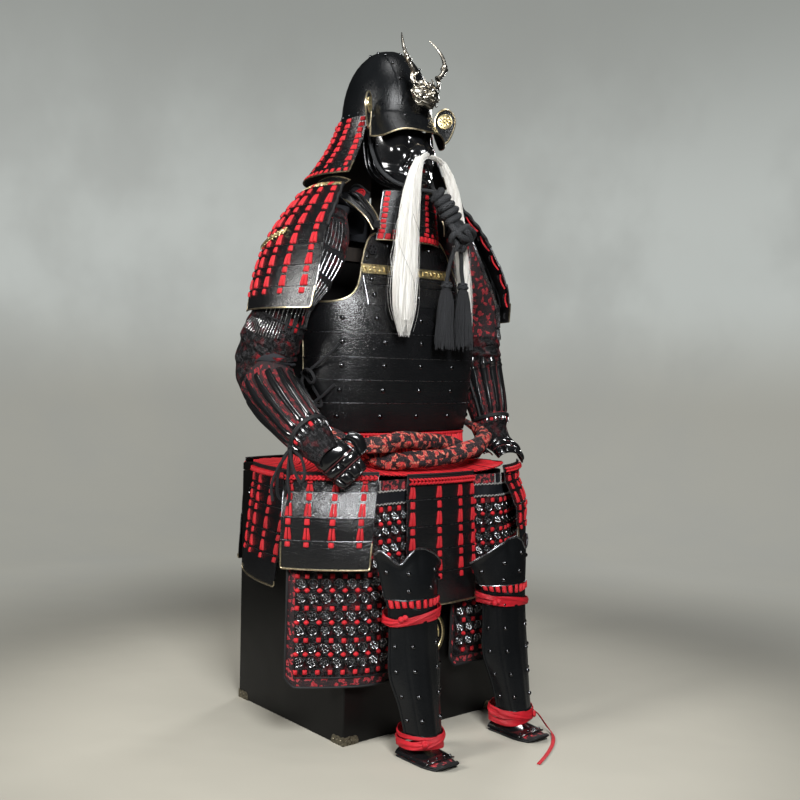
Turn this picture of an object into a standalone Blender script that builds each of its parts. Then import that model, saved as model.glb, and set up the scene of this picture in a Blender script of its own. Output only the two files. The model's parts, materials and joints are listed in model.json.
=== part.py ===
"""Samurai armour seated on its storage chest: construction model.

Units are metres, +Z is up, the armour faces -Y and its wearer's left is +X.
The chest, the shin guards and the foot guards stand on Z = 0. All pieces are
drawn about the wearer's mid-plane X = 0 with Y = 0 at the chest's front board,
and one empty carries them so that the origin is under the middle of the whole.
"""
import bpy
import bmesh
from math import sin, cos, pi, radians, sqrt, copysign, exp
from mathutils import Vector, Matrix

for o in list(bpy.data.objects):
    bpy.data.objects.remove(o, do_unlink=True)

# ------------------------------------------------------------- driving sizes
ORIGIN_Y = 0.1140        # middle of the whole in Y, from the chest's front board
GAP = 0.0006             # clearance between touching pieces
LAME_STEP = 0.0022       # how far a lower lame stands out over the upper one
PLATE = 0.0018           # lacquered plate
CLOTH = 0.0030           # brocade lined with hemp

CHEST_W, CHEST_D, CHEST_H = 0.440, 0.407, 0.5505
BOARD = 0.012
LID_H = 0.018

# cuirass: section heights with half-width, front and back Y (rows go upward)
DO_SECTIONS = [  # z, half_width, y_front, y_back
    (0.638, 0.216, 0.055, 0.298), (0.680, 0.219, 0.047, 0.302),
    (0.725, 0.222, 0.041, 0.305), (0.780, 0.225, 0.037, 0.308),
    (0.840, 0.227, 0.036, 0.309), (0.905, 0.227, 0.042, 0.308),
    (0.960, 0.226, 0.060, 0.302), (1.020, 0.224, 0.080, 0.292),
    (1.075, 0.222, 0.092, 0.282), (1.120, 0.220, 0.098, 0.270)]
DO_ROUND = 2.8
DO_LINES = (0.699, 0.748, 0.796, 0.848, 0.905)     # lame edges up the cuirass
DO_FRONT_TOP = [  # distance from mid-plane, height of the front's upper edge
    (0.000, 1.066), (0.085, 1.066), (0.105, 1.058), (0.120, 1.030), (0.133, 0.995),
    (0.147, 0.952), (0.168, 0.926), (0.195, 0.914), (0.230, 0.911)]
DO_BACK_TOP = [
    (0.000, 1.105), (0.100, 1.105), (0.128, 1.085), (0.148, 1.030), (0.160, 0.975),
    (0.178, 0.938), (0.200, 0.918), (0.230, 0.911)]

# skirt lacing: where its lower edge meets the tassets, round one side
LACE_FOOT = [  # angle from the front, x, y, z
    (0.00, 0.000, -0.032, 0.5500), (0.35, 0.088, -0.032, 0.5500), (0.62, 0.165, -0.030, 0.5560),
    (0.86, 0.232, 0.012, 0.5580), (1.08, 0.272, 0.052, 0.5580), (1.30, 0.274, 0.108, 0.5560),
    (1.57, 0.262, 0.200, 0.5540), (1.95, 0.238, 0.300, 0.5540), (2.25, 0.200, 0.386, 0.5540),
    (2.70, 0.100, 0.409, 0.5540), (3.1416, 0.000, 0.424, 0.5540)]
LACE_FALL = [  # down 0..1, share of the way out to the foot, share of the way down
    (0.00, 0.00, 0.00), (0.40, 0.02, 0.42), (0.66, 0.10, 0.78), (0.80, 0.34, 0.90), (1.00, 1.00, 1.00)]

# tassets: plan ends of the top and bottom edge, heights, bow, number of lames
TASSETS = [  # name, x0, y0, x1, y1 (top), X0, Y0, X1, Y1 (bottom), z_top, z_bottom, bow, lames
    ("tasset_front", -0.098, -0.040, 0.090, -0.040, -0.103, -0.052, 0.095, -0.052, 0.553, 0.278, 0.010, 5),
    ("tasset_front_right", -0.333, 0.062, -0.176, -0.046, -0.345, 0.052, -0.213, -0.068, 0.562, 0.372, 0.012, 4),
    ("tasset_front_left", 0.176, -0.046, 0.333, 0.062, 0.213, -0.068, 0.345, 0.052, 0.562, 0.372, 0.012, 4),
    ("tasset_side_right", -0.244, 0.312, -0.282, 0.098, -0.268, 0.322, -0.322, 0.110, 0.558, 0.322, 0.012, 5),
    ("tasset_side_left", 0.282, 0.098, 0.244, 0.312, 0.322, 0.110, 0.268, 0.322, 0.558, 0.322, 0.012, 5),
    ("tasset_back_right", -0.006, 0.440, -0.205, 0.414, -0.006, 0.456, -0.215, 0.430, 0.558, 0.322, 0.008, 5),
    ("tasset_back_left", 0.205, 0.414, 0.006, 0.440, 0.215, 0.430, 0.006, 0.456, 0.558, 0.322, 0.008, 5)]

# thigh guard: plan line of one panel, from its inner to its outer edge
THIGH_PLAN = [  # distance along 0..1, x, y
    (0.00, 0.046, -0.026), (0.30, 0.124, -0.0275), (0.52, 0.185, -0.030),
    (0.76, 0.262, 0.008), (1.00, 0.328, 0.056)]
THIGH_TOP, THIGH_BOTTOM = 0.544, 0.128

# shoulder guard: rows downward along the hanging plates
SODE_SECTIONS = [  # drop 0..1, x_edge, y_front, y_rear, z, bow
    (0.00, 0.166, 0.108, 0.268, 1.163, 0.020), (0.18, 0.206, 0.078, 0.272, 1.113, 0.026),
    (0.36, 0.240, 0.058, 0.276, 1.063, 0.030), (0.59, 0.270, 0.034, 0.276, 1.000, 0.034),
    (0.78, 0.288, 0.024, 0.270, 0.948, 0.036), (1.00, 0.301, 0.026, 0.266, 0.892, 0.037)]
SODE_LAMES = 6

# sleeve: centre line from the shoulder over the elbow to the wrist
SLEEVES = {"right": [  # distance 0..1, x, y, z, across (sideways) radius, radius in the arm's own plane
    (0.00, 0.180, 0.162, 1.098, 0.042, 0.058), (0.10, 0.203, 0.146, 1.040, 0.043, 0.064),
    (0.22, 0.240, 0.143, 0.975, 0.043, 0.067), (0.32, 0.272, 0.152, 0.922, 0.043, 0.069),
    (0.42, 0.281, 0.172, 0.870, 0.044, 0.074), (0.52, 0.286, 0.202, 0.818, 0.045, 0.081),
    (0.62, 0.291, 0.208, 0.766, 0.047, 0.080), (0.72, 0.296, 0.164, 0.722, 0.047, 0.064),
    (0.82, 0.298, 0.108, 0.684, 0.045, 0.054), (0.92, 0.298, 0.050, 0.648, 0.041, 0.046),
    (1.00, 0.294, 0.010, 0.624, 0.037, 0.039)],
    "left": [
    (0.00, 0.180, 0.162, 1.098, 0.042, 0.058), (0.10, 0.203, 0.150, 1.040, 0.043, 0.062),
    (0.22, 0.240, 0.150, 0.975, 0.043, 0.064), (0.32, 0.272, 0.152, 0.922, 0.043, 0.064),
    (0.42, 0.280, 0.155, 0.870, 0.043, 0.064), (0.52, 0.283, 0.158, 0.822, 0.044, 0.066),
    (0.62, 0.289, 0.158, 0.780, 0.045, 0.064), (0.72, 0.292, 0.146, 0.742, 0.044, 0.057),
    (0.82, 0.294, 0.132, 0.702, 0.043, 0.052), (0.92, 0.294, 0.116, 0.658, 0.039, 0.044),
    (1.00, 0.293, 0.104, 0.628, 0.035, 0.038)]}

# helmet
HEAD_Y = 0.172
BOWL_A, BOWL_B, BOWL_RIM, BOWL_TOP = 0.0960, 0.1060, 1.326, 1.4880
NECK_SECTIONS = [  # z, half_width, y_front, y_back
    (1.196, 0.163, 0.030, 0.380), (1.232, 0.140, 0.044, 0.346), (1.266, 0.122, 0.055, 0.320),
    (1.298, 0.110, 0.062, 0.300), (1.334, 0.1025, 0.0620, 0.2830)]
NECK_LINES = (1.222, 1.248, 1.274, 1.301)
NECK_EDGE = radians(61)          # how far round from the front the neck guard ends

# shin guard: rows upward
SHIN_X = 0.129
SHIN_SECTIONS = [  # z, half_width, y_front, y_edge
    (0.052, 0.041, -0.176, -0.130), (0.110, 0.047, -0.164, -0.119), (0.200, 0.056, -0.147, -0.102),
    (0.285, 0.059, -0.139, -0.093)]
KNEE_TOP = [  # angle from the front (plus is the outer side), height of the kneecap's edge
    (-1.35, 0.362), (-0.80, 0.385), (-0.35, 0.405), (0.05, 0.417), (0.33, 0.408),
    (0.60, 0.388), (0.95, 0.404), (1.20, 0.414), (1.40, 0.406)]
CALF_FLARE = (0.018, 0.170, 0.050)   # how far the guard's two edges swing out, at which height, over what spread

# ------------------------------------------------------------------- helpers
SCENE = bpy.context.scene
PARTS = bpy.data.collections.new("samurai_armour")
CUTTERS = bpy.data.collections.new("cutters")
SCENE.collection.children.link(PARTS)
SCENE.collection.children.link(CUTTERS)
ROOT = bpy.data.objects.new("armour_origin", None)
ROOT.location = (0.0, -ORIGIN_Y, 0.0)
PARTS.objects.link(ROOT)

COLOURS = {  # name: colour, roughness, metallic
    "black_lacquer": ((0.012, 0.013, 0.015), 0.38, 0.0),
    "gloss_lacquer": ((0.008, 0.008, 0.009), 0.10, 0.0),
    "red_lacing": ((0.62, 0.030, 0.045), 0.70, 0.0),
    "brocade": ((0.060, 0.018, 0.022), 0.85, 0.0),
    "dark_cord": ((0.020, 0.021, 0.026), 0.80, 0.0),
    "white_hair": ((0.82, 0.80, 0.76), 0.55, 0.0),
    "antique_silver": ((0.42, 0.39, 0.34), 0.35, 1.0),
    "gold_rim": ((0.62, 0.50, 0.28), 0.35, 1.0),
    "chest_black": ((0.014, 0.013, 0.012), 0.55, 0.0),
    "stand_wood": ((0.150, 0.095, 0.055), 0.60, 0.0),
}


def material(name):
    m = bpy.data.materials.get(name)
    if m is None:
        colour, rough, metal = COLOURS[name]
        m = bpy.data.materials.new(name)
        m.use_nodes = True
        s = m.node_tree.nodes["Principled BSDF"]
        s.inputs["Base Color"].default_value = (*colour, 1.0)
        s.inputs["Roughness"].default_value = rough
        s.inputs["Metallic"].default_value = metal
    return m


def part(name, data, mat, smooth=True):
    """An object for one sub-part, carried by the armour's origin."""
    ob = bpy.data.objects.new(name, data)
    PARTS.objects.link(ob)
    ob.parent = ROOT
    data.materials.append(material(mat))
    if smooth and hasattr(data, "shade_smooth"):
        data.shade_smooth()
        data.set_sharp_from_angle(angle=radians(40))
    return ob


def track(rows, x):
    """One row of a table at x: smooth between its rows, first column ascending."""
    if x <= rows[0][0]:
        return list(rows[0][1:])
    if x >= rows[-1][0]:
        return list(rows[-1][1:])
    n = len(rows)
    i = next(k for k in range(n - 1) if rows[k + 1][0] >= x)

    def slope(k, c):
        a, b = max(k - 1, 0), min(k + 1, n - 1)
        return (rows[b][c] - rows[a][c]) / (rows[b][0] - rows[a][0])
    h = rows[i + 1][0] - rows[i][0]
    t = (x - rows[i][0]) / h
    out = []
    for c in range(1, len(rows[0])):
        p0, p1 = rows[i][c], rows[i + 1][c]
        m0, m1 = slope(i, c) * h, slope(i + 1, c) * h
        out.append((2*t**3 - 3*t*t + 1)*p0 + (t**3 - 2*t*t + t)*m0 + (3*t*t - 2*t**3)*p1 + (t**3 - t*t)*m1)
    return out


def oval(phi, a, yf, yb, n=2.0, out=0.0):
    """Point of a rounded section, phi from the front towards the wearer's left."""
    b, yc = (yb - yf) / 2, (yb + yf) / 2
    s, c = sin(phi), cos(phi)
    x = a * copysign(abs(s) ** (2 / n), s)
    y = -b * copysign(abs(c) ** (2 / n), c)
    gx = copysign((abs(x) / a) ** (n - 1) / a, x)
    gy = copysign((abs(y) / b) ** (n - 1) / b, y)
    g = sqrt(gx * gx + gy * gy)
    return x + out * gx / g, yc + y + out * gy / g


def grid_mesh(name, cols, rows, fn, close=False):
    """A grid primitive whose points are moved to fn(column value, row value)."""
    bm = bmesh.new()
    nu, nv = len(cols) - 1, len(rows) - 1
    bmesh.ops.create_grid(bm, x_segments=nu, y_segments=nv, size=0.5)
    for v in bm.verts:
        i, j = round((v.co.x + 0.5) * nu), round((v.co.y + 0.5) * nv)
        v.co = Vector(fn(cols[i], rows[j]))
    if close:
        bmesh.ops.remove_doubles(bm, verts=bm.verts, dist=1e-5)
    me = bpy.data.meshes.new(name)
    bm.to_mesh(me)
    bm.free()
    return me


def wall(name, mat, cols, rows, fn, thick, close=False, inward=True):
    """An open surface given its thickness by Solidify, on the side away from its normal."""
    ob = part(name, grid_mesh(name, cols, rows, fn, close), mat)
    m = ob.modifiers.new("thickness", "SOLIDIFY")
    m.thickness = thick
    m.offset = -1.0 if inward else 1.0
    m.use_even_offset = False
    return ob


def solid(name, mat, cols, rows, fn):
    """A closed form lofted round cols through rows, its two ends capped."""
    me = grid_mesh(name, cols, rows, fn, True)
    bm = bmesh.new()
    bm.from_mesh(me)
    bmesh.ops.holes_fill(bm, edges=[e for e in bm.edges if e.is_boundary])
    bmesh.ops.recalc_face_normals(bm, faces=bm.faces)
    if bm.calc_volume(signed=True) < 0:
        bmesh.ops.reverse_faces(bm, faces=bm.faces)
    bm.to_mesh(me)
    bm.free()
    return part(name, me, mat)


def box(name, mat, lo, hi, bevel=0.0, collection=None):
    """A cube primitive from its lowest to its highest corner."""
    bm = bmesh.new()
    size = Vector(hi) - Vector(lo)
    bmesh.ops.create_cube(bm, size=1.0, matrix=Matrix.Diagonal((*size, 1.0)))
    me = bpy.data.meshes.new(name)
    bm.to_mesh(me)
    bm.free()
    ob = part(name, me, mat, smooth=False)
    ob.location = (Vector(lo) + Vector(hi)) / 2
    if bevel:
        b = ob.modifiers.new("edge", "BEVEL")
        b.width, b.segments = bevel, 1
    return ob


def cord(name, mat, points, radius, resolution=2, cyclic=False, radii=None):
    """A cord as a poly curve with a round bevel and filled caps."""
    cu = bpy.data.curves.new(name, "CURVE")
    cu.dimensions = "3D"
    sp = cu.splines.new("POLY")
    sp.points.add(len(points) - 1)
    for k, p in enumerate(points):
        sp.points[k].co = (*p, 1.0)
        sp.points[k].radius = radii[k] if radii else 1.0
    sp.use_cyclic_u = cyclic
    cu.bevel_depth = radius
    cu.bevel_resolution = resolution
    cu.use_fill_caps = True
    return part(name, cu, mat, smooth=False)


def union(target, tools):
    """Join other pieces of the same part into it and drop them."""
    for t in tools:
        m = target.modifiers.new("join", "BOOLEAN")
        m.operation, m.object, m.solver = "UNION", t, "EXACT"
        t.hide_render = True
        t.display_type = "WIRE"
        PARTS.objects.unlink(t)
        CUTTERS.objects.link(t)


def steps(lo, hi, lines, first=0.0):
    """Rows (height, outward) of a lapped wall: each lower lame laps outside the next up."""
    rows, at = [], lo
    for z in lines:
        rows += [(at, 0.0), (z - 0.0010, LAME_STEP)]
        at = z + 0.0010
    return rows + [(at, 0.0), (hi, LAME_STEP * 0.5)]


def turn(k):
    return [2 * pi * i / k for i in range(k + 1)]


def span(a, b, k):
    return [a + (b - a) * i / k for i in range(k + 1)]


# ------------------------------------------------------------------ the chest
body = box("chest_body", "chest_black", (-CHEST_W/2, 0.0, 0.0), (CHEST_W/2, CHEST_D, CHEST_H - LID_H))
bm = bmesh.new()
bm.from_mesh(body.data)
bmesh.ops.delete(bm, geom=[f for f in bm.faces if f.normal.z > 0.5], context="FACES_ONLY")
bm.to_mesh(body.data)
bm.free()
m = body.modifiers.new("boards", "SOLIDIFY")
m.thickness, m.offset, m.use_even_offset = BOARD, -1.0, True

lid = box("chest_lid", "chest_black", (-CHEST_W/2, 0.0, CHEST_H - LID_H + GAP), (CHEST_W/2, CHEST_D, CHEST_H))
bm = bmesh.new()
bm.from_mesh(lid.data)
bmesh.ops.delete(bm, geom=[f for f in bm.faces if f.normal.z < -0.5], context="FACES_ONLY")
bm.to_mesh(lid.data)
bm.free()
m = lid.modifiers.new("boards", "SOLIDIFY")
m.thickness, m.offset, m.use_even_offset = BOARD, -1.0, True

# ------------------------------------------------- the frame inside the armour
POST_Y = 0.178
stand = box("stand_frame", "stand_wood", (-0.11, POST_Y - 0.09, CHEST_H + GAP), (0.11, POST_Y + 0.09, CHEST_H + 0.018))
post = box("stand_post", "stand_wood", (-0.020, POST_Y - 0.020, CHEST_H + 0.010), (0.020, POST_Y + 0.020, 1.260))
bar = box("stand_bar", "stand_wood", (-0.142, POST_Y - 0.015, 1.010), (0.142, POST_Y + 0.015, 1.040))
bm = bmesh.new()
bmesh.ops.create_uvsphere(bm, u_segments=16, v_segments=10, radius=1.0,
                          matrix=Matrix.Translation((0, HEAD_Y + 0.008, 1.325)) @ Matrix.Diagonal((0.060, 0.066, 0.110, 1.0)))
me = bpy.data.meshes.new("stand_head")
bm.to_mesh(me)
bm.free()
head = part("stand_head", me, "stand_wood")
union(stand, [post, bar, head])

# ---------------------------------------------------------------- the cuirass
def do_top(phi, x):
    rows = DO_FRONT_TOP if cos(phi) > 0 else DO_BACK_TOP
    return track(rows, abs(x))[0]


def do_point(phi, row):
    z, out = row
    if z > 1.5:                      # rows above the armpit run up to the cut edge
        x0 = oval(phi, *track(DO_SECTIONS, 0.96), DO_ROUND)[0]
        top = do_top(phi, x0)
        z = 0.9062 + (top - 0.9062) * (z - 2.0)
    a, yf, yb = track(DO_SECTIONS, z)
    x, y = oval(phi, a, yf, yb, DO_ROUND, out)
    return x, y, z


do_phis = sorted(set([round(s * v, 4) for s in (1, -1) for v in (
    0.0, 0.16, 0.32, 0.46, 0.60, 0.80, 1.15, pi / 2, 1.98, 2.34, 2.54, 2.70, 2.90, pi)]))
do_rows = steps(DO_SECTIONS[0][0], 0.905, DO_LINES[:-1]) + [(2.0, 0.0), (2.35, 0.0), (2.7, 0.0), (3.0, 0.0)]
wall("cuirass", "black_lacquer", do_phis, do_rows, do_point, PLATE, close=True)

# standing collar round the neck, and the two shoulder straps
wall("collar", "black_lacquer", span(radians(62), radians(298), 16), (1.070, 1.095, 1.125, 1.146),
     lambda p, z: (*oval(p, 0.098 - 0.20 * (z - 1.07), 0.098, 0.262 - 0.10 * (z - 1.07), 2.2), z), 0.004)

STRAP = [  # along 0..1, x, y, z, half width
    (0.00, 0.118, 0.2520, 1.124, 0.024), (0.22, 0.128, 0.2150, 1.150, 0.027), (0.45, 0.134, 0.1650, 1.160, 0.027),
    (0.68, 0.126, 0.1150, 1.142, 0.022), (0.86, 0.112, 0.0800, 1.105, 0.015), (1.00, 0.102, 0.0700, 1.074, 0.010)]
for side, s in (("right", -1), ("left", 1)):
    def strap_point(w, t, s=s):
        x, y, z, half = track(STRAP, t)
        return s * (x + w * half), y, z - 0.55 * max(0.0, w) * half
    wall("shoulder_strap_" + side, "black_lacquer", (-1.0, -0.3, 0.4, 1.0), span(0, 1, 9), strap_point, 0.004, inward=(s > 0))

# ------------------------------------------- lacing and tassets under the waist
def lace_point(phi, f):
    fold = min(phi, 2 * pi - phi)
    fx, fy, fz = track(LACE_FOOT, fold)
    fx = fx if phi <= pi else -fx
    x, y = oval(phi, 0.2125, 0.0570, 0.2970, 2.5)
    out, down = track(LACE_FALL, f)
    return x + (fx - x) * out, y + (fy - y) * out, 0.6345 + (fz - 0.6345) * down


wall("skirt_lacing", "red_lacing", turn(30), (0.0, 0.40, 0.66, 0.80, 1.0), lace_point, 0.0025, close=True)


def panel(name, mat, x0, y0, x1, y1, X0, Y0, X1, Y1, z_top, z_bottom, bow, lames, thick=PLATE, cols=5):
    """A hanging panel of lapped lames, bowed outward between two plan lines."""
    n = Vector((-(Y1 - Y0), X1 - X0, 0.0)).normalized() * -1.0

    def point(u, row):
        w, out = row
        a = Vector((x0 + (X0 - x0) * w, y0 + (Y0 - y0) * w, 0))
        b = Vector((x1 + (X1 - x1) * w, y1 + (Y1 - y1) * w, 0))
        p = a.lerp(b, (u + 1) / 2) + n * (bow * (1 - u * u) + out)
        return p.x, p.y, z_top + (z_bottom - z_top) * w
    rows, h = [], 1.0 / lames
    for k in range(lames):
        rows += [(k * h + (0.004 if k else 0.0), LAME_STEP), ((k + 1) * h, 0.0)]
    return wall(name, mat, span(-1, 1, cols), rows, point, thick, inward=False)


for row in TASSETS:
    panel(row[0], "black_lacquer", *row[1:])

# ------------------------------------------------------------------- the sash
SASH = [  # angle from the front, half_width, y_front, z, strand radius
    (0.00, 0.262, -0.003, 0.6010, 0.0180), (0.55, 0.262, -0.003, 0.6030, 0.0175), (0.92, 0.252, 0.010, 0.6240, 0.0120),
    (1.22, 0.2345, 0.030, 0.6480, 0.0062), (1.90, 0.2345, 0.030, 0.6640, 0.0062), (2.40, 0.244, 0.030, 0.6700, 0.0100),
    (pi, 0.250, 0.030, 0.6720, 0.0120)]
for k, name in enumerate(("sash_strand_a", "sash_strand_b")):
    pts, radii = [], []
    for i in range(44):
        phi = 2 * pi * i / 44
        fold = min(phi, 2 * pi - phi)
        a, yf, z, r = track(SASH, fold)
        tw = 3 * phi + 2.2 + pi * k
        x, y = oval(phi, a, yf, 0.333, 2.5, (1.14 * r + 0.0012) * cos(tw))
        pts.append((x, y, z + (1.14 * r + 0.0012) * sin(tw)))
        radii.append(r / 0.01)
    cord(name, "brocade", pts, 0.01, 2, True, radii)

# -------------------------------------------------------------- thigh guards
for side, s in (("right", -1), ("left", 1)):
    def thigh_point(u, w, s=s):
        x, y = track(THIGH_PLAN, u)
        edge = max(0.0, abs(2 * u - 1) - 0.86) / 0.14
        z = THIGH_TOP + (THIGH_BOTTOM + 0.022 * edge * edge * w - THIGH_TOP) * w
        return s * x, y - 0.004 * sin(pi * w), z
    wall("thigh_guard_" + side, "brocade", span(0, 1, 8), span(0, 1, 4), thigh_point, CLOTH, inward=(s < 0))

# ---------------------------------------------------------- shoulder guards
for side, s in (("right", -1), ("left", 1)):
    shift_x, shift_y = (0.0, 0.0) if s < 0 else (-0.010, 0.028)

    def sode_point(u, row, s=s, shift_x=shift_x, shift_y=shift_y):
        w, out = row
        x, yf, yr, z, bow = track(SODE_SECTIONS, w)
        lift = 1 - u * u
        bulge = bow * lift
        if w < 0:                    # crescent cap plate, leaning in over the shoulder
            x, z, bulge = x + w * 0.020, z - w * (0.012 + 0.013 * lift), bulge + w * 0.012 * lift
            yf, yr = yf - w * 0.012, yr + w * 0.012
        share = max(0.0, min(1.0, w))
        return (s * (x + bulge + out + shift_x * share), (yf + yr) / 2 + u * (yr - yf) / 2 + shift_y * share, z + 0.30 * out)
    rows = [(-1.0, 0.0), (-0.5, 0.0)]
    for k in range(SODE_LAMES):
        rows += [(k / SODE_LAMES + (0.008 if k else 0.0), LAME_STEP), ((k + 1) / SODE_LAMES, 0.0)]
    wall("shoulder_guard_" + side, "black_lacquer", span(-1, 1, 6), rows, sode_point, PLATE, inward=(s > 0))

# ------------------------------------------------- sleeves, splints and hands
def sleeve_frame(t, rows):
    """Centre of the sleeve and its two cross directions, drawn on the +X side."""
    x, y, z, rx, ry = track(rows, t)
    a, b = Vector(track(rows, t - 0.02)[:3]), Vector(track(rows, t + 0.02)[:3])
    along = (b - a).normalized()
    side = Vector((1, 0, 0))
    side = (side - along * side.dot(along)).normalized()
    return Vector((x, y, z)), side, along.cross(side), rx, ry


def sleeve_point(th, t, s, out=0.0):
    c, e1, e2, rx, ry = sleeve_frame(t, SLEEVES["right" if s < 0 else "left"])
    p = c + e1 * (rx + out) * cos(th) + e2 * (ry + out) * sin(th)
    return s * p.x, p.y, p.z


SLEEVE_T = (0.0, 0.12, 0.24, 0.34, 0.44, 0.53, 0.61, 0.68, 0.76, 0.88, 1.0)
for side, s in (("right", -1), ("left", 1)):
    wall("sleeve_" + side, "brocade", turn(10), SLEEVE_T,
         lambda th, t, s=s: sleeve_point(th, t, s), CLOTH, close=True, inward=(s > 0))
    # forearm splints on the outer half of the sleeve
    wall("forearm_splints_" + side, "gloss_lacquer", span(-1.75, 1.75, 10), (0.715, 0.77, 0.83, 0.89, 0.94),
         lambda th, t, s=s: sleeve_point(th, t, s, 0.0060), 0.0022, inward=(s > 0))

HANDS = {"right": [  # along 0..1, x, y, z (ridge), half width, sag at the sides, turn from facing up (0) to facing the side given (1)
    (0.00, 0.297, -0.014, 0.6240, 0.026, 0.010, 0.45), (0.26, 0.285, -0.025, 0.6040, 0.035, 0.011, 0.85),
    (0.62, 0.266, -0.042, 0.5800, 0.036, 0.011, 1.00), (1.00, 0.2475, -0.0575, 0.5550, 0.030, 0.010, 1.00)],
    "left": [
    (0.00, 0.292, 0.086, 0.6240, 0.030, 0.012, 0.00), (0.30, 0.288, 0.064, 0.6160, 0.036, 0.016, 0.08),
    (0.62, 0.280, 0.036, 0.6040, 0.038, 0.018, 0.16), (1.00, 0.268, 0.006, 0.5860, 0.034, 0.016, 0.16)]}
HAND_FACE = {"right": (0.640, -0.768, 0.0), "left": (0.958, -0.287, 0.0)}
for side, s in (("right", -1), ("left", 1)):
    def hand_point(w, t, s=s, rows=HANDS[side], face=Vector(HAND_FACE[side])):
        x, y, z, half, sag, turned = track(rows, t)
        along = (Vector(rows[-1][1:4]) - Vector(rows[0][1:4])).normalized()
        back = face * turned + Vector((0, 0, 1 - turned))
        across = back.cross(along).normalized()
        across = across if across.x > 0 else -across      # towards the body's outside
        back = (back - along * back.dot(along)).normalized()
        p = Vector((x, y, z)) + across * half * sin(w * 1.35) / sin(1.35) - back * sag * w * w * 1.3
        return s * p.x, p.y, p.z
    wall("hand_guard_" + side, "gloss_lacquer", span(-1, 1, 6), span(0, 1, 5), hand_point, 0.0025, inward=(s < 0))

# ---------------------------------------------------------------- the helmet
def bowl_point(phi, t, out=0.0):
    """t runs from the rim (0) to the crown (1)."""
    k = cos(t * pi / 2) ** 0.92 if t < 1 else 1e-5
    h = sin(t * pi / 2) ** 0.94
    b = (BOWL_B + out) * k
    x, y = oval(phi, (BOWL_A + out) * k, HEAD_Y - b, HEAD_Y + b, 2.15)
    return x, y, BOWL_RIM + (BOWL_TOP - BOWL_RIM + out) * h


wall("helmet_bowl", "black_lacquer", turn(20), (0.0, 0.18, 0.36, 0.54, 0.70, 0.84, 0.94, 1.0),
     bowl_point, PLATE, close=True)


def visor_point(p, w):
    drop = 0.028 + 0.024 * (abs(p) / 1.10) ** 2.5
    z = BOWL_RIM + 0.006 - w * drop
    x, y = oval(p, BOWL_A + 0.0022 + 0.010 * w, HEAD_Y - BOWL_B - 0.0028 - 0.020 * w, HEAD_Y + BOWL_B, 2.15)
    return x, y, z


wall("helmet_visor", "black_lacquer", span(-1.10, 1.10, 16), (0.0, 0.35, 0.7, 1.0), visor_point, PLATE)


def neck_point(phi, row):
    z, out = row
    a, yf, yb = track(NECK_SECTIONS, z)
    x, y = oval(phi, a, yf, yb, 2.0, out)
    return x, y, z


wall("neck_guard", "black_lacquer", span(NECK_EDGE, 2 * pi - NECK_EDGE, 15), steps(1.196, 1.3245, NECK_LINES), neck_point, PLATE)

for side, s in (("right", -1), ("left", 1)):
    # turned-back wing of the neck guard: a drop-shaped plate
    def wing_point(th, r, s=s):
        c, q = cos(th), sin(th)
        wide = 0.0235 * r * c * (1.0 - 0.28 * max(0.0, -q))
        tall = r * (0.031 * q if q > 0 else 0.046 * q)
        along = Vector((0.61, -0.79, 0)) * (wide + 0.0245)
        p = Vector((0.0915, 0.1120, 1.336)) + along + Vector((0, 0, tall))
        return s * p.x, p.y + 0.0, p.z
    wall("helmet_wing_" + side, "black_lacquer", turn(16), (0.02, 0.5, 1.0), wing_point, PLATE, close=True, inward=(s < 0))

# beast crest: the head and its two ringed horns
CREST = Vector((0.0, 0.0370, 1.372))
bm = bmesh.new()
bmesh.ops.create_icosphere(bm, subdivisions=2, radius=1.0)
for v in bm.verts:
    c = v.co
    muzzle = max(0.0, -c.y) ** 2 * (0.35 if c.z < 0.2 else 0.10)
    brow = 0.20 * max(0.0, c.z) * (1 - abs(abs(c.x) - 0.55))
    v.co = CREST + Vector((0.039 * c.x * (1 + 0.12 * c.z), 0.0135 * c.y - 0.012 * muzzle, 0.034 * c.z + 0.010 * brow))
me = bpy.data.meshes.new("crest_head")
bm.to_mesh(me)
bm.free()
part("crest_head", me, "antique_silver")

HORN = [  # along 0..1, x, y, z, radius
    (0.00, 0.031, 0.0360, 1.4080, 0.0062), (0.22, 0.044, 0.0350, 1.4210, 0.0062), (0.42, 0.054, 0.0390, 1.4400, 0.0052),
    (0.65, 0.056, 0.0490, 1.4650, 0.0040), (0.85, 0.049, 0.0630, 1.4880, 0.0026), (1.00, 0.040, 0.0760, 1.5038, 0.0012)]
for side, s in (("right", -1), ("left", 1)):
    rows = [track(HORN, t) for t in span(0, 1, 10)]
    cord("crest_horn_" + side, "antique_silver", [(s * x, y, z) for x, y, z, r in rows], 0.005, 2, False, [r / 0.005 for *_, r in rows])

# ----------------------------------------------------------- mask and throat
MASK = [  # z, half_width, y_front, y_edge, nose
    (1.166, 0.030, 0.052, 0.085, 0.000), (1.178, 0.050, 0.044, 0.112, 0.000), (1.200, 0.066, 0.046, 0.135, 0.000),
    (1.222, 0.072, 0.050, 0.145, 0.006), (1.246, 0.075, 0.052, 0.148, 0.020), (1.268, 0.077, 0.056, 0.150, 0.012),
    (1.284, 0.078, 0.060, 0.150, 0.004)]


def mask_point(p, z, out=0.0):
    a, yf, ye, nose = track(MASK, z)
    x, y = oval(p, a, yf, 2 * ye - yf, 2.2, out)
    return x, y - nose * max(0.0, 1 - abs(p) / 0.33) ** 1.2, z


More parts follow.
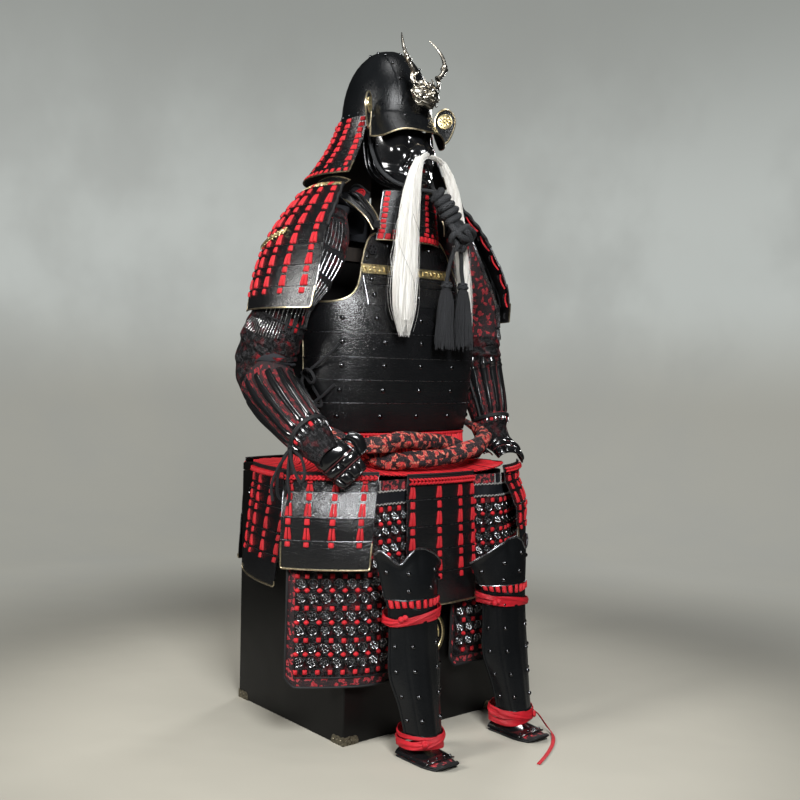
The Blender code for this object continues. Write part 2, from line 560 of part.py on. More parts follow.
mask = wall("face_mask", "gloss_lacquer", (-1.62, -1.3, -1.0, -0.72, -0.48, -0.30, -0.15, 0.0, 0.15, 0.30, 0.48, 0.72, 1.0, 1.3, 1.62),
            (1.166, 1.178, 1.192, 1.206, 1.222, 1.236, 1.250, 1.268, 1.284), mask_point, 0.0022)
mouth = box("mouth_opening", "black_lacquer", (-0.021, 0.020, 1.2040), (0.021, 0.075, 1.2180))
mouth.hide_render = True
mouth.display_type = "WIRE"
PARTS.objects.unlink(mouth)
CUTTERS.objects.link(mouth)
b = mask.modifiers.new("mouth", "BOOLEAN")
b.operation, b.object, b.solver = "DIFFERENCE", mouth, "EXACT"


def throat_point(u, row):
    w, out = row
    half = 0.074 + 0.017 * w
    y = 0.0560 + 0.002 * w + 0.030 * abs(u) ** 2.2 - out
    return u * half, y, 1.1600 - 0.108 * w


rows = []
for k in range(3):
    rows += [(k / 3 + (0.012 if k else 0.0), LAME_STEP), ((k + 1) / 3, 0.0)]
wall("throat_guard", "black_lacquer", span(-1, 1, 10), rows, throat_point, PLATE, inward=False)

MOUSTACHE = {  # along 0..1, x, y, z, half width, half depth
    "right": [(0.00, -0.010, 0.0240, 1.2330, 0.0060, 0.0060), (0.10, -0.034, 0.0160, 1.2220, 0.0120, 0.0075),
              (0.25, -0.058, 0.0100, 1.1500, 0.0240, 0.0085), (0.55, -0.072, 0.0060, 1.0200, 0.0355, 0.0090),
              (0.80, -0.080, 0.0030, 0.9150, 0.0375, 0.0085), (1.00, -0.076, 0.0030, 0.8400, 0.0150, 0.0045)],
    "left": [(0.00, 0.010, 0.0240, 1.2330, 0.0060, 0.0060), (0.10, 0.036, 0.0160, 1.2220, 0.0110, 0.0075),
             (0.25, 0.070, 0.0160, 1.1600, 0.0165, 0.0080), (0.55, 0.104, 0.0240, 1.0300, 0.0195, 0.0080),
             (0.80, 0.121, 0.0270, 0.9300, 0.0195, 0.0070), (1.00, 0.130, 0.0280, 0.8480, 0.0070, 0.0040)]}
for side, rows in MOUSTACHE.items():
    def hair_point(th, t, rows=rows):
        x, y, z, a, b = track(rows, t)
        return x + a * cos(th), y + b * sin(th), z
    solid("moustache_" + side, "white_hair", turn(10), (0, 0.06, 0.14, 0.25, 0.40, 0.55, 0.70, 0.85, 0.94, 1.0), hair_point)

# ------------------------------------------------------- chin cord and tassels
CHIN = [  # along 0..1, x, y, z, radius: the wound bundle and its knot
    (0.00, 0.012, 0.016, 1.1620, 0.0145), (0.15, 0.024, 0.008, 1.1450, 0.0210), (0.45, 0.038, -0.003, 1.1150, 0.0235),
    (0.68, 0.050, -0.011, 1.0900, 0.0195), (0.84, 0.056, -0.017, 1.0700, 0.0230), (1.00, 0.058, -0.014, 1.0480, 0.0120)]


def chin_point(th, t):
    x, y, z, r = track(CHIN, t)
    return x + r * cos(th), y + r * 0.85 * sin(th), z + 0.3 * r * cos(th)


solid("chin_cord_knot", "dark_cord", turn(12), span(0, 1, 9), chin_point)

STRANDS = {  # x, y, z of the two hanging ends, below the knot
    "a": [(0.050, -0.012, 1.0390), (0.047, -0.006, 1.0200), (0.045, 0.001, 0.9950), (0.0425, 0.004, 0.9680)],
    "b": [(0.066, -0.012, 1.0390), (0.075, -0.006, 1.0180), (0.083, 0.001, 0.9920), (0.0905, 0.004, 0.9680)]}
TASSEL = [(0.0030, 0.0000), (0.0100, -0.0050), (0.0125, -0.0130), (0.0110, -0.0200), (0.0165, -0.0420),
          (0.0205, -0.0900), (0.0225, -0.1450), (0.0140, -0.1520)]


def smooth_line(ctrl, count):
    rows = [(i / (len(ctrl) - 1), *p) for i, p in enumerate(ctrl)]
    return [tuple(track(rows, i / count)) for i in range(count + 1)]


for k, ctrl in STRANDS.items():
    cord("chin_cord_end_" + k, "dark_cord", smooth_line(ctrl, 8), 0.0028)
    x, y, z = ctrl[-1]
    top = Vector((x, y, z - 0.0016))
    solid("tassel_" + k, "dark_cord", turn(10), range(len(TASSEL)),
          lambda th, i, top=top: tuple(top + Vector((TASSEL[i][0] * cos(th), 0.72 * TASSEL[i][0] * sin(th), TASSEL[i][1]))))

# -------------------------------------------------- shin guards and foot guards
def shin_point(p, z, s, out=0.0):
    a, yf, ye = track(SHIN_SECTIONS, z)
    x, y = oval(p, a, yf, 2 * ye - yf, 2.3, out)
    flare, at, spread = CALF_FLARE
    x += copysign(flare * exp(-((z - at) / spread) ** 2) * (p / 1.6) ** 4, p)
    return s * (SHIN_X + x), y, z


for side, s in (("right", -1), ("left", 1)):
    wall("shin_guard_" + side, "black_lacquer", span(-1.60, 1.60, 10), (0.058, 0.110, 0.170, 0.235, 0.2870, 0.3105),
         lambda p, z, s=s: shin_point(p, z, s), PLATE, inward=(s > 0))

    def knee_point(p, w, s=s):
        z = 0.312 + (track(KNEE_TOP, p)[0] - 0.312) * w
        a = 0.0640 + 0.018 * w
        x, y = oval(p, a, -0.1400 + 0.012 * w, -0.030 + 0.016 * w, 2.1)
        return s * (SHIN_X + x), y, z
    wall("kneecap_" + side, "black_lacquer", span(-1.35, 1.40, 11), (0.0, 0.5, 1.0), knee_point, PLATE, inward=(s > 0))

    # the tie under the knee
    wall("knee_tie_" + side, "red_lacing", turn(18), (0.272, 0.281, 0.290),
         lambda p, z, s=s: (s * (SHIN_X + oval(p, 0.0635, -0.1435, -0.058, 2.2)[0]), oval(p, 0.0635, -0.1435, -0.058, 2.2)[1], z - 0.007 * sin(p)),
         0.0022, close=True, inward=(s > 0))

    # ankle wrapping over the foot of the shin guard
    wall("ankle_wrap_" + side, "red_lacing", turn(18), (0.0260, 0.0420, 0.0570),
         lambda p, z, s=s: (s * (SHIN_X + oval(p, 0.0450, -0.1800, -0.090, 2.2)[0]), oval(p, 0.0450, -0.1800, -0.090, 2.2)[1], z),
         0.0040, close=True, inward=(s > 0))

    # foot guard: a plate arched over a flat sole that runs out to the toe
    def sole_point(u, t, s=s):
        half = 0.036 * (1 - max(0.0, t - 0.55) ** 2 * 2.6)
        curl = 0.010 * max(0.0, t - 0.87) / 0.13
        return s * (SHIN_X + u * half), -0.106 - 0.122 * t, 0.0045 + curl
    wall("foot_sole_" + side, "brocade", span(-1, 1, 4), span(0, 1, 7), sole_point, 0.0045, inward=(s < 0))

    def toe_point(p, t, s=s):
        a = 0.0410 - 0.004 * t
        x = a * sin(p)
        y = -0.106 - 0.084 * t - 0.018 * t * cos(p)
        return s * (SHIN_X + x), y, 0.0052 + 0.0185 * abs(cos(p)) ** 0.8 * (1 - 0.35 * t * t)
    wall("foot_plate_" + side, "gloss_lacquer", span(-1.45, 1.45, 8), span(0, 1, 5), toe_point, 0.0020, inward=(s < 0))

# loose end of the left foot's tie, laid along the floor
RIBBON = [(0.1810, -0.1500, 0.0400), (0.1880, -0.1620, 0.0300), (0.1880, -0.1840, 0.0130), (0.1760, -0.2140, 0.0042),
          (0.1440, -0.2440, 0.0031), (0.1080, -0.2680, 0.0028), (0.0680, -0.2900, 0.0028), (0.0300, -0.3080, 0.0028)]
cord("foot_tie_end", "red_lacing", smooth_line(RIBBON, 16), 0.0024)

# ties hanging from the right side of the cuirass and from the right wrist
SIDE_TIE = [(-0.2300, 0.1500, 0.7560), (-0.2330, 0.1300, 0.7640), (-0.2270, 0.1020, 0.7820), (-0.2140, 0.0720, 0.8060), (-0.2060, 0.0560, 0.8240)]
cord("side_tie_right", "dark_cord", smooth_line(SIDE_TIE, 9), 0.0022)
WRIST_TIE = [(-0.3300, 0.0360, 0.6150), (-0.3400, 0.0420, 0.6000), (-0.3520, 0.0560, 0.5700), (-0.3600, 0.0660, 0.5350), (-0.3580, 0.0640, 0.5050)]
cord("wrist_tie_right", "dark_cord", smooth_line(WRIST_TIE, 9), 0.0022)
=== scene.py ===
"""Looks of the samurai armour seated on its storage chest.

Metres, +Z up. Every table below repeats the sizes of the construction model, drawn about the wearer's
mid-plane with Y = 0 at the chest's front board; a piece is moved by -OY in Y when it is made.
"""
import json
import bpy
import bmesh
import numpy as np
from math import sin, cos, pi, radians, sqrt, copysign
from mathutils import Vector, Matrix

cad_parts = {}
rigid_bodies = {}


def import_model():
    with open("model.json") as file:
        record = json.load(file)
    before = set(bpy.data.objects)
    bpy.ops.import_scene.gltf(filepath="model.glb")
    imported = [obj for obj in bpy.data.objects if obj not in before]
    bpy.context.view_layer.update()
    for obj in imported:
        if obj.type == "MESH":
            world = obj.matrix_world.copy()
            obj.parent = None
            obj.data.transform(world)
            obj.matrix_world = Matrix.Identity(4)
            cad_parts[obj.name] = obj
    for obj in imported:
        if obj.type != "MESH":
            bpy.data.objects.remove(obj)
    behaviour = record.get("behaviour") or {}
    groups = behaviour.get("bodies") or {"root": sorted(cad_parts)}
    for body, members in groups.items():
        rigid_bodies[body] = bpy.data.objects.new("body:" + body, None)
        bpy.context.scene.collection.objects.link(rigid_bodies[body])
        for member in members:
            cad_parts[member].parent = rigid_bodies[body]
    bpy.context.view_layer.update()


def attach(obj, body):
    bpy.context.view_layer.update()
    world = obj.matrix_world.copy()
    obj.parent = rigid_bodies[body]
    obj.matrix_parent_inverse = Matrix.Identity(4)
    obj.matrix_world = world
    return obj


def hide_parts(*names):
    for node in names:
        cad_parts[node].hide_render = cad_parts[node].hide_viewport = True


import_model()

OY = 0.1140
RNG = np.random.default_rng(11)

# ------------------------------------------------------------------ the camera
CAM_AT = (-1.46999, -1.657614 - OY, 0.763238)
YAW, PITCH, ROLL, FOCAL_PX = 0.695388, -0.025538, 0.020473, 1025.922365
fwd = Vector((sin(YAW) * cos(PITCH), cos(YAW) * cos(PITCH), sin(PITCH)))
right0 = Vector((cos(YAW), -sin(YAW), 0.0))
up0 = right0.cross(fwd)
cam_r = right0 * cos(ROLL) + up0 * sin(ROLL)
cam_u = up0 * cos(ROLL) - right0 * sin(ROLL)
cam_data = bpy.data.cameras.new("camera")
cam_data.sensor_width = 36.0
cam_data.lens = FOCAL_PX / 800.0 * 36.0
cam_data.clip_start, cam_data.clip_end = 0.05, 60.0
camera = bpy.data.objects.new("camera", cam_data)
mw = Matrix((cam_r, cam_u, -fwd)).transposed().to_4x4()
mw.translation = Vector(CAM_AT)
camera.matrix_world = mw
bpy.context.scene.collection.objects.link(camera)
bpy.context.scene.camera = camera

# ------------------------------------------------------------- size tables
GAP, STEP, PLATE, CLOTH = 0.0006, 0.0022, 0.0018, 0.0030
CHEST_W, CHEST_D, CHEST_H, BOARD, LID_H = 0.440, 0.407, 0.5505, 0.012, 0.018
DO_SECTIONS = [  # z, half_width, y_front, y_back
    (0.638, 0.216, 0.055, 0.298), (0.680, 0.219, 0.047, 0.302),
    (0.725, 0.222, 0.041, 0.305), (0.780, 0.225, 0.037, 0.308),
    (0.840, 0.227, 0.036, 0.309), (0.905, 0.227, 0.042, 0.308),
    (0.960, 0.226, 0.060, 0.302), (1.020, 0.224, 0.080, 0.292),
    (1.075, 0.222, 0.092, 0.282), (1.120, 0.220, 0.098, 0.270)]
DO_ROUND = 2.8
DO_LINES = (0.638, 0.699, 0.748, 0.796, 0.848, 0.9062)
DO_FRONT_TOP = [
    (0.000, 1.066), (0.085, 1.066), (0.105, 1.058), (0.120, 1.030), (0.133, 0.995),
    (0.147, 0.952), (0.168, 0.926), (0.195, 0.914), (0.230, 0.911)]
DO_BACK_TOP = [
    (0.000, 1.105), (0.100, 1.105), (0.128, 1.085), (0.148, 1.030), (0.160, 0.975),
    (0.178, 0.938), (0.200, 0.918), (0.230, 0.911)]
LACE_FOOT = [  # angle from the front, x, y, z
    (0.00, 0.000, -0.032, 0.5500), (0.35, 0.088, -0.032, 0.5500), (0.62, 0.165, -0.030, 0.5560),
    (0.86, 0.232, 0.012, 0.5580), (1.08, 0.272, 0.052, 0.5580), (1.30, 0.274, 0.108, 0.5560),
    (1.57, 0.262, 0.200, 0.5540), (1.95, 0.238, 0.300, 0.5540), (2.25, 0.200, 0.386, 0.5540),
    (2.70, 0.100, 0.409, 0.5540), (3.1416, 0.000, 0.424, 0.5540)]
LACE_FALL = [
    (0.00, 0.00, 0.00), (0.40, 0.02, 0.42), (0.66, 0.10, 0.78), (0.80, 0.34, 0.90), (1.00, 1.00, 1.00)]
TASSETS = [
    ("tasset_front", -0.098, -0.040, 0.090, -0.040, -0.103, -0.052, 0.095, -0.052, 0.553, 0.278, 0.010, 5),
    ("tasset_front_right", -0.333, 0.062, -0.176, -0.046, -0.345, 0.052, -0.213, -0.068, 0.562, 0.372, 0.012, 4),
    ("tasset_front_left", 0.176, -0.046, 0.333, 0.062, 0.213, -0.068, 0.345, 0.052, 0.562, 0.372, 0.012, 4),
    ("tasset_side_right", -0.244, 0.312, -0.282, 0.098, -0.268, 0.322, -0.322, 0.110, 0.558, 0.322, 0.012, 5),
    ("tasset_side_left", 0.282, 0.098, 0.244, 0.312, 0.322, 0.110, 0.268, 0.322, 0.558, 0.322, 0.012, 5),
    ("tasset_back_right", -0.006, 0.440, -0.205, 0.414, -0.006, 0.456, -0.215, 0.430, 0.558, 0.322, 0.008, 5),
    ("tasset_back_left", 0.205, 0.414, 0.006, 0.440, 0.215, 0.430, 0.006, 0.456, 0.558, 0.322, 0.008, 5)]
THIGH_PLAN = [
    (0.00, 0.046, -0.026), (0.30, 0.124, -0.0275), (0.52, 0.185, -0.030),
    (0.76, 0.262, 0.008), (1.00, 0.328, 0.056)]
THIGH_TOP, THIGH_BOTTOM = 0.544, 0.128
SODE_SECTIONS = [
    (0.00, 0.166, 0.108, 0.268, 1.163, 0.020), (0.18, 0.206, 0.078, 0.272, 1.113, 0.026),
    (0.36, 0.240, 0.058, 0.276, 1.063, 0.030), (0.59, 0.270, 0.034, 0.276, 1.000, 0.034),
    (0.78, 0.288, 0.024, 0.270, 0.948, 0.036), (1.00, 0.301, 0.026, 0.266, 0.892, 0.037)]
SODE_LAMES = 6
SLEEVES = {"right": [
    (0.00, 0.180, 0.162, 1.098, 0.042, 0.058), (0.10, 0.203, 0.146, 1.040, 0.043, 0.064),
    (0.22, 0.240, 0.143, 0.975, 0.043, 0.067), (0.32, 0.272, 0.152, 0.922, 0.043, 0.069),
    (0.42, 0.281, 0.172, 0.870, 0.044, 0.074), (0.52, 0.286, 0.202, 0.818, 0.045, 0.081),
    (0.62, 0.291, 0.208, 0.766, 0.047, 0.080), (0.72, 0.296, 0.164, 0.722, 0.047, 0.064),
    (0.82, 0.298, 0.108, 0.684, 0.045, 0.054), (0.92, 0.298, 0.050, 0.648, 0.041, 0.046),
    (1.00, 0.294, 0.010, 0.624, 0.037, 0.039), (1.04, 0.291, -0.008, 0.610, 0.033, 0.033), (1.09, 0.285, -0.028, 0.597, 0.029, 0.024)],
    "left": [
    (0.00, 0.180, 0.162, 1.098, 0.042, 0.058), (0.10, 0.203, 0.150, 1.040, 0.043, 0.062),
    (0.22, 0.240, 0.150, 0.975, 0.043, 0.064), (0.32, 0.272, 0.152, 0.922, 0.043, 0.064),
    (0.42, 0.280, 0.155, 0.870, 0.043, 0.064), (0.52, 0.283, 0.158, 0.822, 0.044, 0.066),
    (0.62, 0.289, 0.158, 0.780, 0.045, 0.064), (0.72, 0.292, 0.146, 0.742, 0.044, 0.057),
    (0.82, 0.294, 0.132, 0.702, 0.043, 0.052), (0.92, 0.294, 0.116, 0.658, 0.039, 0.044),
    (1.00, 0.293, 0.104, 0.628, 0.035, 0.038), (1.04, 0.293, 0.088, 0.611, 0.032, 0.032), (1.09, 0.291, 0.070, 0.598, 0.028, 0.024)]}
HEAD_Y = 0.172
BOWL_A, BOWL_B, BOWL_RIM, BOWL_TOP = 0.0960, 0.1060, 1.326, 1.4880
NECK_SECTIONS = [
    (1.196, 0.163, 0.030, 0.380), (1.232, 0.140, 0.044, 0.346), (1.266, 0.122, 0.055, 0.320),
    (1.298, 0.110, 0.062, 0.300), (1.334, 0.1025, 0.0620, 0.2830)]
NECK_LINES = (1.196, 1.222, 1.248, 1.274, 1.301, 1.3245)
NECK_EDGE = radians(61)
SHIN_X = 0.129
SHIN_SECTIONS = [
    (0.052, 0.041, -0.176, -0.130), (0.110, 0.047, -0.164, -0.119), (0.200, 0.056, -0.147, -0.102),
    (0.285, 0.059, -0.139, -0.093)]
KNEE_TOP = [
    (-1.35, 0.362), (-0.80, 0.385), (-0.35, 0.405), (0.05, 0.417), (0.33, 0.408),
    (0.60, 0.388), (0.95, 0.404), (1.20, 0.414), (1.40, 0.406)]
CALF_FLARE = (0.018, 0.170, 0.050)
STRAP = [
    (0.00, 0.118, 0.2520, 1.124, 0.024), (0.22, 0.128, 0.2150, 1.150, 0.027), (0.45, 0.134, 0.1650, 1.160, 0.027),
    (0.68, 0.126, 0.1150, 1.142, 0.022), (0.86, 0.112, 0.0800, 1.105, 0.015), (1.00, 0.102, 0.0700, 1.074, 0.010)]
SASH = [
    (0.00, 0.262, -0.003, 0.6010, 0.0180), (0.55, 0.262, -0.003, 0.6030, 0.0175), (0.92, 0.252, 0.010, 0.6240, 0.0120),
    (1.22, 0.2345, 0.030, 0.6480, 0.0062), (1.90, 0.2345, 0.030, 0.6640, 0.0062), (2.40, 0.244, 0.030, 0.6700, 0.0100),
    (pi, 0.250, 0.030, 0.6720, 0.0120)]
HANDS = {"right": [  # along 0..1, x, y, z (ridge), half width, sag at the sides, turn from facing up (0) to facing the side given (1)
    (0.00, 0.297, -0.014, 0.6240, 0.026, 0.010, 0.45), (0.26, 0.285, -0.025, 0.6040, 0.035, 0.011, 0.85),
    (0.62, 0.266, -0.042, 0.5800, 0.036, 0.011, 1.00), (1.00, 0.2475, -0.0575, 0.5550, 0.030, 0.010, 1.00)],
    "left": [
    (0.00, 0.292, 0.086, 0.6240, 0.030, 0.012, 0.00), (0.30, 0.288, 0.064, 0.6160, 0.036, 0.016, 0.08),
    (0.62, 0.280, 0.036, 0.6040, 0.038, 0.018, 0.16), (1.00, 0.268, 0.006, 0.5860, 0.034, 0.016, 0.16)]}
HAND_FACE = {"right": (0.640, -0.768, 0.0), "left": (0.958, -0.287, 0.0)}
HORN = [  # along 0..1, x, y, z, radius
    (0.00, 0.031, 0.0360, 1.4080, 0.0062), (0.22, 0.044, 0.0350, 1.4210, 0.0062), (0.42, 0.054, 0.0390, 1.4400, 0.0052),
    (0.65, 0.056, 0.0490, 1.4650, 0.0040), (0.85, 0.049, 0.0630, 1.4880, 0.0026), (1.00, 0.040, 0.0760, 1.5038, 0.0012)]
MASK = [
    (1.166, 0.030, 0.052, 0.085, 0.000), (1.178, 0.050, 0.044, 0.112, 0.000), (1.200, 0.066, 0.046, 0.135, 0.000),
    (1.222, 0.072, 0.050, 0.145, 0.006), (1.246, 0.075, 0.052, 0.148, 0.020), (1.268, 0.077, 0.056, 0.150, 0.012),
    (1.284, 0.078, 0.060, 0.150, 0.004)]
MOUSTACHE = {
    "right": [(0.00, -0.010, 0.0240, 1.2330, 0.0060, 0.0060), (0.10, -0.034, 0.0160, 1.2220, 0.0120, 0.0075),
              (0.25, -0.058, 0.0100, 1.1500, 0.0240, 0.0085), (0.55, -0.072, 0.0060, 1.0200, 0.0355, 0.0090),
              (0.80, -0.080, 0.0030, 0.9150, 0.0375, 0.0085), (1.00, -0.076, 0.0030, 0.8400, 0.0150, 0.0045)],
    "left": [(0.00, 0.010, 0.0240, 1.2330, 0.0060, 0.0060), (0.10, 0.036, 0.0160, 1.2220, 0.0110, 0.0075),
             (0.25, 0.070, 0.0160, 1.1600, 0.0165, 0.0080), (0.55, 0.104, 0.0240, 1.0300, 0.0195, 0.0080),
             (0.80, 0.121, 0.0270, 0.9300, 0.0195, 0.0070), (1.00, 0.130, 0.0280, 0.8480, 0.0070, 0.0040)]}
CHIN = [
    (0.00, 0.012, 0.016, 1.1620, 0.0145), (0.15, 0.024, 0.008, 1.1450, 0.0210), (0.45, 0.038, -0.003, 1.1150, 0.0235),
    (0.68, 0.050, -0.011, 1.0900, 0.0195), (0.84, 0.056, -0.017, 1.0700, 0.0230), (1.00, 0.058, -0.014, 1.0480, 0.0120)]
STRANDS = {
    "a": [(0.050, -0.012, 1.0390), (0.047, -0.006, 1.0200), (0.045, 0.001, 0.9950), (0.0425, 0.004, 0.9680)],
    "b": [(0.066, -0.012, 1.0390), (0.075, -0.006, 1.0180), (0.083, 0.001, 0.9920), (0.0905, 0.004, 0.9680)]}
RIBBON = [(0.1810, -0.1500, 0.0400), (0.1880, -0.1620, 0.0300), (0.1880, -0.1840, 0.0130), (0.1760, -0.2140, 0.0042),
          (0.1440, -0.2440, 0.0031), (0.1080, -0.2680, 0.0028), (0.0680, -0.2900, 0.0028), (0.0300, -0.3080, 0.0028)]
SIDE_TIE = [(-0.2300, 0.1500, 0.7560), (-0.2330, 0.1300, 0.7640), (-0.2270, 0.1020, 0.7820), (-0.2140, 0.0720, 0.8060), (-0.2060, 0.0560, 0.8240)]
WRIST_TIE = [(-0.3300, 0.0360, 0.6150), (-0.3400, 0.0420, 0.6000), (-0.3520, 0.0560, 0.5700), (-0.3600, 0.0660, 0.5350), (-0.3580, 0.0640, 0.5050)]


# ---------------------------------------------------------------- shape helpers
def track(rows, x):
    if x <= rows[0][0]:
        return list(rows[0][1:])
    if x >= rows[-1][0]:
        return list(rows[-1][1:])
    n = len(rows)
    i = next(k for k in range(n - 1) if rows[k + 1][0] >= x)
    lo, hi = rows[i], rows[i + 1]
    a, b = rows[max(i - 1, 0)], rows[min(i + 2, n - 1)]
    h = hi[0] - lo[0]
    t = (x - lo[0]) / h
    t2, t3 = t * t, t * t * t
    c0, c1, c2, c3 = 2*t3 - 3*t2 + 1, t3 - 2*t2 + t, 3*t2 - 2*t3, t3 - t2
    k0, k1 = h / (hi[0] - a[0]), h / (b[0] - lo[0])
    return [c0 * lo[c] + c1 * (hi[c] - a[c]) * k0 + c2 * hi[c] + c3 * (b[c] - lo[c]) * k1 for c in range(1, len(lo))]


def oval(phi, a, yf, yb, n=2.0, out=0.0):
    b, yc = (yb - yf) / 2, (yb + yf) / 2
    s, c = sin(phi), cos(phi)
    x = a * copysign(abs(s) ** (2 / n), s)
    y = -b * copysign(abs(c) ** (2 / n), c)
    if out == 0.0:
        return x, yc + y
    gx = copysign((abs(x) / a) ** (n - 1) / a, x)
    gy = copysign((abs(y) / b) ** (n - 1) / b, y)
    g = sqrt(gx * gx + gy * gy)
    return x + out * gx / g, yc + y + out * gy / g


def span(a, b, k):
    return [a + (b - a) * i / k for i in range(k + 1)]


def turn(k):
    return [2 * pi * i / k for i in range(k)]


def smooth_line(ctrl, count):
    rows = [(i / (len(ctrl) - 1), *p) for i, p in enumerate(ctrl)]
    return np.array([track(rows, i / count) for i in range(count + 1)])


def unit(v):
    v = np.asarray(v, float)
    return v / max(np.linalg.norm(v), 1e-12)


def surf(fn, us, ws, out=0.0):
    return np.array([[fn(u, w, out) for u in us] for w in ws], float)


def frame_at(fn, u, w, eps=1e-3):
    """Point, unit directions along u and w, outward normal, and metres per unit of u and of w."""
    p = np.array(fn(u, w, 0.0))
    pu = (np.array(fn(u + eps, w, 0.0)) - np.array(fn(u - eps, w, 0.0))) / (2 * eps)
    pw = (np.array(fn(u, w + eps, 0.0)) - np.array(fn(u, w - eps, 0.0))) / (2 * eps)
    lu, lw = np.linalg.norm(pu), np.linalg.norm(pw)
    n = unit(np.array(fn(u, w, 0.001)) - p)
    n = unit(n - pw / lw * n.dot(pw / lw))
    return p, pu / lu, pw / lw, n, lu, lw


def wobble(x, y, z=0.0, seed=0.0):
    """Smooth uneven value between about -1 and 1."""
    return (sin(x * 1.7 + 2.1 * sin(y * 1.3 + seed) + seed) + sin(y * 2.3 + 1.7 * sin(x * 0.9 - seed) + z * 1.9)
            + 0.6 * sin((x + y) * 3.7 + seed * 2 + z)) / 2.6


def ring(k, a, b=None, squeeze=2.0):
    b = a if b is None else b
    out = []
    for i in range(k):
        t = 2 * pi * i / k
        c, s = cos(t), sin(t)
        out.append((a * copysign(abs(c) ** (2 / squeeze), c), b * copysign(abs(s) ** (2 / squeeze), s)))
    return np.array(out)


PAD_S = (-1.0, -0.82, -0.45, 0.0, 0.45, 0.82, 1.0)
PAD_T = (0.0, 0.07, 0.25, 0.5, 0.75, 0.93, 1.0)


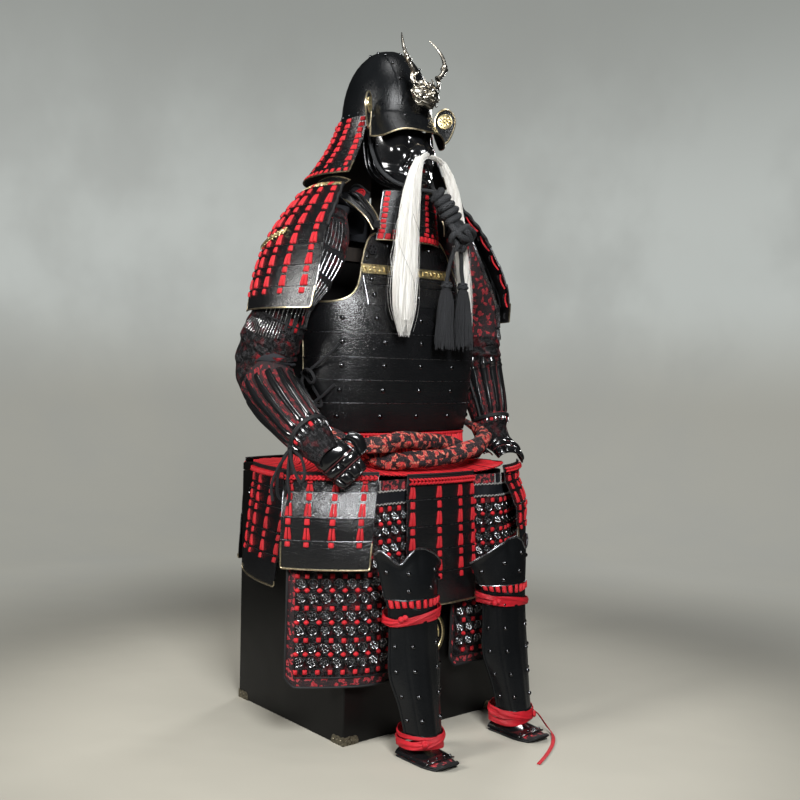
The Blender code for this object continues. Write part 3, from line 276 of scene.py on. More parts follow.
class Piece:
    """Gathers many small surfaces into one mesh, with a UV map in metres."""

    def __init__(self, name):
        self.name, self.V, self.faces, self.n, self.slots = name, [], [], 0, []

    def m(self, mat):
        if mat not in self.slots:
            self.slots.append(mat)
        return self.slots.index(mat)

    def verts(self, P):
        P = np.asarray(P, float).reshape(-1, 3)
        base = self.n
        self.V.append(P)
        self.n += len(P)
        return base

    def weave(self, idx, uv, mat):
        q = np.stack([idx[:-1, :-1], idx[:-1, 1:], idx[1:, 1:], idx[1:, :-1]], -1).reshape(-1, 4)
        w = np.stack([uv[:-1, :-1], uv[:-1, 1:], uv[1:, 1:], uv[1:, :-1]], -2).reshape(-1, 4, 2)
        if callable(mat):            # a material chosen face by face from its row and column
            r, c = idx.shape[0] - 1, idx.shape[1] - 1
            k = np.array([self.m(mat(i, j)) for i in range(r) for j in range(c)])
        else:
            k = self.m(mat)
        self.faces.append((q, w, k))

    def grid(self, P, mat, wrap=False, closed=False, uv=None):
        P = np.asarray(P, float)
        R, C, _ = P.shape
        idx = self.verts(P) + np.arange(R * C).reshape(R, C)
        if wrap:
            idx = np.concatenate([idx, idx[:, :1]], 1)
        if closed:
            idx = np.concatenate([idx, idx[:1]], 0)
        if uv is None:
            row = P[R // 2]
            row = np.concatenate([row, row[:1]]) if wrap else row
            col = P[:, C // 2]
            col = np.concatenate([col, col[:1]]) if closed else col
            u = np.concatenate([[0], np.cumsum(np.linalg.norm(np.diff(row, axis=0), axis=1))])
            v = np.concatenate([[0], np.cumsum(np.linalg.norm(np.diff(col, axis=0), axis=1))])
            U, W = np.meshgrid(u, v)
            uv = np.stack([U, W], -1)
        self.weave(idx, uv, mat)
        return idx

    def strip(self, a, b, mat):
        idx = np.stack([a, b])
        k = len(a)
        uv = np.stack([np.stack([np.arange(k) * 0.002, np.zeros(k)], -1), np.stack([np.arange(k) * 0.002, np.full(k, 0.002)], -1)])
        self.weave(idx, uv, mat)

    def fan(self, loop, centre, mat):
        c = self.verts(centre)
        a = np.asarray(loop)
        b = np.roll(a, -1)
        t = np.stack([a, b, np.full(len(a), c)], -1)
        self.faces.append((t, np.zeros((len(a), 3, 2)) + 0.001, self.m(mat)))

    def shell(self, P, mat, thick=PLATE, ref=(0.0, 0.18, None), wrap=False, back=None, edge=None):
        """A wall: P is its outer face, thick its depth towards ref."""
        P = np.asarray(P, float)
        du = np.roll(P, -1, 1) - np.roll(P, 1, 1) if wrap else np.gradient(P, axis=1)
        dv = np.gradient(P, axis=0)
        N = np.cross(du, dv)
        N = N / np.maximum(np.linalg.norm(N, axis=2, keepdims=True), 1e-12)
        r = np.array([P[..., 2].mean() if c is None else c for c in ref], float)
        if (N * (P - r)).sum() < 0:
            N = -N
        a = self.grid(P, mat, wrap)
        b = self.grid(P - N * thick, back or mat, wrap)
        e = edge or mat
        self.strip(a[0], b[0], e)
        self.strip(a[-1], b[-1], e)
        if not wrap:
            self.strip(a[:, 0], b[:, 0], e)
            self.strip(a[:, -1], b[:, -1], e)
        return a, b, N

    def sweep(self, pts, prof, mat, nrm=None, scale=None, closed=False, caps=True, turnby=None):
        """A profile carried along a line: prof has its offsets sideways and along the normal."""
        pts = np.asarray(pts, float)
        prof = np.asarray(prof, float)
        n = len(pts)
        if closed:
            T = np.roll(pts, -1, 0) - np.roll(pts, 1, 0)
        else:
            T = np.gradient(pts, axis=0)
        T = T / np.maximum(np.linalg.norm(T, axis=1, keepdims=True), 1e-12)
        if nrm is None:
            v = np.array([0.0, 0.0, 1.0]) if abs(T[0][2]) < 0.9 else np.array([1.0, 0.0, 0.0])
            Ns = []
            for i in range(n):
                v = unit(v - T[i] * v.dot(T[i]))
                Ns.append(v)
            Ns = np.array(Ns)
        else:
            Ns = np.broadcast_to(np.asarray(nrm, float), (n, 3))
            Ns = Ns - T * (Ns * T).sum(1, keepdims=True)
            Ns = Ns / np.maximum(np.linalg.norm(Ns, axis=1, keepdims=True), 1e-12)
        S = np.cross(T, Ns)
        sc = np.ones(n) if scale is None else np.asarray(scale, float)
        if sc.ndim == 1:
            sc = np.stack([sc, sc], 1)
        pr = np.broadcast_to(prof, (n, *prof.shape)).copy() * sc[:, None, :]
        if turnby is not None:
            c, s = np.cos(turnby)[:, None], np.sin(turnby)[:, None]
            pr = np.stack([pr[..., 0] * c - pr[..., 1] * s, pr[..., 0] * s + pr[..., 1] * c], -1)
        P = pts[:, None, :] + S[:, None, :] * pr[..., :1] + Ns[:, None, :] * pr[..., 1:]
        idx = self.grid(P, mat, wrap=True, closed=closed)
        if caps and not closed:
            self.fan(idx[0][:-1], pts[0], mat)
            self.fan(idx[-1][:-1], pts[-1], mat)
        return idx

    def tube(self, pts, r, mat, k=8, **kw):
        return self.sweep(pts, ring(k, r), mat, **kw)

    def dome(self, c, n, r, h, mat, k=10, rings=3):
        n = unit(n)
        a = unit(np.cross(n, (0.3, 0.2, 1.0) if abs(n[2]) < 0.9 else (1.0, 0.0, 0.0)))
        b = np.cross(n, a)
        P = []
        for j in range(rings + 1):
            q = (pi / 2) * j / (rings + 1) if j else 0.0
            P.append([np.asarray(c) + (a * cos(t) + b * sin(t)) * r * cos(q) + n * (h * sin(q) - (0.0006 if j == 0 else 0)) for t in turn(k)])
        idx = self.grid(np.array(P), mat, wrap=True)
        self.fan(idx[-1][:-1], np.asarray(c) + n * h, mat)

    def rivet(self, fn, u, w, mat, r=0.0040, h=0.0030, k=10):
        p, _, _, n, _, _ = frame_at(fn, u, w)
        self.dome(p, n, r, h, mat, k)

    def pad(self, fn, u, w0, w1, a0, a1, h, mat, lobes=1, gap=0.0009, base=0.0, splay=1.0):
        """Laced cord lying on a surface from w0 to w1, a0 wide at w0 and a1 at w1, in metres."""
        _, _, _, _, lu, lw = frame_at(fn, u, (w0 + w1) / 2)
        length = abs(w1 - w0) * lw
        for k in range(lobes):
            mid = k - (lobes - 1) / 2
            P, UV = [], []
            for t in PAD_T:
                a = a0 + (a1 - a0) * t
                half = (a / lobes - gap) / 2
                end = (1 - abs(2 * t - 1) ** 6) ** 0.5
                row, ur = [], []
                for s in PAD_S:
                    o = h * end * (1 - abs(s) ** 3.2) ** 0.5 - 0.0006
                    off = mid * a / lobes * splay + s * half * (0.80 + 0.20 * end)
                    row.append(fn(u + off / lu, w0 + (w1 - w0) * t, base + o))
                    ur.append((s * half, t * length))
                P.append(row)
                UV.append(ur)
            self.grid(np.array(P), mat, uv=np.array(UV))

    def done(self, *nodes, slot=None, smooth=42, stage=False, recalc=True):
        V = np.concatenate(self.V)
        V[:, 1] -= OY
        quads = [f for f in self.faces if f[0].shape[1] == 4]
        tris = [f for f in self.faces if f[0].shape[1] == 3]
        polys, uvs, mats = [], [], []
        for q, w, k in quads + tris:
            polys += q.tolist()
            uvs.append(w.reshape(-1, 2))
            mats.append(k if isinstance(k, np.ndarray) else np.full(len(q), k))
        me = bpy.data.meshes.new(self.name)
        me.from_pydata(V.tolist(), [], polys)
        layer = me.uv_layers.new(name="real")
        layer.data.foreach_set("uv", np.concatenate(uvs).astype(np.float32).ravel())
        me.polygons.foreach_set("material_index", np.concatenate(mats).astype(np.int32))
        for s in self.slots:
            me.materials.append(s)
        if recalc:
            bm = bmesh.new()
            bm.from_mesh(me)
            bmesh.ops.recalc_face_normals(bm, faces=bm.faces)
            bm.to_mesh(me)
            bm.free()
        me.shade_smooth()
        me.set_sharp_from_angle(angle=radians(smooth))
        ob = bpy.data.objects.new(self.name, me)
        bpy.context.scene.collection.objects.link(ob)
        if stage:
            return ob
        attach(ob, "root")
        if nodes:
            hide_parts(*nodes)
        return ob


# ------------------------------------------------------------------ materials
class Mat:
    """A Principled material with procedural colour, roughness and bump."""

    def __init__(self, name, base, rough, metal=0.0, **sockets):
        self.mat = bpy.data.materials.new(name)
        self.mat.use_nodes = True
        self.nt = self.mat.node_tree
        self.b = self.nt.nodes["Principled BSDF"]
        self.b.inputs["Base Color"].default_value = (*base, 1.0)
        self.b.inputs["Roughness"].default_value = rough
        self.b.inputs["Metallic"].default_value = metal
        for k, v in sockets.items():
            self.b.inputs[k.replace("_", " ")].default_value = v
        self.last = None

    def put(self, socket, value):
        if isinstance(value, bpy.types.NodeSocket):
            self.nt.links.new(value, socket)
        elif isinstance(value, tuple) and len(value) == 3 and socket.type == "RGBA":
            socket.default_value = (*value, 1.0)
        else:
            socket.default_value = value

    def obj(self, scale=(1, 1, 1)):
        t = self.nt.nodes.new("ShaderNodeTexCoord").outputs["Object"]
        return t if scale == (1, 1, 1) else self.vmath("MULTIPLY", t, scale)

    def uv(self, scale=(1, 1, 1)):
        n = self.nt.nodes.new("ShaderNodeUVMap")
        n.uv_map = "real"
        return n.outputs[0] if scale == (1, 1, 1) else self.vmath("MULTIPLY", n.outputs[0], scale)

    def vmath(self, op, a, b):
        n = self.nt.nodes.new("ShaderNodeVectorMath")
        n.operation = op
        self.put(n.inputs[0], a)
        self.put(n.inputs[1], b)
        return n.outputs[0]

    def math(self, op, a, b=0.0, c=0.0, clamp=False):
        n = self.nt.nodes.new("ShaderNodeMath")
        n.operation, n.use_clamp = op, clamp
        for i, v in enumerate((a, b, c)):
            self.put(n.inputs[i], v)
        return n.outputs[0]

    def noise(self, vec, scale, detail=2.0, rough=0.5, colour=False):
        n = self.nt.nodes.new("ShaderNodeTexNoise")
        self.put(n.inputs["Vector"], vec)
        n.inputs["Scale"].default_value, n.inputs["Detail"].default_value, n.inputs["Roughness"].default_value = scale, detail, rough
        return n.outputs["Color" if colour else "Fac"]

    def cells(self, vec, scale, feature="F1", random=1.0, out="Distance", dims="3D"):
        n = self.nt.nodes.new("ShaderNodeTexVoronoi")
        n.feature, n.voronoi_dimensions = feature, dims
        self.put(n.inputs["Vector"], vec)
        n.inputs["Scale"].default_value = scale
        n.inputs["Randomness"].default_value = random
        return n.outputs[out]

    def mix(self, fac, a, b):
        n = self.nt.nodes.new("ShaderNodeMix")
        n.data_type = "RGBA"
        self.put(n.inputs[0], fac)
        self.put(n.inputs[6], a)
        self.put(n.inputs[7], b)
        return n.outputs[2]

    def steps(self, v, lo, hi, a=0.0, b=1.0):
        n = self.nt.nodes.new("ShaderNodeMapRange")
        n.interpolation_type = "SMOOTHSTEP"
        self.put(n.inputs[0], v)
        for i, x in enumerate((lo, hi, a, b)):
            n.inputs[i + 1].default_value = x
        return n.outputs[0]

    def split(self, vec):
        n = self.nt.nodes.new("ShaderNodeSeparateXYZ")
        self.put(n.inputs[0], vec)
        return n.outputs

    def bump(self, height, strength, distance):
        n = self.nt.nodes.new("ShaderNodeBump")
        n.inputs["Strength"].default_value, n.inputs["Distance"].default_value = strength, distance
        self.put(n.inputs["Height"], height)
        if self.last is not None:
            self.put(n.inputs["Normal"], self.last)
        self.last = n.outputs[0]
        self.put(self.b.inputs["Normal"], self.last)

    def base(self, v):
        self.put(self.b.inputs["Base Color"], v)

    def rough(self, v):
        self.put(self.b.inputs["Roughness"], v)


def lacquer(name, colour, rough, grain, depth, scale=520.0, coat=0.0, wear=0.35, ior_level=0.5):
    m = Mat(name, colour, rough, Coat_Weight=coat, Coat_Roughness=0.18, Specular_IOR_Level=ior_level)
    o = m.obj()
    soft = m.noise(o, 7.0, 3.0)
    fine = m.noise(o, scale, 1.5)
    m.base(m.mix(m.steps(soft, 0.3, 0.75), colour, tuple(c * (1 + wear) + 0.0012 for c in colour)))
    m.rough(m.math("ADD", m.math("MULTIPLY", m.noise(o, 22.0, 4.0), 0.16), rough - 0.08))
    if grain:
        m.bump(fine, grain, depth)
    scratches = m.noise(m.obj((60.0, 60.0, 9.0)), 6.0, 3.0)
    m.bump(scratches, 0.05, 0.0006)
    return m.mat


LACQUER = lacquer("lacquer_black", (0.0038, 0.0040, 0.0045), 0.25, 0.90, 0.0012, 400.0, ior_level=0.95)
LACQUER_IN = lacquer("lacquer_inside", (0.006, 0.0055, 0.0055), 0.50, 0.25, 0.0006, 300.0)
HELMET_BLACK = lacquer("lacquer_helmet", (0.0040, 0.0046, 0.0052), 0.26, 0.60, 0.0009, 480.0, ior_level=0.30)
SHIN_BLACK = lacquer("lacquer_shin", (0.0040, 0.0045, 0.0050), 0.23, 0.45, 0.0008, 460.0, ior_level=0.40)
GLOSS = lacquer("lacquer_gloss", (0.0050, 0.0052, 0.0058), 0.11, 0.03, 0.0010, 60.0, coat=0.9)
RODS = lacquer("lacquer_rod", (0.0060, 0.0062, 0.0068), 0.12, 0.03, 0.0005, 90.0, coat=1.0, ior_level=1.0)
CHEST = lacquer("chest_lacquer", (0.0030, 0.0029, 0.0026), 0.36, 0.10, 0.0006, 160.0, wear=0.5, ior_level=0.32)
CHEST_IN = lacquer("chest_inside", (0.030, 0.022, 0.016), 0.7, 0.2, 0.0006, 160.0)


def silk(name, colour, dark, rough=0.62, pitch=0.0021, sheen=0.35):
    """Flat braided silk: little V-shaped turns along the cord, with painted shade in the hollows between them."""
    m = Mat(name, colour, rough, Sheen_Weight=sheen, Sheen_Roughness=0.45)
    m.b.inputs["Sheen Tint"].default_value = (*[min(1.0, c * 1.5 + 0.1) for c in colour], 1.0)
    x, y, _ = m.split(m.uv())
    vee = m.math("ADD", m.math("MULTIPLY", m.math("ABSOLUTE", x), 0.9), y)
    w = m.math("SINE", m.math("MULTIPLY", vee, 2 * pi / pitch))
    ribs = m.math("SINE", m.math("MULTIPLY", x, 2 * pi / 0.0026))
    h = m.math("ADD", m.math("MULTIPLY", w, 0.6), m.math("MULTIPLY", ribs, 0.4))
    o = m.obj()
    blotch = m.steps(m.noise(o, 55.0, 3.0), 0.25, 0.75)
    fibre = m.noise(m.obj((1.0, 1.0, 1.0)), 900.0, 2.0)
    base = m.mix(m.math("MULTIPLY", blotch, 0.45), colour, dark)
    # painted shade: the braid's hollows are painted towards the dark colour, which also gives the random blotches
    m.base(m.mix(m.steps(h, -0.9, 0.1, 0.55, 0.0), base, dark))
    m.bump(h, 0.55, 0.0005)
    m.bump(fibre, 0.25, 0.0003)
    return m.mat


RED = (0.680, 0.010, 0.020)
LACE = silk("silk_red", RED, (0.300, 0.006, 0.010), sheen=0.06)
LACE_FLAT = silk("ribbon_red", (0.660, 0.009, 0.022), (0.340, 0.005, 0.012), rough=0.50, pitch=0.0012, sheen=0.06)


def ribbed(name):
    """Red suspension lacing: fine cords side by side, running down."""
    m = Mat(name, RED, 0.62, Sheen_Weight=0.06, Sheen_Roughness=0.45)
    m.b.inputs["Sheen Tint"].default_value = (1.0, 0.2, 0.2, 1.0)
    x, y, _ = m.split(m.uv())
    twist = m.math("SINE", m.math("ADD", m.math("MULTIPLY", y, 2 * pi / 0.0042), m.math("MULTIPLY", x, 2 * pi / 0.0030)))
    fibre = m.noise(m.obj(), 700.0, 2.0)
    blotch = m.steps(m.noise(m.obj(), 40.0, 3.0), 0.3, 0.8)
    m.base(m.mix(m.math("MULTIPLY", blotch, 0.4), (0.80, 0.022, 0.032), (0.55, 0.014, 0.022)))
    m.bump(twist, 0.35, 0.0004)
    m.bump(fibre, 0.2, 0.0003)
    return m.mat


LACE_RIB = ribbed("silk_red_ribbed")


def metal(name, colour, dark, rough, bump=0.3, depth=0.0006, scale=240.0):
    m = Mat(name, colour, rough, 1.0)
    o = m.obj()
    grime = m.steps(m.noise(o, 190.0, 4.0, 0.65), 0.42, 0.70)
    m.base(m.mix(grime, colour, dark))
    m.rough(m.math("ADD", m.math("MULTIPLY", m.noise(o, 90.0, 3.0), 0.25), rough - 0.1))
    m.bump(m.noise(o, scale, 3.0), bump, depth)
    return m.mat


GOLD = metal("rim_gold", (0.86, 0.74, 0.50), (0.42, 0.33, 0.19), 0.30, 0.15, 0.0003)
GOLD_RELIEF = metal("relief_gold", (0.98, 0.84, 0.48), (0.42, 0.29, 0.10), 0.34, 0.3, 0.0005)
SILVER = metal("crest_silver", (0.62, 0.58, 0.50), (0.16, 0.14, 0.11), 0.27, 0.35, 0.0006)
RIVET = metal("rivet_iron", (0.120, 0.122, 0.128), (0.050, 0.051, 0.054), 0.16, 0.05, 0.0002)
BRONZE = metal("fitting_bronze", (0.300, 0.270, 0.200), (0.080, 0.070, 0.050), 0.42, 0.4, 0.0006)
# pale metal for the thin light lines along lacquered edges: a painted highlight of the light the black edges catch,
# with a dimmer copy
EDGE = metal("edge_painted_highlight", (0.300, 0.305, 0.320), (0.060, 0.060, 0.066), 0.26, 0.15, 0.0003)
EDGE_DIM = metal("edge_painted_highlight_dim", (0.085, 0.087, 0.093), (0.020, 0.020, 0.022), 0.30, 0.15, 0.0003)


def brocade(name, ground, line, red, pink, size=30.0, more=0.0, rough=0.80, sheen=0.0):
    """Figured silk: ragged flowers and running scrolls on a dark ground."""
    m = Mat(name, ground, rough, Sheen_Weight=sheen, Sheen_Roughness=0.5)
    uv = m.uv()
    ragged = m.noise(uv, size * 9.0, 2.0)
    bend = m.vmath("SUBTRACT", m.noise(uv, size * 1.1, 2.0, colour=True), (0.5, 0.5, 0.5))
    at = m.vmath("ADD", uv, m.vmath("MULTIPLY", bend, (0.026, 0.026, 0.0)))
    flower = m.cells(at, size, "F1", 0.75, dims="2D")
    petal = m.cells(at, size * 3.6, "F1", 0.9, dims="2D")
    body = m.math("ADD", flower, m.math("MULTIPLY", m.math("SUBTRACT", petal, 0.4), 0.30))
    flowers = m.steps(m.math("ADD", body, m.math("MULTIPLY", ragged, 0.12)), 0.36 + more, 0.31 + more)
    swirl = m.noise(at, size * 1.35, 1.5)
    fold = m.math("ABSOLUTE", m.math("SINE", m.math("MULTIPLY", swirl, 46.0)))
    scroll = m.steps(m.math("ADD", fold, m.math("MULTIPLY", m.math("SUBTRACT", ragged, 0.5), 0.5)), 0.34, 0.20)
    edge = m.math("MULTIPLY", m.steps(body, 0.46, 0.40), m.steps(body, 0.34, 0.40))
    speck = m.steps(m.noise(uv, 620.0, 2.0), 0.36, 0.62)
    lines = m.mix(m.math("MULTIPLY", scroll, m.math("MULTIPLY", speck, 0.85)), ground, line)
    hot = m.mix(m.steps(petal, 0.12, 0.42), pink, red)
    hot = m.mix(m.math("MULTIPLY", m.steps(fold, 0.62, 0.86), 0.5), hot, ground)
    col = m.mix(m.math("MULTIPLY", flowers, m.math("ADD", m.math("MULTIPLY", speck, 0.35), 0.65)), lines, hot)
    m.base(m.mix(m.math("MULTIPLY", edge, 0.7), col, tuple(c * 0.4 for c in ground)))
    x, y, _ = m.split(uv)
    w = m.math("MULTIPLY", m.math("SINE", m.math("MULTIPLY", x, 2 * pi / 0.0011)), m.math("SINE", m.math("MULTIPLY", y, 2 * pi / 0.0011)))
    m.bump(m.math("ADD", m.math("MULTIPLY", flowers, 1.5), scroll), 0.45, 0.0006)
    m.bump(w, 0.35, 0.0003)
    return m.mat


BROCADE = brocade("brocade_sleeve", (0.0065, 0.0050, 0.0062), (0.150, 0.020, 0.026), (0.340, 0.012, 0.020), (0.480, 0.040, 0.050), 56.0)
BROCADE_EDGE = brocade("brocade_border", (0.0100, 0.0070, 0.0080), (0.190, 0.034, 0.040), (0.560, 0.020, 0.034), (0.640, 0.110, 0.120), 66.0, 0.05)
BROCADE_SASH = brocade("brocade_sash", (0.0085, 0.0062, 0.0075), (0.260, 0.100, 0.105), (0.760, 0.060, 0.055), (0.860, 0.300, 0.200), 54.0, 0.05)


def mail(name, ground, bright, red=0.0, pitch=330.0):
    """Fine knotted mail cloth: small dark rings with light on their edges."""
    m = Mat(name, ground, 0.55, 0.30, Specular_IOR_Level=0.25)
    uv = m.uv()
    cell = m.cells(uv, pitch, "F1", 0.80, dims="2D")
    rim = m.math("MULTIPLY", m.steps(cell, 0.16, 0.32), m.steps(cell, 0.60, 0.42))
    clump = m.steps(m.noise(uv, pitch * 0.42, 3.0), 0.42, 0.60)
    tint = m.steps(m.noise(m.obj(), 60.0, 3.0), 0.52, 0.62)
    base = m.mix(m.math("MULTIPLY", rim, m.math("ADD", m.math("MULTIPLY", clump, 0.85), 0.15)), ground, bright)
    m.base(m.mix(m.math("MULTIPLY", tint, red), base, (0.34, 0.012, 0.020)))
    m.bump(rim, 0.9, 0.0022)
    m.bump(clump, 0.7, 0.0022)
    return m.mat


MAIL = mail("mail_cloth", (0.0020, 0.0020, 0.0025), (0.060, 0.059, 0.062), 0.16, 210.0)
MAIL_RED = mail("mail_cloth_red", (0.0050, 0.0030, 0.0036), (0.080, 0.050, 0.050), 0.62, 210.0)


def cordstuff(name, colour, light, pitch=0.0034, rough=0.80, strength=0.9):
    """Round braided cord: crossing diagonal strands, their raised crests painted lighter as a painted highlight."""
    m = Mat(name, colour, rough)
    x, y, _ = m.split(m.uv())
    a = m.math("SINE", m.math("MULTIPLY", m.math("ADD", x, y), 2 * pi / pitch))
    b = m.math("SINE", m.math("MULTIPLY", m.math("SUBTRACT", x, y), 2 * pi / pitch))
    h = m.math("MAXIMUM", a, b)
    # painted highlight and shade: the crests of the strands take the light colour, the hollows between them the dark
    # one
    m.base(m.mix(m.steps(h, 0.2, 1.0), colour, light))
    m.bump(h, strength, 0.0008)
    m.bump(m.noise(m.obj(), 800.0, 2.0), 0.3, 0.0003)
    return m.mat


CORD = cordstuff("cord_charcoal", (0.0060, 0.0063, 0.0070), (0.052, 0.055, 0.060), 0.0046, 0.80, 1.3)
CORD_BLACK = cordstuff("cord_black", (0.0035, 0.0035, 0.0042), (0.018, 0.018, 0.021), 0.0022)
TASSEL_MAT = cordstuff("tassel_charcoal", (0.0075, 0.0078, 0.0086), (0.055, 0.057, 0.062), 0.0018)
WHITE_THREAD = cordstuff("thread_white", (0.62, 0.60, 0.57), (0.80, 0.78, 0.75), 0.0014)


def cloth(name, colour, light, rough=0.8, pitch=0.0011, sheen=0.0, folds=0.0):
    m = Mat(name, colour, rough, Sheen_Weight=sheen, Sheen_Roughness=0.4)
    x, y, _ = m.split(m.uv())
    w = m.math("MULTIPLY", m.math("SINE", m.math("MULTIPLY", x, 2 * pi / pitch)), m.math("SINE", m.math("MULTIPLY", y, 2 * pi / pitch)))
    o = m.obj()
    m.base(m.mix(m.steps(m.noise(o, 28.0, 3.0), 0.3, 0.8), colour, light))
    m.bump(w, 0.35, 0.0003)
    m.bump(m.noise(o, 60.0, 3.0), 0.25 + folds, 0.0016)
    return m.mat


SATIN = cloth("satin_black", (0.0070, 0.0080, 0.0105), (0.0150, 0.0170, 0.0215), 0.34, 0.0008, 0.0, 0.25)
HEMP = cloth("hemp_dark", (0.0100, 0.0110, 0.0140), (0.0170, 0.0190, 0.0240), 0.85)
COLLAR_MAT = cloth("collar_cloth", (0.0065, 0.0075, 0.0105), (0.0130, 0.0150, 0.0200), 0.75)
PIPING = cloth("piping_black", (0.0035, 0.0036, 0.0042), (0.0095, 0.0098, 0.0110), 0.6, 0.0014)


def hair(name, a, b):
    m = Mat(name, a, 0.42, Sheen_Weight=0.3, Sheen_Roughness=0.3)
    m.b.inputs["Subsurface Weight"].default_value = 0.0
    o = m.obj((260.0, 260.0, 6.0))
    m.base(m.mix(m.steps(m.noise(o, 1.0, 3.0), 0.25, 0.75), a, b))
    m.bump(m.noise(m.obj((900.0, 900.0, 20.0)), 1.0, 2.0), 0.3, 0.0004)
    return m.mat


HAIR = hair("hair_white", (0.93, 0.92, 0.885), (0.76, 0.735, 0.68))
HAIR_DARK = hair("hair_dark", (0.030, 0.030, 0.032), (0.015, 0.015, 0.016))


def wood(name, a, b):
    m = Mat(name, a, 0.6)
    v = m.noise(m.obj((40.0, 40.0, 5.0)), 3.0, 4.0)
    m.base(m.mix(m.steps(v, 0.3, 0.7), a, b))
    m.bump(v, 0.2, 0.0006)
    return m.mat


STAND_WOOD = wood("stand_wood_dark", (0.0110, 0.0080, 0.0060), (0.0200, 0.0140, 0.0100))
MOUTH = Mat("mouth_red", (0.16, 0.008, 0.008), 0.35).mat

# ------------------------------------------------------------ floor and light
# One sweep of backdrop: a pale floor that turns up into a soft mottled wall all round, its tones painted light.
SWEEP_FLAT, SWEEP_TURN, SWEEP_TOP = 2.2, 1.3, 4.4
sweep = Mat("backdrop_sweep", (0.40, 0.39, 0.36), 0.85)
ox, oy, oz = sweep.split(sweep.obj())
flat_r = sweep.math("SQRT", sweep.math("ADD", sweep.math("MULTIPLY", ox, ox), sweep.math("MULTIPLY", oy, oy)))
# painted pool of light on the floor: pale under the chest, darker in a ring round it
painted_light_pool = sweep.mix(sweep.steps(flat_r, 0.60, 1.25), (0.440, 0.420, 0.355), (0.235, 0.228, 0.195))
cloud = sweep.noise(sweep.obj((0.9, 0.9, 0.7)), 1.5, 4.0, 0.55)
spread = sweep.steps(cloud, 0.36, 0.68)
# further out the floor's colour fades to dark, leaving the wall's tone to its painted glow
far = sweep.steps(flat_r, 0.95, 2.1)
sweep.base(sweep.mix(far, painted_light_pool, (0.12, 0.12, 0.115)))
# painted light on the wall: darker at its foot, lightest at middle height, darker again towards the top, with random
# mottling
wall = sweep.mix(sweep.steps(oz, 0.55, 1.25), (0.250, 0.248, 0.215), (0.400, 0.425, 0.405))
wall = sweep.mix(sweep.steps(oz, 1.5, 2.9), wall, (0.225, 0.238, 0.222))
wall = sweep.mix(sweep.math("MULTIPLY", spread, 0.40), wall, (0.215, 0.222, 0.208))
# the wall glows with this painted light for the camera, though it is no lamp
sweep.b.inputs["Emission Strength"].default_value = 1.0
sweep.put(sweep.b.inputs["Emission Color"], sweep.mix(far, (0.0, 0.0, 0.0), wall))
sweep.bump(sweep.noise(sweep.obj((1.0, 1.0, 0.35)), 2.2, 3.0), 0.25, 0.05)
sweep.bump(sweep.noise(sweep.obj(), 90.0, 3.0), 0.06, 0.001)
# every other ray meets a plain diffuse instead, pale near the chest and almost black further out, so the wall shows
# dark in reflections
dim = sweep.nt.nodes.new("ShaderNodeBsdfDiffuse")
sweep.put(dim.inputs["Color"], sweep.mix(sweep.steps(flat_r, 0.7, 1.6), (0.28, 0.27, 0.24), (0.025, 0.025, 0.025)))
both = sweep.nt.nodes.new("ShaderNodeMixShader")
sight = sweep.nt.nodes.new("ShaderNodeLightPath")
sweep.put(both.inputs[0], sight.outputs["Is Camera Ray"])
sweep.put(both.inputs[1], dim.outputs[0])
sweep.put(both.inputs[2], sweep.b.outputs[0])
sweep.put(sweep.nt.nodes["Material Output"].inputs[0], both.outputs[0])

profile = [(0.001, 0.0), (0.35, 0.0), (0.7, 0.0), (1.1, 0.0), (1.6, 0.0), (SWEEP_FLAT, 0.0)]
profile += [(SWEEP_FLAT + SWEEP_TURN * sin(q), SWEEP_TURN * (1 - cos(q))) for q in [pi / 2 * k / 16 for k in range(1, 17)]]
profile += [(SWEEP_FLAT + SWEEP_TURN, SWEEP_TURN + (SWEEP_TOP - SWEEP_TURN) * k / 4) for k in range(1, 5)]
TURNS = 128
verts = [(r * cos(2 * pi * k / TURNS), r * sin(2 * pi * k / TURNS), z) for r, z in profile for k in range(TURNS)]
faces = [(i * TURNS + k, i * TURNS + (k + 1) % TURNS, (i + 1) * TURNS + (k + 1) % TURNS, (i + 1) * TURNS + k) for i in range(len(profile) - 1) for k in range(TURNS)]
faces.append(tuple(range(TURNS - 1, -1, -1)))
me = bpy.data.meshes.new("floor")
me.from_pydata(verts, [], faces)
me.materials.append(sweep.mat)
bm = bmesh.new()
bm.from_mesh(me)
bmesh.ops.recalc_face_normals(bm, faces=bm.faces)
bmesh.ops.reverse_faces(bm, faces=bm.faces)
bm.to_mesh(me)
bm.free()
me.shade_smooth()
floor = bpy.data.objects.new("floor", me)
bpy.context.scene.collection.objects.link(floor)

world = bpy.data.worlds.new("studio")
world.use_nodes = True
world.node_tree.nodes["Background"].inputs[0].default_value = (0.95, 0.98, 1.0, 1.0)
world.node_tree.nodes["Background"].inputs[1].default_value = 0.05
bpy.context.scene.world = world
bpy.context.scene.view_settings.view_transform = "Standard"


def softbox(name, at, to, size, power, colour=(1.0, 1.0, 1.0), tall=None):
    d = bpy.data.lights.new(name, "AREA")
    d.shape = "RECTANGLE"
    d.size, d.size_y = size, tall or size
    d.energy, d.color = power, colour
    ob = bpy.data.objects.new(name, d)
    ob.location = at
    ob.rotation_euler = (Vector(to) - Vector(at)).to_track_quat("-Z", "Y").to_euler()
    bpy.context.scene.collection.objects.link(ob)


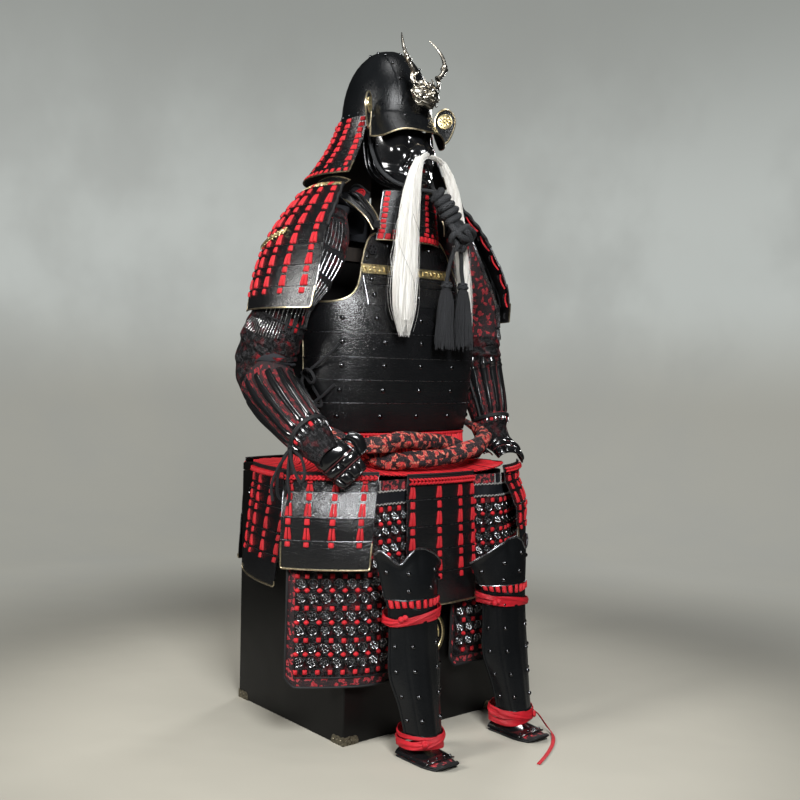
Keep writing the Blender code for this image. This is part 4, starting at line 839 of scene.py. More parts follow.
softbox("key_left", (-3.0, 0.25, 1.9), (0.0, 0.05, 0.8), 0.7, 80.0, (1.0, 0.985, 0.96), 1.3)
softbox("key_front", (-1.30, -2.60, 2.35), (0.0, 0.05, 0.85), 0.8, 135.0, (0.98, 0.99, 1.0), 1.0)
softbox("top", (-0.3, -0.4, 3.6), (0.0, 0.0, 0.0), 0.8, 18.0)
softbox("back_right", (2.6, 1.6, 2.2), (0.0, 0.1, 0.9), 0.8, 34.0)


# ------------------------------------------------- surfaces of the CAD, with an outward offset
def lifted(fn, sgn=1.0, eps=1e-3):
    def f(u, w, out=0.0):
        p = np.array(fn(u, w), float)
        if abs(out) < 1e-9:
            return p
        a = np.array(fn(u + eps, w)) - np.array(fn(u - eps, w))
        b = np.array(fn(u, w + eps)) - np.array(fn(u, w - eps))
        n = np.cross(a, b)
        return p + n / max(np.linalg.norm(n), 1e-12) * sgn * out
    return f


def even(fn, lo, hi, k):
    """k + 1 parameters whose points on fn are evenly spaced."""
    t = np.linspace(lo, hi, 1201)
    P = np.array([fn(x) for x in t])
    d = np.concatenate([[0], np.cumsum(np.linalg.norm(np.diff(P, axis=0), axis=1))])
    return [float(x) for x in np.interp(np.linspace(0, d[-1], k + 1), d, t)]


def do_top(phi, x):
    return track(DO_FRONT_TOP if cos(phi) > 0 else DO_BACK_TOP, abs(x))[0]


def do_fn(phi, z, out=0.0):
    if z > 1.5:
        x0 = oval(phi, *track(DO_SECTIONS, 0.96), DO_ROUND)[0]
        z = 0.9062 + (do_top(phi, x0) - 0.9062) * (z - 2.0)
    a, yf, yb = track(DO_SECTIONS, z)
    x, y = oval(phi, a, yf, yb, DO_ROUND, out)
    return x, y, z


def do_phi(x, z):
    a = track(DO_SECTIONS, z)[0]
    return copysign(np.arcsin(min(1.0, (abs(x) / a) ** (DO_ROUND / 2))), x)


def collar_fn(p, z, out=0.0):
    x, y = oval(p, 0.098 - 0.20 * (z - 1.07), 0.098, 0.262 - 0.10 * (z - 1.07), 2.2, out)
    return x, y, z


def strap_fn(s):
    def f(w, t):
        x, y, z, half = track(STRAP, t)
        return s * (x + w * half), y, z - 0.55 * max(0.0, w) * half
    return lifted(f, s)


def lace_fn(phi, f, out=0.0):
    fold = min(phi, 2 * pi - phi)
    fx, fy, fz = track(LACE_FOOT, fold)
    fx = fx if phi <= pi else -fx
    x, y = oval(phi, 0.2125, 0.0570, 0.2970, 2.5)
    ex, ey = oval(phi, 0.2125, 0.0570, 0.2970, 2.5, 1.0)
    go, down = track(LACE_FALL, f)
    tilt = 0.4 + 0.6 * max(0.0, 1 - go)
    return x + (fx - x) * go + (ex - x) * out * tilt, y + (fy - y) * go + (ey - y) * out * tilt, 0.6345 + (fz - 0.6345) * down + out * (1 - tilt)


def panel_fn(row):
    _, x0, y0, x1, y1, X0, Y0, X1, Y1, z_top, z_bottom, bow, lames_n = row
    n = unit((Y1 - Y0, -(X1 - X0), 0.0))

    def f(u, w, out=0.0):
        ax, ay = x0 + (X0 - x0) * w, y0 + (Y0 - y0) * w
        bx, by = x1 + (X1 - x1) * w, y1 + (Y1 - y1) * w
        k = (u + 1) / 2
        o = bow * (1 - u * u) + out
        return ax + (bx - ax) * k + n[0] * o, ay + (by - ay) * k + n[1] * o, z_top + (z_bottom - z_top) * w
    return f


def thigh_fn(s):
    def f(u, w):
        x, y = track(THIGH_PLAN, u)
        edge = max(0.0, abs(2 * u - 1) - 0.86) / 0.14
        z = THIGH_TOP + (THIGH_BOTTOM + 0.022 * edge * edge * w - THIGH_TOP) * w
        return s * x, y - 0.004 * sin(pi * w), z
    return lifted(f, -s)


def sode_fn(s):
    shift_x, shift_y = (0.0, 0.0) if s < 0 else (-0.010, 0.028)

    def f(u, w, out=0.0):
        x, yf, yr, z, bow = track(SODE_SECTIONS, w)
        lift = 1 - u * u
        bulge = bow * lift
        if w < 0:
            x, z, bulge = x + w * 0.028, z - w * (0.015 + 0.014 * lift), bulge + w * 0.012 * lift
            yf, yr = yf - w * 0.012, yr + w * 0.012
        share = max(0.0, min(1.0, w))
        side = u * 0.35 * out
        return s * (x + bulge + out + shift_x * share), (yf + yr) / 2 + u * (yr - yf) / 2 + shift_y * share + side, z + 0.30 * out
    return f


def sleeve_frame(t, rows):
    x, y, z, rx, ry = track(rows, t)
    a, b = np.array(track(rows, t - 0.02)[:3]), np.array(track(rows, t + 0.02)[:3])
    along = unit(b - a)
    side = unit(np.array([1.0, 0, 0]) - along * along[0])
    return np.array([x, y, z]), side, np.cross(along, side), rx, ry


def sleeve_fn(s):
    rows = SLEEVES["right" if s < 0 else "left"]
    memo = {}

    def f(th, t, out=0.0):
        k = round(t, 6)
        if k not in memo:
            memo[k] = sleeve_frame(t, rows)
        c, e1, e2, rx, ry = memo[k]
        p = c + e1 * (rx + out) * cos(th) + e2 * (ry + out) * sin(th)
        return s * p[0], p[1], p[2]
    return f


def hand_fn(s):
    side = "right" if s < 0 else "left"
    rows, face = HANDS[side], np.array(HAND_FACE[side])
    along = unit(np.array(rows[-1][1:4]) - np.array(rows[0][1:4]))

    def f(w, t):
        x, y, z, half, sag, turned = track(rows, t)
        back = face * turned + np.array([0, 0, 1 - turned])
        across = unit(np.cross(back, along))
        across = across if across[0] > 0 else -across
        back = unit(back - along * (back @ along))
        p = np.array([x, y, z]) + across * half * sin(w * 1.35) / sin(1.35) - back * sag * w * w * 1.3
        return s * p[0], p[1], p[2]
    probe = lifted(f)
    out = (probe(0.0, 0.5, 0.01) - probe(0.0, 0.5)) @ (face * (s, 1, 1) * 0.5 + (0, 0, 0.5))
    return lifted(f, 1.0 if out > 0 else -1.0)


def bowl_fn(phi, t, out=0.0):
    k = max(cos(min(t, 0.99999) * pi / 2), 1e-6) ** 0.92
    h = sin(t * pi / 2) ** 0.94 if t > 0 else 0.0
    b = (BOWL_B + out) * k
    x, y = oval(phi, (BOWL_A + out) * k, HEAD_Y - b, HEAD_Y + b, 2.15)
    return x, y, BOWL_RIM + (BOWL_TOP - BOWL_RIM + out) * h


def visor_fn(p, w, out=0.0):
    drop = 0.028 + 0.024 * (abs(p) / 1.10) ** 2.5
    z = BOWL_RIM + 0.006 - w * drop
    x, y = oval(p, BOWL_A + 0.0022 + 0.010 * w, HEAD_Y - BOWL_B - 0.0028 - 0.020 * w, HEAD_Y + BOWL_B, 2.15, out)
    return x, y, z


def neck_fn(phi, z, out=0.0):
    a, yf, yb = track(NECK_SECTIONS, z)
    x, y = oval(phi, a, yf, yb, 2.0, out)
    return x, y, z


def mask_fn(p, z, out=0.0):
    a, yf, ye, nose = track(MASK, z)
    x, y = oval(p, a, yf, 2 * ye - yf, 2.2, out)
    return x, y - nose * max(0.0, 1 - abs(p) / 0.33) ** 1.2, z


def throat_fn(u, w, out=0.0):
    half = 0.074 + 0.017 * w
    y = 0.0560 + 0.002 * w + 0.030 * abs(u) ** 2.2 - out
    return u * half, y, 1.1600 - 0.108 * w


def shin_fn(s):
    def f(p, z, out=0.0):
        a, yf, ye = track(SHIN_SECTIONS, z)
        x, y = oval(p, a, yf, 2 * ye - yf, 2.3, out)
        flare, at, spread = CALF_FLARE
        x += copysign(flare * np.exp(-((z - at) / spread) ** 2) * (p / 1.6) ** 4, p)
        return s * (SHIN_X + x), y, z
    return f


def knee_fn(s):
    def f(p, w, out=0.0):
        z = 0.312 + (track(KNEE_TOP, p)[0] - 0.312) * w
        x, y = oval(p, 0.0640 + 0.018 * w, -0.1400 + 0.012 * w, -0.030 + 0.016 * w, 2.1, out)
        return s * (SHIN_X + x), y, z
    return f


def lames(piece, fn, us, edges, mat, first=STEP, ref=(0.0, 0.18, None), wrap=False, tuck=0.005, highlight_bead=EDGE, rows=4, thick=PLATE,
          back=None, sides=True, bead_r=0.0007):
    """Lapped lames: edges run from the top one down, in w; each lower lame laps outside the next one up."""
    n = len(edges) - 1
    for k in range(n):
        a, b = edges[k], edges[k + 1]
        low = b + (b - a) / abs(b - a) * tuck if k < n - 1 else b
        top_out = first if k == 0 else STEP
        P = []
        for i in range(rows + 1):
            w = a + (low - a) * i / rows
            share = min(1.0, (w - a) / (b - a))
            P.append([fn(u, w, top_out * (1 - share)) for u in us])
        P = np.array(P)
        # the side strips, and a bead along each lapped upper edge, take the bead metal: a painted highlight on the
        # lacquered edge
        _, _, N = piece.shell(P, mat, thick, ref, wrap, back=back, edge=highlight_bead if sides else mat)
        if highlight_bead is not None and k:
            piece.tube(P[0] - N[0] * bead_r, bead_r * 1.25, highlight_bead, 6, closed=wrap)


def rim(piece, pts, r, mat=GOLD, k=8, **kw):
    return piece.tube(pts, r, mat, k, **kw)


def laced(piece, fn, us, w0, w1, mat=LACE, block=(0.06, 0.36), pair=(0.44, 0.97), wide=(0.012, 0.0115, 0.018), h=0.0042, base=STEP,
          do_block=True, do_pair=True):
    """One lame's lacing: a block under its upper edge, then a spreading pair of laces, at each column of us."""
    for u in us:
        if do_block:
            a, b = w0 + (w1 - w0) * block[0], w0 + (w1 - w0) * block[1]
            piece.pad(fn, u, a, b, wide[0], wide[0] * 1.02, h, mat, 1, 0.0004, base * (1 - sum(block) / 2))
        if do_pair:
            a, b = w0 + (w1 - w0) * pair[0], w0 + (w1 - w0) * pair[1]
            piece.pad(fn, u, a, b, wide[1], wide[2], h, mat, 2, 0.0008, base * (1 - sum(pair) / 2))




# ============================================================ free cord ends
def shifted(pts):
    return [(float(x), float(y) - OY, float(z)) for x, y, z in pts]


def run_of(pts):
    return float(np.linalg.norm(np.diff(np.asarray(pts), axis=0), axis=1).sum())


def free_cord(name, pts, r, mat, nodes, prof=None, nrm=None, slot="dark_cord", k=10):
    p = Piece(name)
    if prof is None:
        p.tube(pts, r, mat, k)
    else:
        p.sweep(pts, prof, mat, nrm=nrm)
    ob = p.done(*nodes, slot=slot)
    path = shifted(pts)
    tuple(path[0])
    run_of(pts)
    return ob


# ---- tassels: a wound neck over a skirt of threads
TASSEL_OUT = [  # depth below the cord's end, radius
    (0.000, 0.0070), (0.006, 0.0110), (0.014, 0.0122), (0.020, 0.0108), (0.034, 0.0148), (0.060, 0.0184), (0.100, 0.0210), (0.140, 0.0225), (0.152, 0.0228)]


def tassel(name, top, seed, node, lean):
    rng = np.random.default_rng(seed)
    p = Piece(name)
    for d, r, tube in ((0.004, 0.0082, 0.0040), (0.0105, 0.0097, 0.0044)):
        p.sweep([top + np.array([r * cos(t), 0.85 * r * sin(t), -d]) for t in turn(24)], ring(8, tube), CORD, closed=True)
    for d, r, tube in ((0.0175, 0.0090, 0.0024), (0.0215, 0.0092, 0.0024)):
        p.sweep([top + np.array([r * cos(t), 0.8 * r * sin(t), -d]) for t in turn(24)], ring(6, tube), TASSEL_MAT, closed=True)
    core = []
    for d, r in TASSEL_OUT:
        if d > 0.146:
            continue
        rr = r * (0.84 if d > 0.02 else 0.9)
        core.append([top + np.array([rr * cos(t) * (1 + 0.05 * sin(5 * t + seed)) + lean * d, 0.70 * rr * sin(t), -d]) for t in turn(28)])
    idx = p.grid(np.array(core), TASSEL_MAT, wrap=True)
    p.fan(idx[0][:-1], top + np.array([0, 0, 0.001]), TASSEL_MAT)
    p.fan(idx[-1][:-1], top + np.array([lean * 0.146, 0, -0.1400]), TASSEL_MAT)
    for j in range(104):
        t0 = 2 * pi * j / 104 + rng.uniform(-0.03, 0.03)
        reach = rng.uniform(0.128, 0.152)
        layer = rng.uniform(0.86, 1.02)
        drift, sway, ph = rng.normal(0, 0.10), rng.normal(0, 0.0010), rng.uniform(0, 6.3)
        pts = []
        for i in range(13):
            q = i / 12
            d = 0.019 + (reach - 0.019) * q
            r = track(TASSEL_OUT, d)[0] * layer
            t = t0 + drift * q
            pts.append(top + np.array([r * cos(t) + lean * d + sway * sin(ph + 9 * q), 0.74 * r * sin(t) + sway * cos(ph + 8 * q), -d]))
        p.sweep(pts, ring(5, 0.00140), TASSEL_MAT, scale=np.linspace(1.0, 0.9, 13))
    return p.done(node, slot="dark_cord")


CORD_R = 0.0047
for key, seed, lean in (("a", 5, -0.035), ("b", 9, 0.045)):
    ctrl = STRANDS[key]
    x, y, z = ctrl[-1]
    top = np.array([x, y, z - 0.0016])
    tas = tassel("tassel_threads_" + key, top, seed, "tassel_" + key, lean)
    pts = smooth_line(ctrl + [(x, y, z - 0.014)], 22)
    free_cord("chin_cord_strand_" + key, pts, CORD_R, CORD, ["chin_cord_end_" + key])

# ---- wound bundle of the chin cord, with its knot and loop
p = Piece("chin_cord_bundle")
path = [tuple(track(CHIN, t)) for t in span(0, 1, 60)]


def chin_at(t):
    x, y, z, r = track(CHIN, t)
    return np.array([x, y, z]), r


core = []
for t in span(0.0, 0.80, 20):
    c, r = chin_at(t)
    core.append([c + np.array([0.66 * r * cos(a), 0.58 * r * sin(a), 0.2 * r * cos(a)]) for a in turn(20)])
idx = p.grid(np.array(core), CORD, wrap=True)
p.fan(idx[0][:-1], chin_at(0)[0], CORD)
p.fan(idx[-1][:-1], chin_at(0.8)[0], CORD)
wraps = []
N_WRAP = 5.2
for i in range(int(N_WRAP * 26) + 1):
    a = 2 * pi * i / 26
    t = 0.04 + 0.66 * i / (N_WRAP * 26)
    c, r = chin_at(t)
    along = unit(chin_at(min(t + 0.03, 1))[0] - chin_at(max(t - 0.03, 0))[0])
    e1 = unit(np.cross(along, (0.0, 1.0, 0.25)))
    e2 = np.cross(along, e1)
    q = r - 0.0068 + 0.0012 * sin(2.3 * a)
    wraps.append(c + e1 * q * cos(a) + e2 * q * 0.92 * sin(a) + along * 0.0026 * sin(a + 0.9))
p.tube(np.array(wraps), 0.0076, CORD, 10)
# knot: cords crossing under the wraps, then a loop standing out to the wearer's left
k0, kr = chin_at(0.84)


def around(ctrl, r, count=40, closed=False):
    if closed:
        ctrl = ctrl + ctrl[:1]
    pts = smooth_line([k0 + 1.18 * np.array(c) for c in ctrl], count)
    if closed:
        pts = pts[:-1]
    p.tube(pts, 1.2 * r, CORD, 10, closed=closed)


around([(-0.016, 0.004, 0.014), (-0.017, -0.008, 0.004), (-0.006, -0.015, -0.008), (0.012, -0.013, -0.010), (0.019, -0.002, 0.000), (0.014, 0.008, 0.010)], 0.0060)
around([(0.016, 0.004, 0.015), (0.010, -0.012, 0.012), (-0.006, -0.016, 0.006), (-0.018, -0.006, -0.004), (-0.014, 0.006, -0.014)], 0.0060)
around([(-0.012, -0.010, 0.010), (0.004, -0.019, 0.000), (0.016, -0.012, -0.014), (0.006, 0.000, -0.020), (-0.010, 0.004, -0.014)], 0.0058)
around([(0.004, -0.012, 0.006), (0.018, -0.012, 0.008), (0.032, -0.006, 0.003), (0.036, 0.002, -0.004), (0.026, 0.002, -0.012), (0.010, -0.006, -0.014), (-0.004, -0.010, -0.010)], 0.0056, 50)
around([(-0.008, 0.000, -0.010), (-0.007, -0.004, -0.022), (-0.006, 0.000, -0.032)], 0.0046, 12)
around([(0.008, 0.000, -0.010), (0.009, -0.004, -0.022), (0.010, 0.000, -0.032)], 0.0046, 12)
p.dome(k0 + np.array([0.0, 0.004, -0.004]), (0, -1, 0), 0.0165, 0.012, CORD, 14)
# the cord comes down from under the visor on each side of the mask
for s in (-1, 1):
    pts = smooth_line([(s * 0.0800, 0.1330, 1.3000), (s * 0.0830, 0.1270, 1.2750), (s * 0.0810, 0.1180, 1.2450), (s * 0.0740, 0.1020, 1.2100),
                       (s * 0.0560, 0.0720, 1.1800), (s * 0.0300 + 0.004, 0.0380, 1.1640), (0.012, 0.0200, 1.1600)], 60)
    p.tube(pts, 0.0042, CORD, 9)
p.done("chin_cord_knot", slot="dark_cord")

# ---- tie at the right side of the cuirass, with its bow
p = Piece("side_tie_bow")
knot = np.array([-0.2300, 0.1480, 0.7580])


def bow(piece, c, ctrl, r, mat, count=40, k=8):
    pts = smooth_line([c + np.array(q) for q in ctrl], count)
    piece.tube(pts, r, mat, k)


for ctrl in (
        [(0, 0, 0), (-0.012, -0.010, -0.018), (-0.010, -0.034, -0.050), (0.004, -0.052, -0.066), (0.012, -0.046, -0.056), (0.004, -0.026, -0.026), (0, 0, 0)],
        [(0, 0, 0), (-0.010, -0.016, 0.010), (-0.012, -0.040, 0.008), (-0.008, -0.050, -0.008), (-0.008, -0.040, -0.018), (-0.004, -0.018, -0.010), (0, 0, 0)],
        [(0.002, 0.002, 0), (0.006, 0.016, -0.012), (0.010, 0.024, -0.034), (0.012, 0.018, -0.052)],
        [(-0.004, -0.038, -0.060), (0.012, -0.052, -0.044), (0.024, -0.066, -0.026), (0.029, -0.072, -0.020)],
        [(-0.004, -0.042, -0.064), (0.002, -0.044, -0.078), (0.006, -0.040, -0.090)]):
    bow(p, knot, ctrl, 0.0033, CORD_BLACK, 60)
for i in range(3):
    p.sweep([knot + np.array([0.0052 * cos(t) * (1 - 0.2 * i), 0.0058 * sin(t), 0.0045 * sin(t + 1.2 * i) - 0.003 * i]) for t in turn(18)],
            ring(8, 0.0030), CORD_BLACK, closed=True)
p.dome(knot, (-1, 0, 0), 0.0055, 0.0060, CORD_BLACK, 12)
bow_ob = p.done(slot="dark_cord")
free_cord("side_tie_end", smooth_line(SIDE_TIE, 30), 0.0033, CORD_BLACK, ["side_tie_right"])

# ---- the right wrist's tie: two loops and a tail
for side, s in (("right", -1),):
    p = Piece("wrist_tie_loops_" + side)
    c = np.array([s * 0.3330, 0.0380, 0.6120])
    fl = np.array([s, 1, 1])
    loops = (
        [(0, 0, 0), (0.008, 0.014, -0.020), (0.014, 0.026, -0.060), (0.010, 0.030, -0.096), (0.004, 0.018, -0.104), (0.000, 0.010, -0.070), (-0.002, 0.002, -0.022), (0, 0, 0)],
        [(0, 0, 0), (0.010, -0.012, -0.012), (0.016, -0.034, -0.040), (0.012, -0.052, -0.062), (0.004, -0.054, -0.048), (-0.002, -0.034, -0.020), (-0.002, -0.010, -0.006), (0, 0, 0)],
        [(0, 0, 0), (0.010, -0.008, -0.020), (0.018, -0.016, -0.060), (0.016, -0.020, -0.094), (0.018, -0.014, -0.112)])
    for ctrl in loops:
        bow(p, c, [tuple(np.array(q) * fl) for q in ctrl], 0.0032, CORD_BLACK, 56)
    for i in range(2):
        p.sweep([c + np.array([s * 0.0045 * cos(t), 0.0060 * sin(t), 0.0045 * cos(t + 1.3 * i)]) for t in turn(18)], ring(8, 0.0031), CORD_BLACK, closed=True)
    loop_ob = p.done(slot="dark_cord")
    free_cord("wrist_tie_tail_" + side, smooth_line(WRIST_TIE, 30), 0.0032, CORD_BLACK, ["wrist_tie_" + side])

# ---- loose end of the left foot's ribbon
flat = np.array([(0.0040 * cos(t), 0.0010 * sin(t)) for t in turn(10)])
pts = smooth_line(RIBBON, 48)
nrm = []
for i in range(len(pts)):
    q = i / (len(pts) - 1)
    up = min(1.0, max(0.0, (q - 0.30) / 0.25))
    nrm.append(unit((0.75 * (1 - up), -0.35 * (1 - up), 0.25 + 0.75 * up)))
free_cord("foot_ribbon_end", pts, 0.004, LACE_FLAT, ["foot_tie_end"], prof=flat, nrm=np.array(nrm), slot="red_lacing")


# ================================================================ the helmet
def strip_box(piece, fn, u0, u1, w0, w1, h, mat, nu=12, nw=2, base=0.0):
    """A thin plate lying on a surface, with its sides."""
    us, ws = span(u0, u1, nu), span(w0, w1, nw)
    P = np.array([[fn(u, w, base + h) for u in us] for w in ws])
    B = np.array([[fn(u, w, base - 0.0004) for u in us] for w in ws])
    a, b = piece.grid(P, mat), piece.grid(B, mat)
    piece.strip(a[0], b[0], mat)
    piece.strip(a[-1], b[-1], mat)
    piece.strip(a[:, 0], b[:, 0], mat)
    piece.strip(a[:, -1], b[:, -1], mat)


# ---- bowl: a smooth shell with a raised central plate and rivets
p = Piece("helmet_bowl_shell")
bowl_phis = even(lambda t: bowl_fn(t, 0.0), 0, 2 * pi, 96)[:-1]
ts = [0.0, 0.06, 0.13, 0.21, 0.29, 0.37, 0.45, 0.53, 0.61, 0.69, 0.77, 0.84, 0.90, 0.95, 0.985]
P = surf(bowl_fn, bowl_phis, ts)
idx = p.grid(P, HELMET_BLACK, wrap=True)
p.fan(idx[-1][:-1], bowl_fn(0, 0.9999), HELMET_BLACK)
inner = surf(bowl_fn, bowl_phis, ts, -PLATE)
jdx = p.grid(inner, LACQUER_IN, wrap=True)
p.fan(jdx[-1][:-1], bowl_fn(0, 0.9999, -PLATE), LACQUER_IN)
p.strip(idx[0], jdx[0], HELMET_BLACK)


def bowl_z(x, y, out=0.0):
    """Height of the bowl over a plan point."""
    lo, hi = 0.0, 1.0
    for _ in range(30):
        t = (lo + hi) / 2
        k = max(cos(t * pi / 2), 1e-6) ** 0.92
        a, b = (BOWL_A + out) * k, (BOWL_B + out) * k
        r = (abs(x) / a) ** 2.15 + (abs(y - HEAD_Y) / b) ** 2.15
        lo, hi = (t, hi) if r < 1 else (lo, t)
    t = (lo + hi) / 2
    return BOWL_RIM + (BOWL_TOP - BOWL_RIM + out) * sin(t * pi / 2) ** 0.94


def crown_fn(x, q, out=0.0):
    """The bowl's middle strip: x across, q from the front rim (-1) over the crown to the back (1)."""
    t = 1 - abs(q)
    k = max(cos(t * pi / 2), 1e-6) ** 0.92
    a, b = (BOWL_A + out) * k, (BOWL_B + out) * k
    z = BOWL_RIM + (BOWL_TOP - BOWL_RIM + out) * (sin(t * pi / 2) ** 0.94 if t > 0 else 0)
    if abs(x) >= a * 0.97:           # past the section's side: take the height over this plan point
        return np.array([x, HEAD_Y, bowl_z(x, HEAD_Y, out)])
    y = b * (1 - (abs(x) / a) ** 2.15) ** (1 / 2.15)
    return np.array([x, HEAD_Y + copysign(y, q), z])


# central plate: follows the bowl over plan points, 1.4 mm proud, wider at the front
plate_rows = [(-0.0985, 0.041), (-0.088, 0.042), (-0.072, 0.043), (-0.052, 0.043), (-0.030, 0.042), (-0.008, 0.041),
              (0.016, 0.040), (0.040, 0.038), (0.062, 0.036), (0.080, 0.034), (0.092, 0.032), (0.0985, 0.030), (0.1015, 0.029)]
xs = span(-1, 1, 14)


def plate_pt(y, half, s, out):
    return np.array([s * half, HEAD_Y + y, bowl_z(s * half, HEAD_Y + y, out)])


P = np.array([[plate_pt(y, half, s, 0.0014) for s in xs] for y, half in plate_rows])
Q = np.array([[plate_pt(y, half + 0.0014, s, -0.0004) for s in xs] for y, half in plate_rows])
a, b = p.grid(P, HELMET_BLACK), p.grid(Q, HELMET_BLACK)
for i, j in ((a[0], b[0]), (a[-1], b[-1]), (a[:, 0], b[:, 0]), (a[:, -1], b[:, -1])):
    p.strip(i, j, HELMET_BLACK)
for y, half in ((-0.088, 0.0365), (-0.066, 0.0385), (-0.040, 0.0385), (-0.012, 0.0375), (0.018, 0.036), (0.048, 0.034), (0.075, 0.030)):
    for s in (-1, 1):
        c = plate_pt(y, half, s, 0.0014)
        e = 0.002
        n = np.cross(plate_pt(y, half + e, s, 0.0014) - c, plate_pt(y + e, half, s, 0.0014) - c)
        n = n if n[2] > 0 else -n
        p.dome(c, n, 0.0036, 0.0032, RIVET)
for y in (-0.045, 0.0, 0.045):
    c = plate_pt(y, 0.0001, 1, 0.0014)
    p.dome(c, unit((0, y * 0.75, 0.10)), 0.0036, 0.0034, RIVET)
# crown boss
c = np.array([0.0, HEAD_Y + 0.004, BOWL_TOP + 0.0012])
for r, h in ((0.0120, 0.0016), (0.0085, 0.0042)):
    p.dome(c, (0, 0, 1), r, h, GOLD if r > 0.01 else HELMET_BLACK, 20)
# band round the rim above the neck guard, with its rivets
band = surf(bowl_fn, bowl_phis, [0.0, 0.05], 0.0012)
lo = surf(bowl_fn, bowl_phis, [0.0, 0.05], -0.0004)
a, b = p.grid(band, HELMET_BLACK, wrap=True), p.grid(lo, HELMET_BLACK, wrap=True)
p.strip(a[0], b[0], HELMET_BLACK)
p.strip(a[-1], b[-1], HELMET_BLACK)
for i in range(16):
    phi = radians(66) + i * radians(228) / 15
    p.rivet(bowl_fn, phi, 0.025, RIVET, 0.0028, 0.0034)
p.done("helmet_bowl", slot="black_lacquer")

# ---- visor: arched edge with a low dip at each temple and its rolled gold rim
p = Piece("helmet_visor_plate")
VISOR = [  # share of the way round 0..1 from the mid-plane: height of the lower edge
    (0.00, 1.2890), (0.18, 1.2905), (0.36, 1.2905), (0.52, 1.2865), (0.66, 1.2800), (0.78, 1.2745), (0.90, 1.2735), (1.00, 1.2760)]


def visor_low(q):
    return track(VISOR, abs(q))[0]


def visor_pt(q, w, out=0.0):
    p_ = q * 1.10
    top = BOWL_RIM + 0.006
    if w < 0:                        # the visor's root is hammered up into the bowl
        rise = (top - w * 0.040 - BOWL_RIM) / (BOWL_TOP - BOWL_RIM)
        t = np.arcsin(rise ** (1 / 0.94)) * 2 / pi
        return bowl_fn(p_, t, 0.0002 + 0.0022 * max(0.0, 1 + w / 0.6) ** 1.6 + out)
    z = top + (visor_low(q) - top) * w
    v = (top - z) / (0.028 + 0.024 * abs(q) ** 2.5)
    x, y = oval(p_, BOWL_A + 0.0022 + 0.010 * v, HEAD_Y - BOWL_B - 0.0028 - 0.020 * v, HEAD_Y + BOWL_B, 2.15, out)
    return x, y, z


qs = span(-1, 1, 56)
ws = [-0.6, -0.5, -0.4, -0.3, -0.2, -0.1] + span(0, 1, 8)
P = np.array([[visor_pt(q, w, 0.0026 * max(0.0, w) ** 3) for q in qs] for w in ws])
_, _, N = p.shell(P, HELMET_BLACK, PLATE, ref=(0.0, 0.17, None), back=LACQUER_IN)
edge = [P[i][0] for i in range(6, len(ws) - 1)] + [P[-1][j] for j in range(len(qs))] + [P[i][-1] for i in range(len(ws) - 2, 5, -1)]
edge = np.array(edge)
rim(p, edge, 0.0019)
for s in (-1, 1):
    for q, w in ((0.93, 0.20), (0.30, 0.16)):
        p.rivet(visor_pt, s * q, w, RIVET, 0.0028, 0.0024)
p.done("helmet_visor", slot="black_lacquer")

# ---- neck guard: five laced lames, a row of blocks round the lowest
p = Piece("neck_guard_lames")
edges = list(NECK_LINES[::-1])
phis = even(lambda t: neck_fn(t, 1.26), NECK_EDGE, 2 * pi - NECK_EDGE, 72)
lames(p, neck_fn, phis, edges, LACQUER, first=0.0012, rows=3, back=LACQUER_IN)
cols = [radians(67) + i * radians(226) / 11 for i in range(12)]
for k in range(4):
    laced(p, neck_fn, cols, edges[k], edges[k + 1], block=(0.06, 0.46), pair=(0.54, 1.0), wide=(0.0128, 0.0128, 0.0175), h=0.0044)
k = 4
for phi in [radians(64.5) + i * radians(231) / 38 for i in range(39)]:
    p.pad(neck_fn, phi, edges[4] - 0.0155, edges[5] + 0.0020, 0.0105, 0.0112, 0.0040, LACE, 1, 0.0006, 0.0)
for phi in cols:
    p.pad(neck_fn, phi, edges[4] - 0.002, edges[4] - 0.0115, 0.0110, 0.0112, 0.0040, LACE, 1, 0.0006, 0.0)
low = [neck_fn(t, NECK_LINES[0], 0.0006) for t in phis]
front = [neck_fn(NECK_EDGE, NECK_LINES[1] - 0.024 * i / 6, STEP * (1 - i / 6)) for i in range(6)]
back = [neck_fn(2 * pi - NECK_EDGE, NECK_LINES[1] - 0.024 * i / 6, STEP * (1 - i / 6)) for i in range(6)]
rim(p, np.array(front + low + back[::-1]), 0.0015)
# small cream knob where the topmost lame is buttoned on
for s in (-1, 1):
    phi = radians(67.5) if s > 0 else 2 * pi - radians(67.5)
    c, _, _, n, _, _ = frame_at(neck_fn, phi, 1.3180)
    p.dome(c, n, 0.0042, 0.0045, GOLD, 12)
p.done("neck_guard", slot="black_lacquer")


# ---- turned-back wings
def wing_fn(s):
    def f(th, r):
        c, q = cos(th), sin(th)
        wide = 0.0235 * r * c * (1.0 - 0.28 * max(0.0, -q))
        tall = r * (0.031 * q if q > 0 else 0.046 * q)
        g = wide + 0.0245
        turned = (0.0125 if s < 0 else 0.0025) * max(0.0, (wide + 0.0235) / 0.047) ** 1.3       # the free edge is turned back
        return np.array([s * (0.0915 + 0.61 * g + 0.79 * turned), 0.1120 - 0.79 * g + 0.61 * turned, 1.336 + tall])
    return f


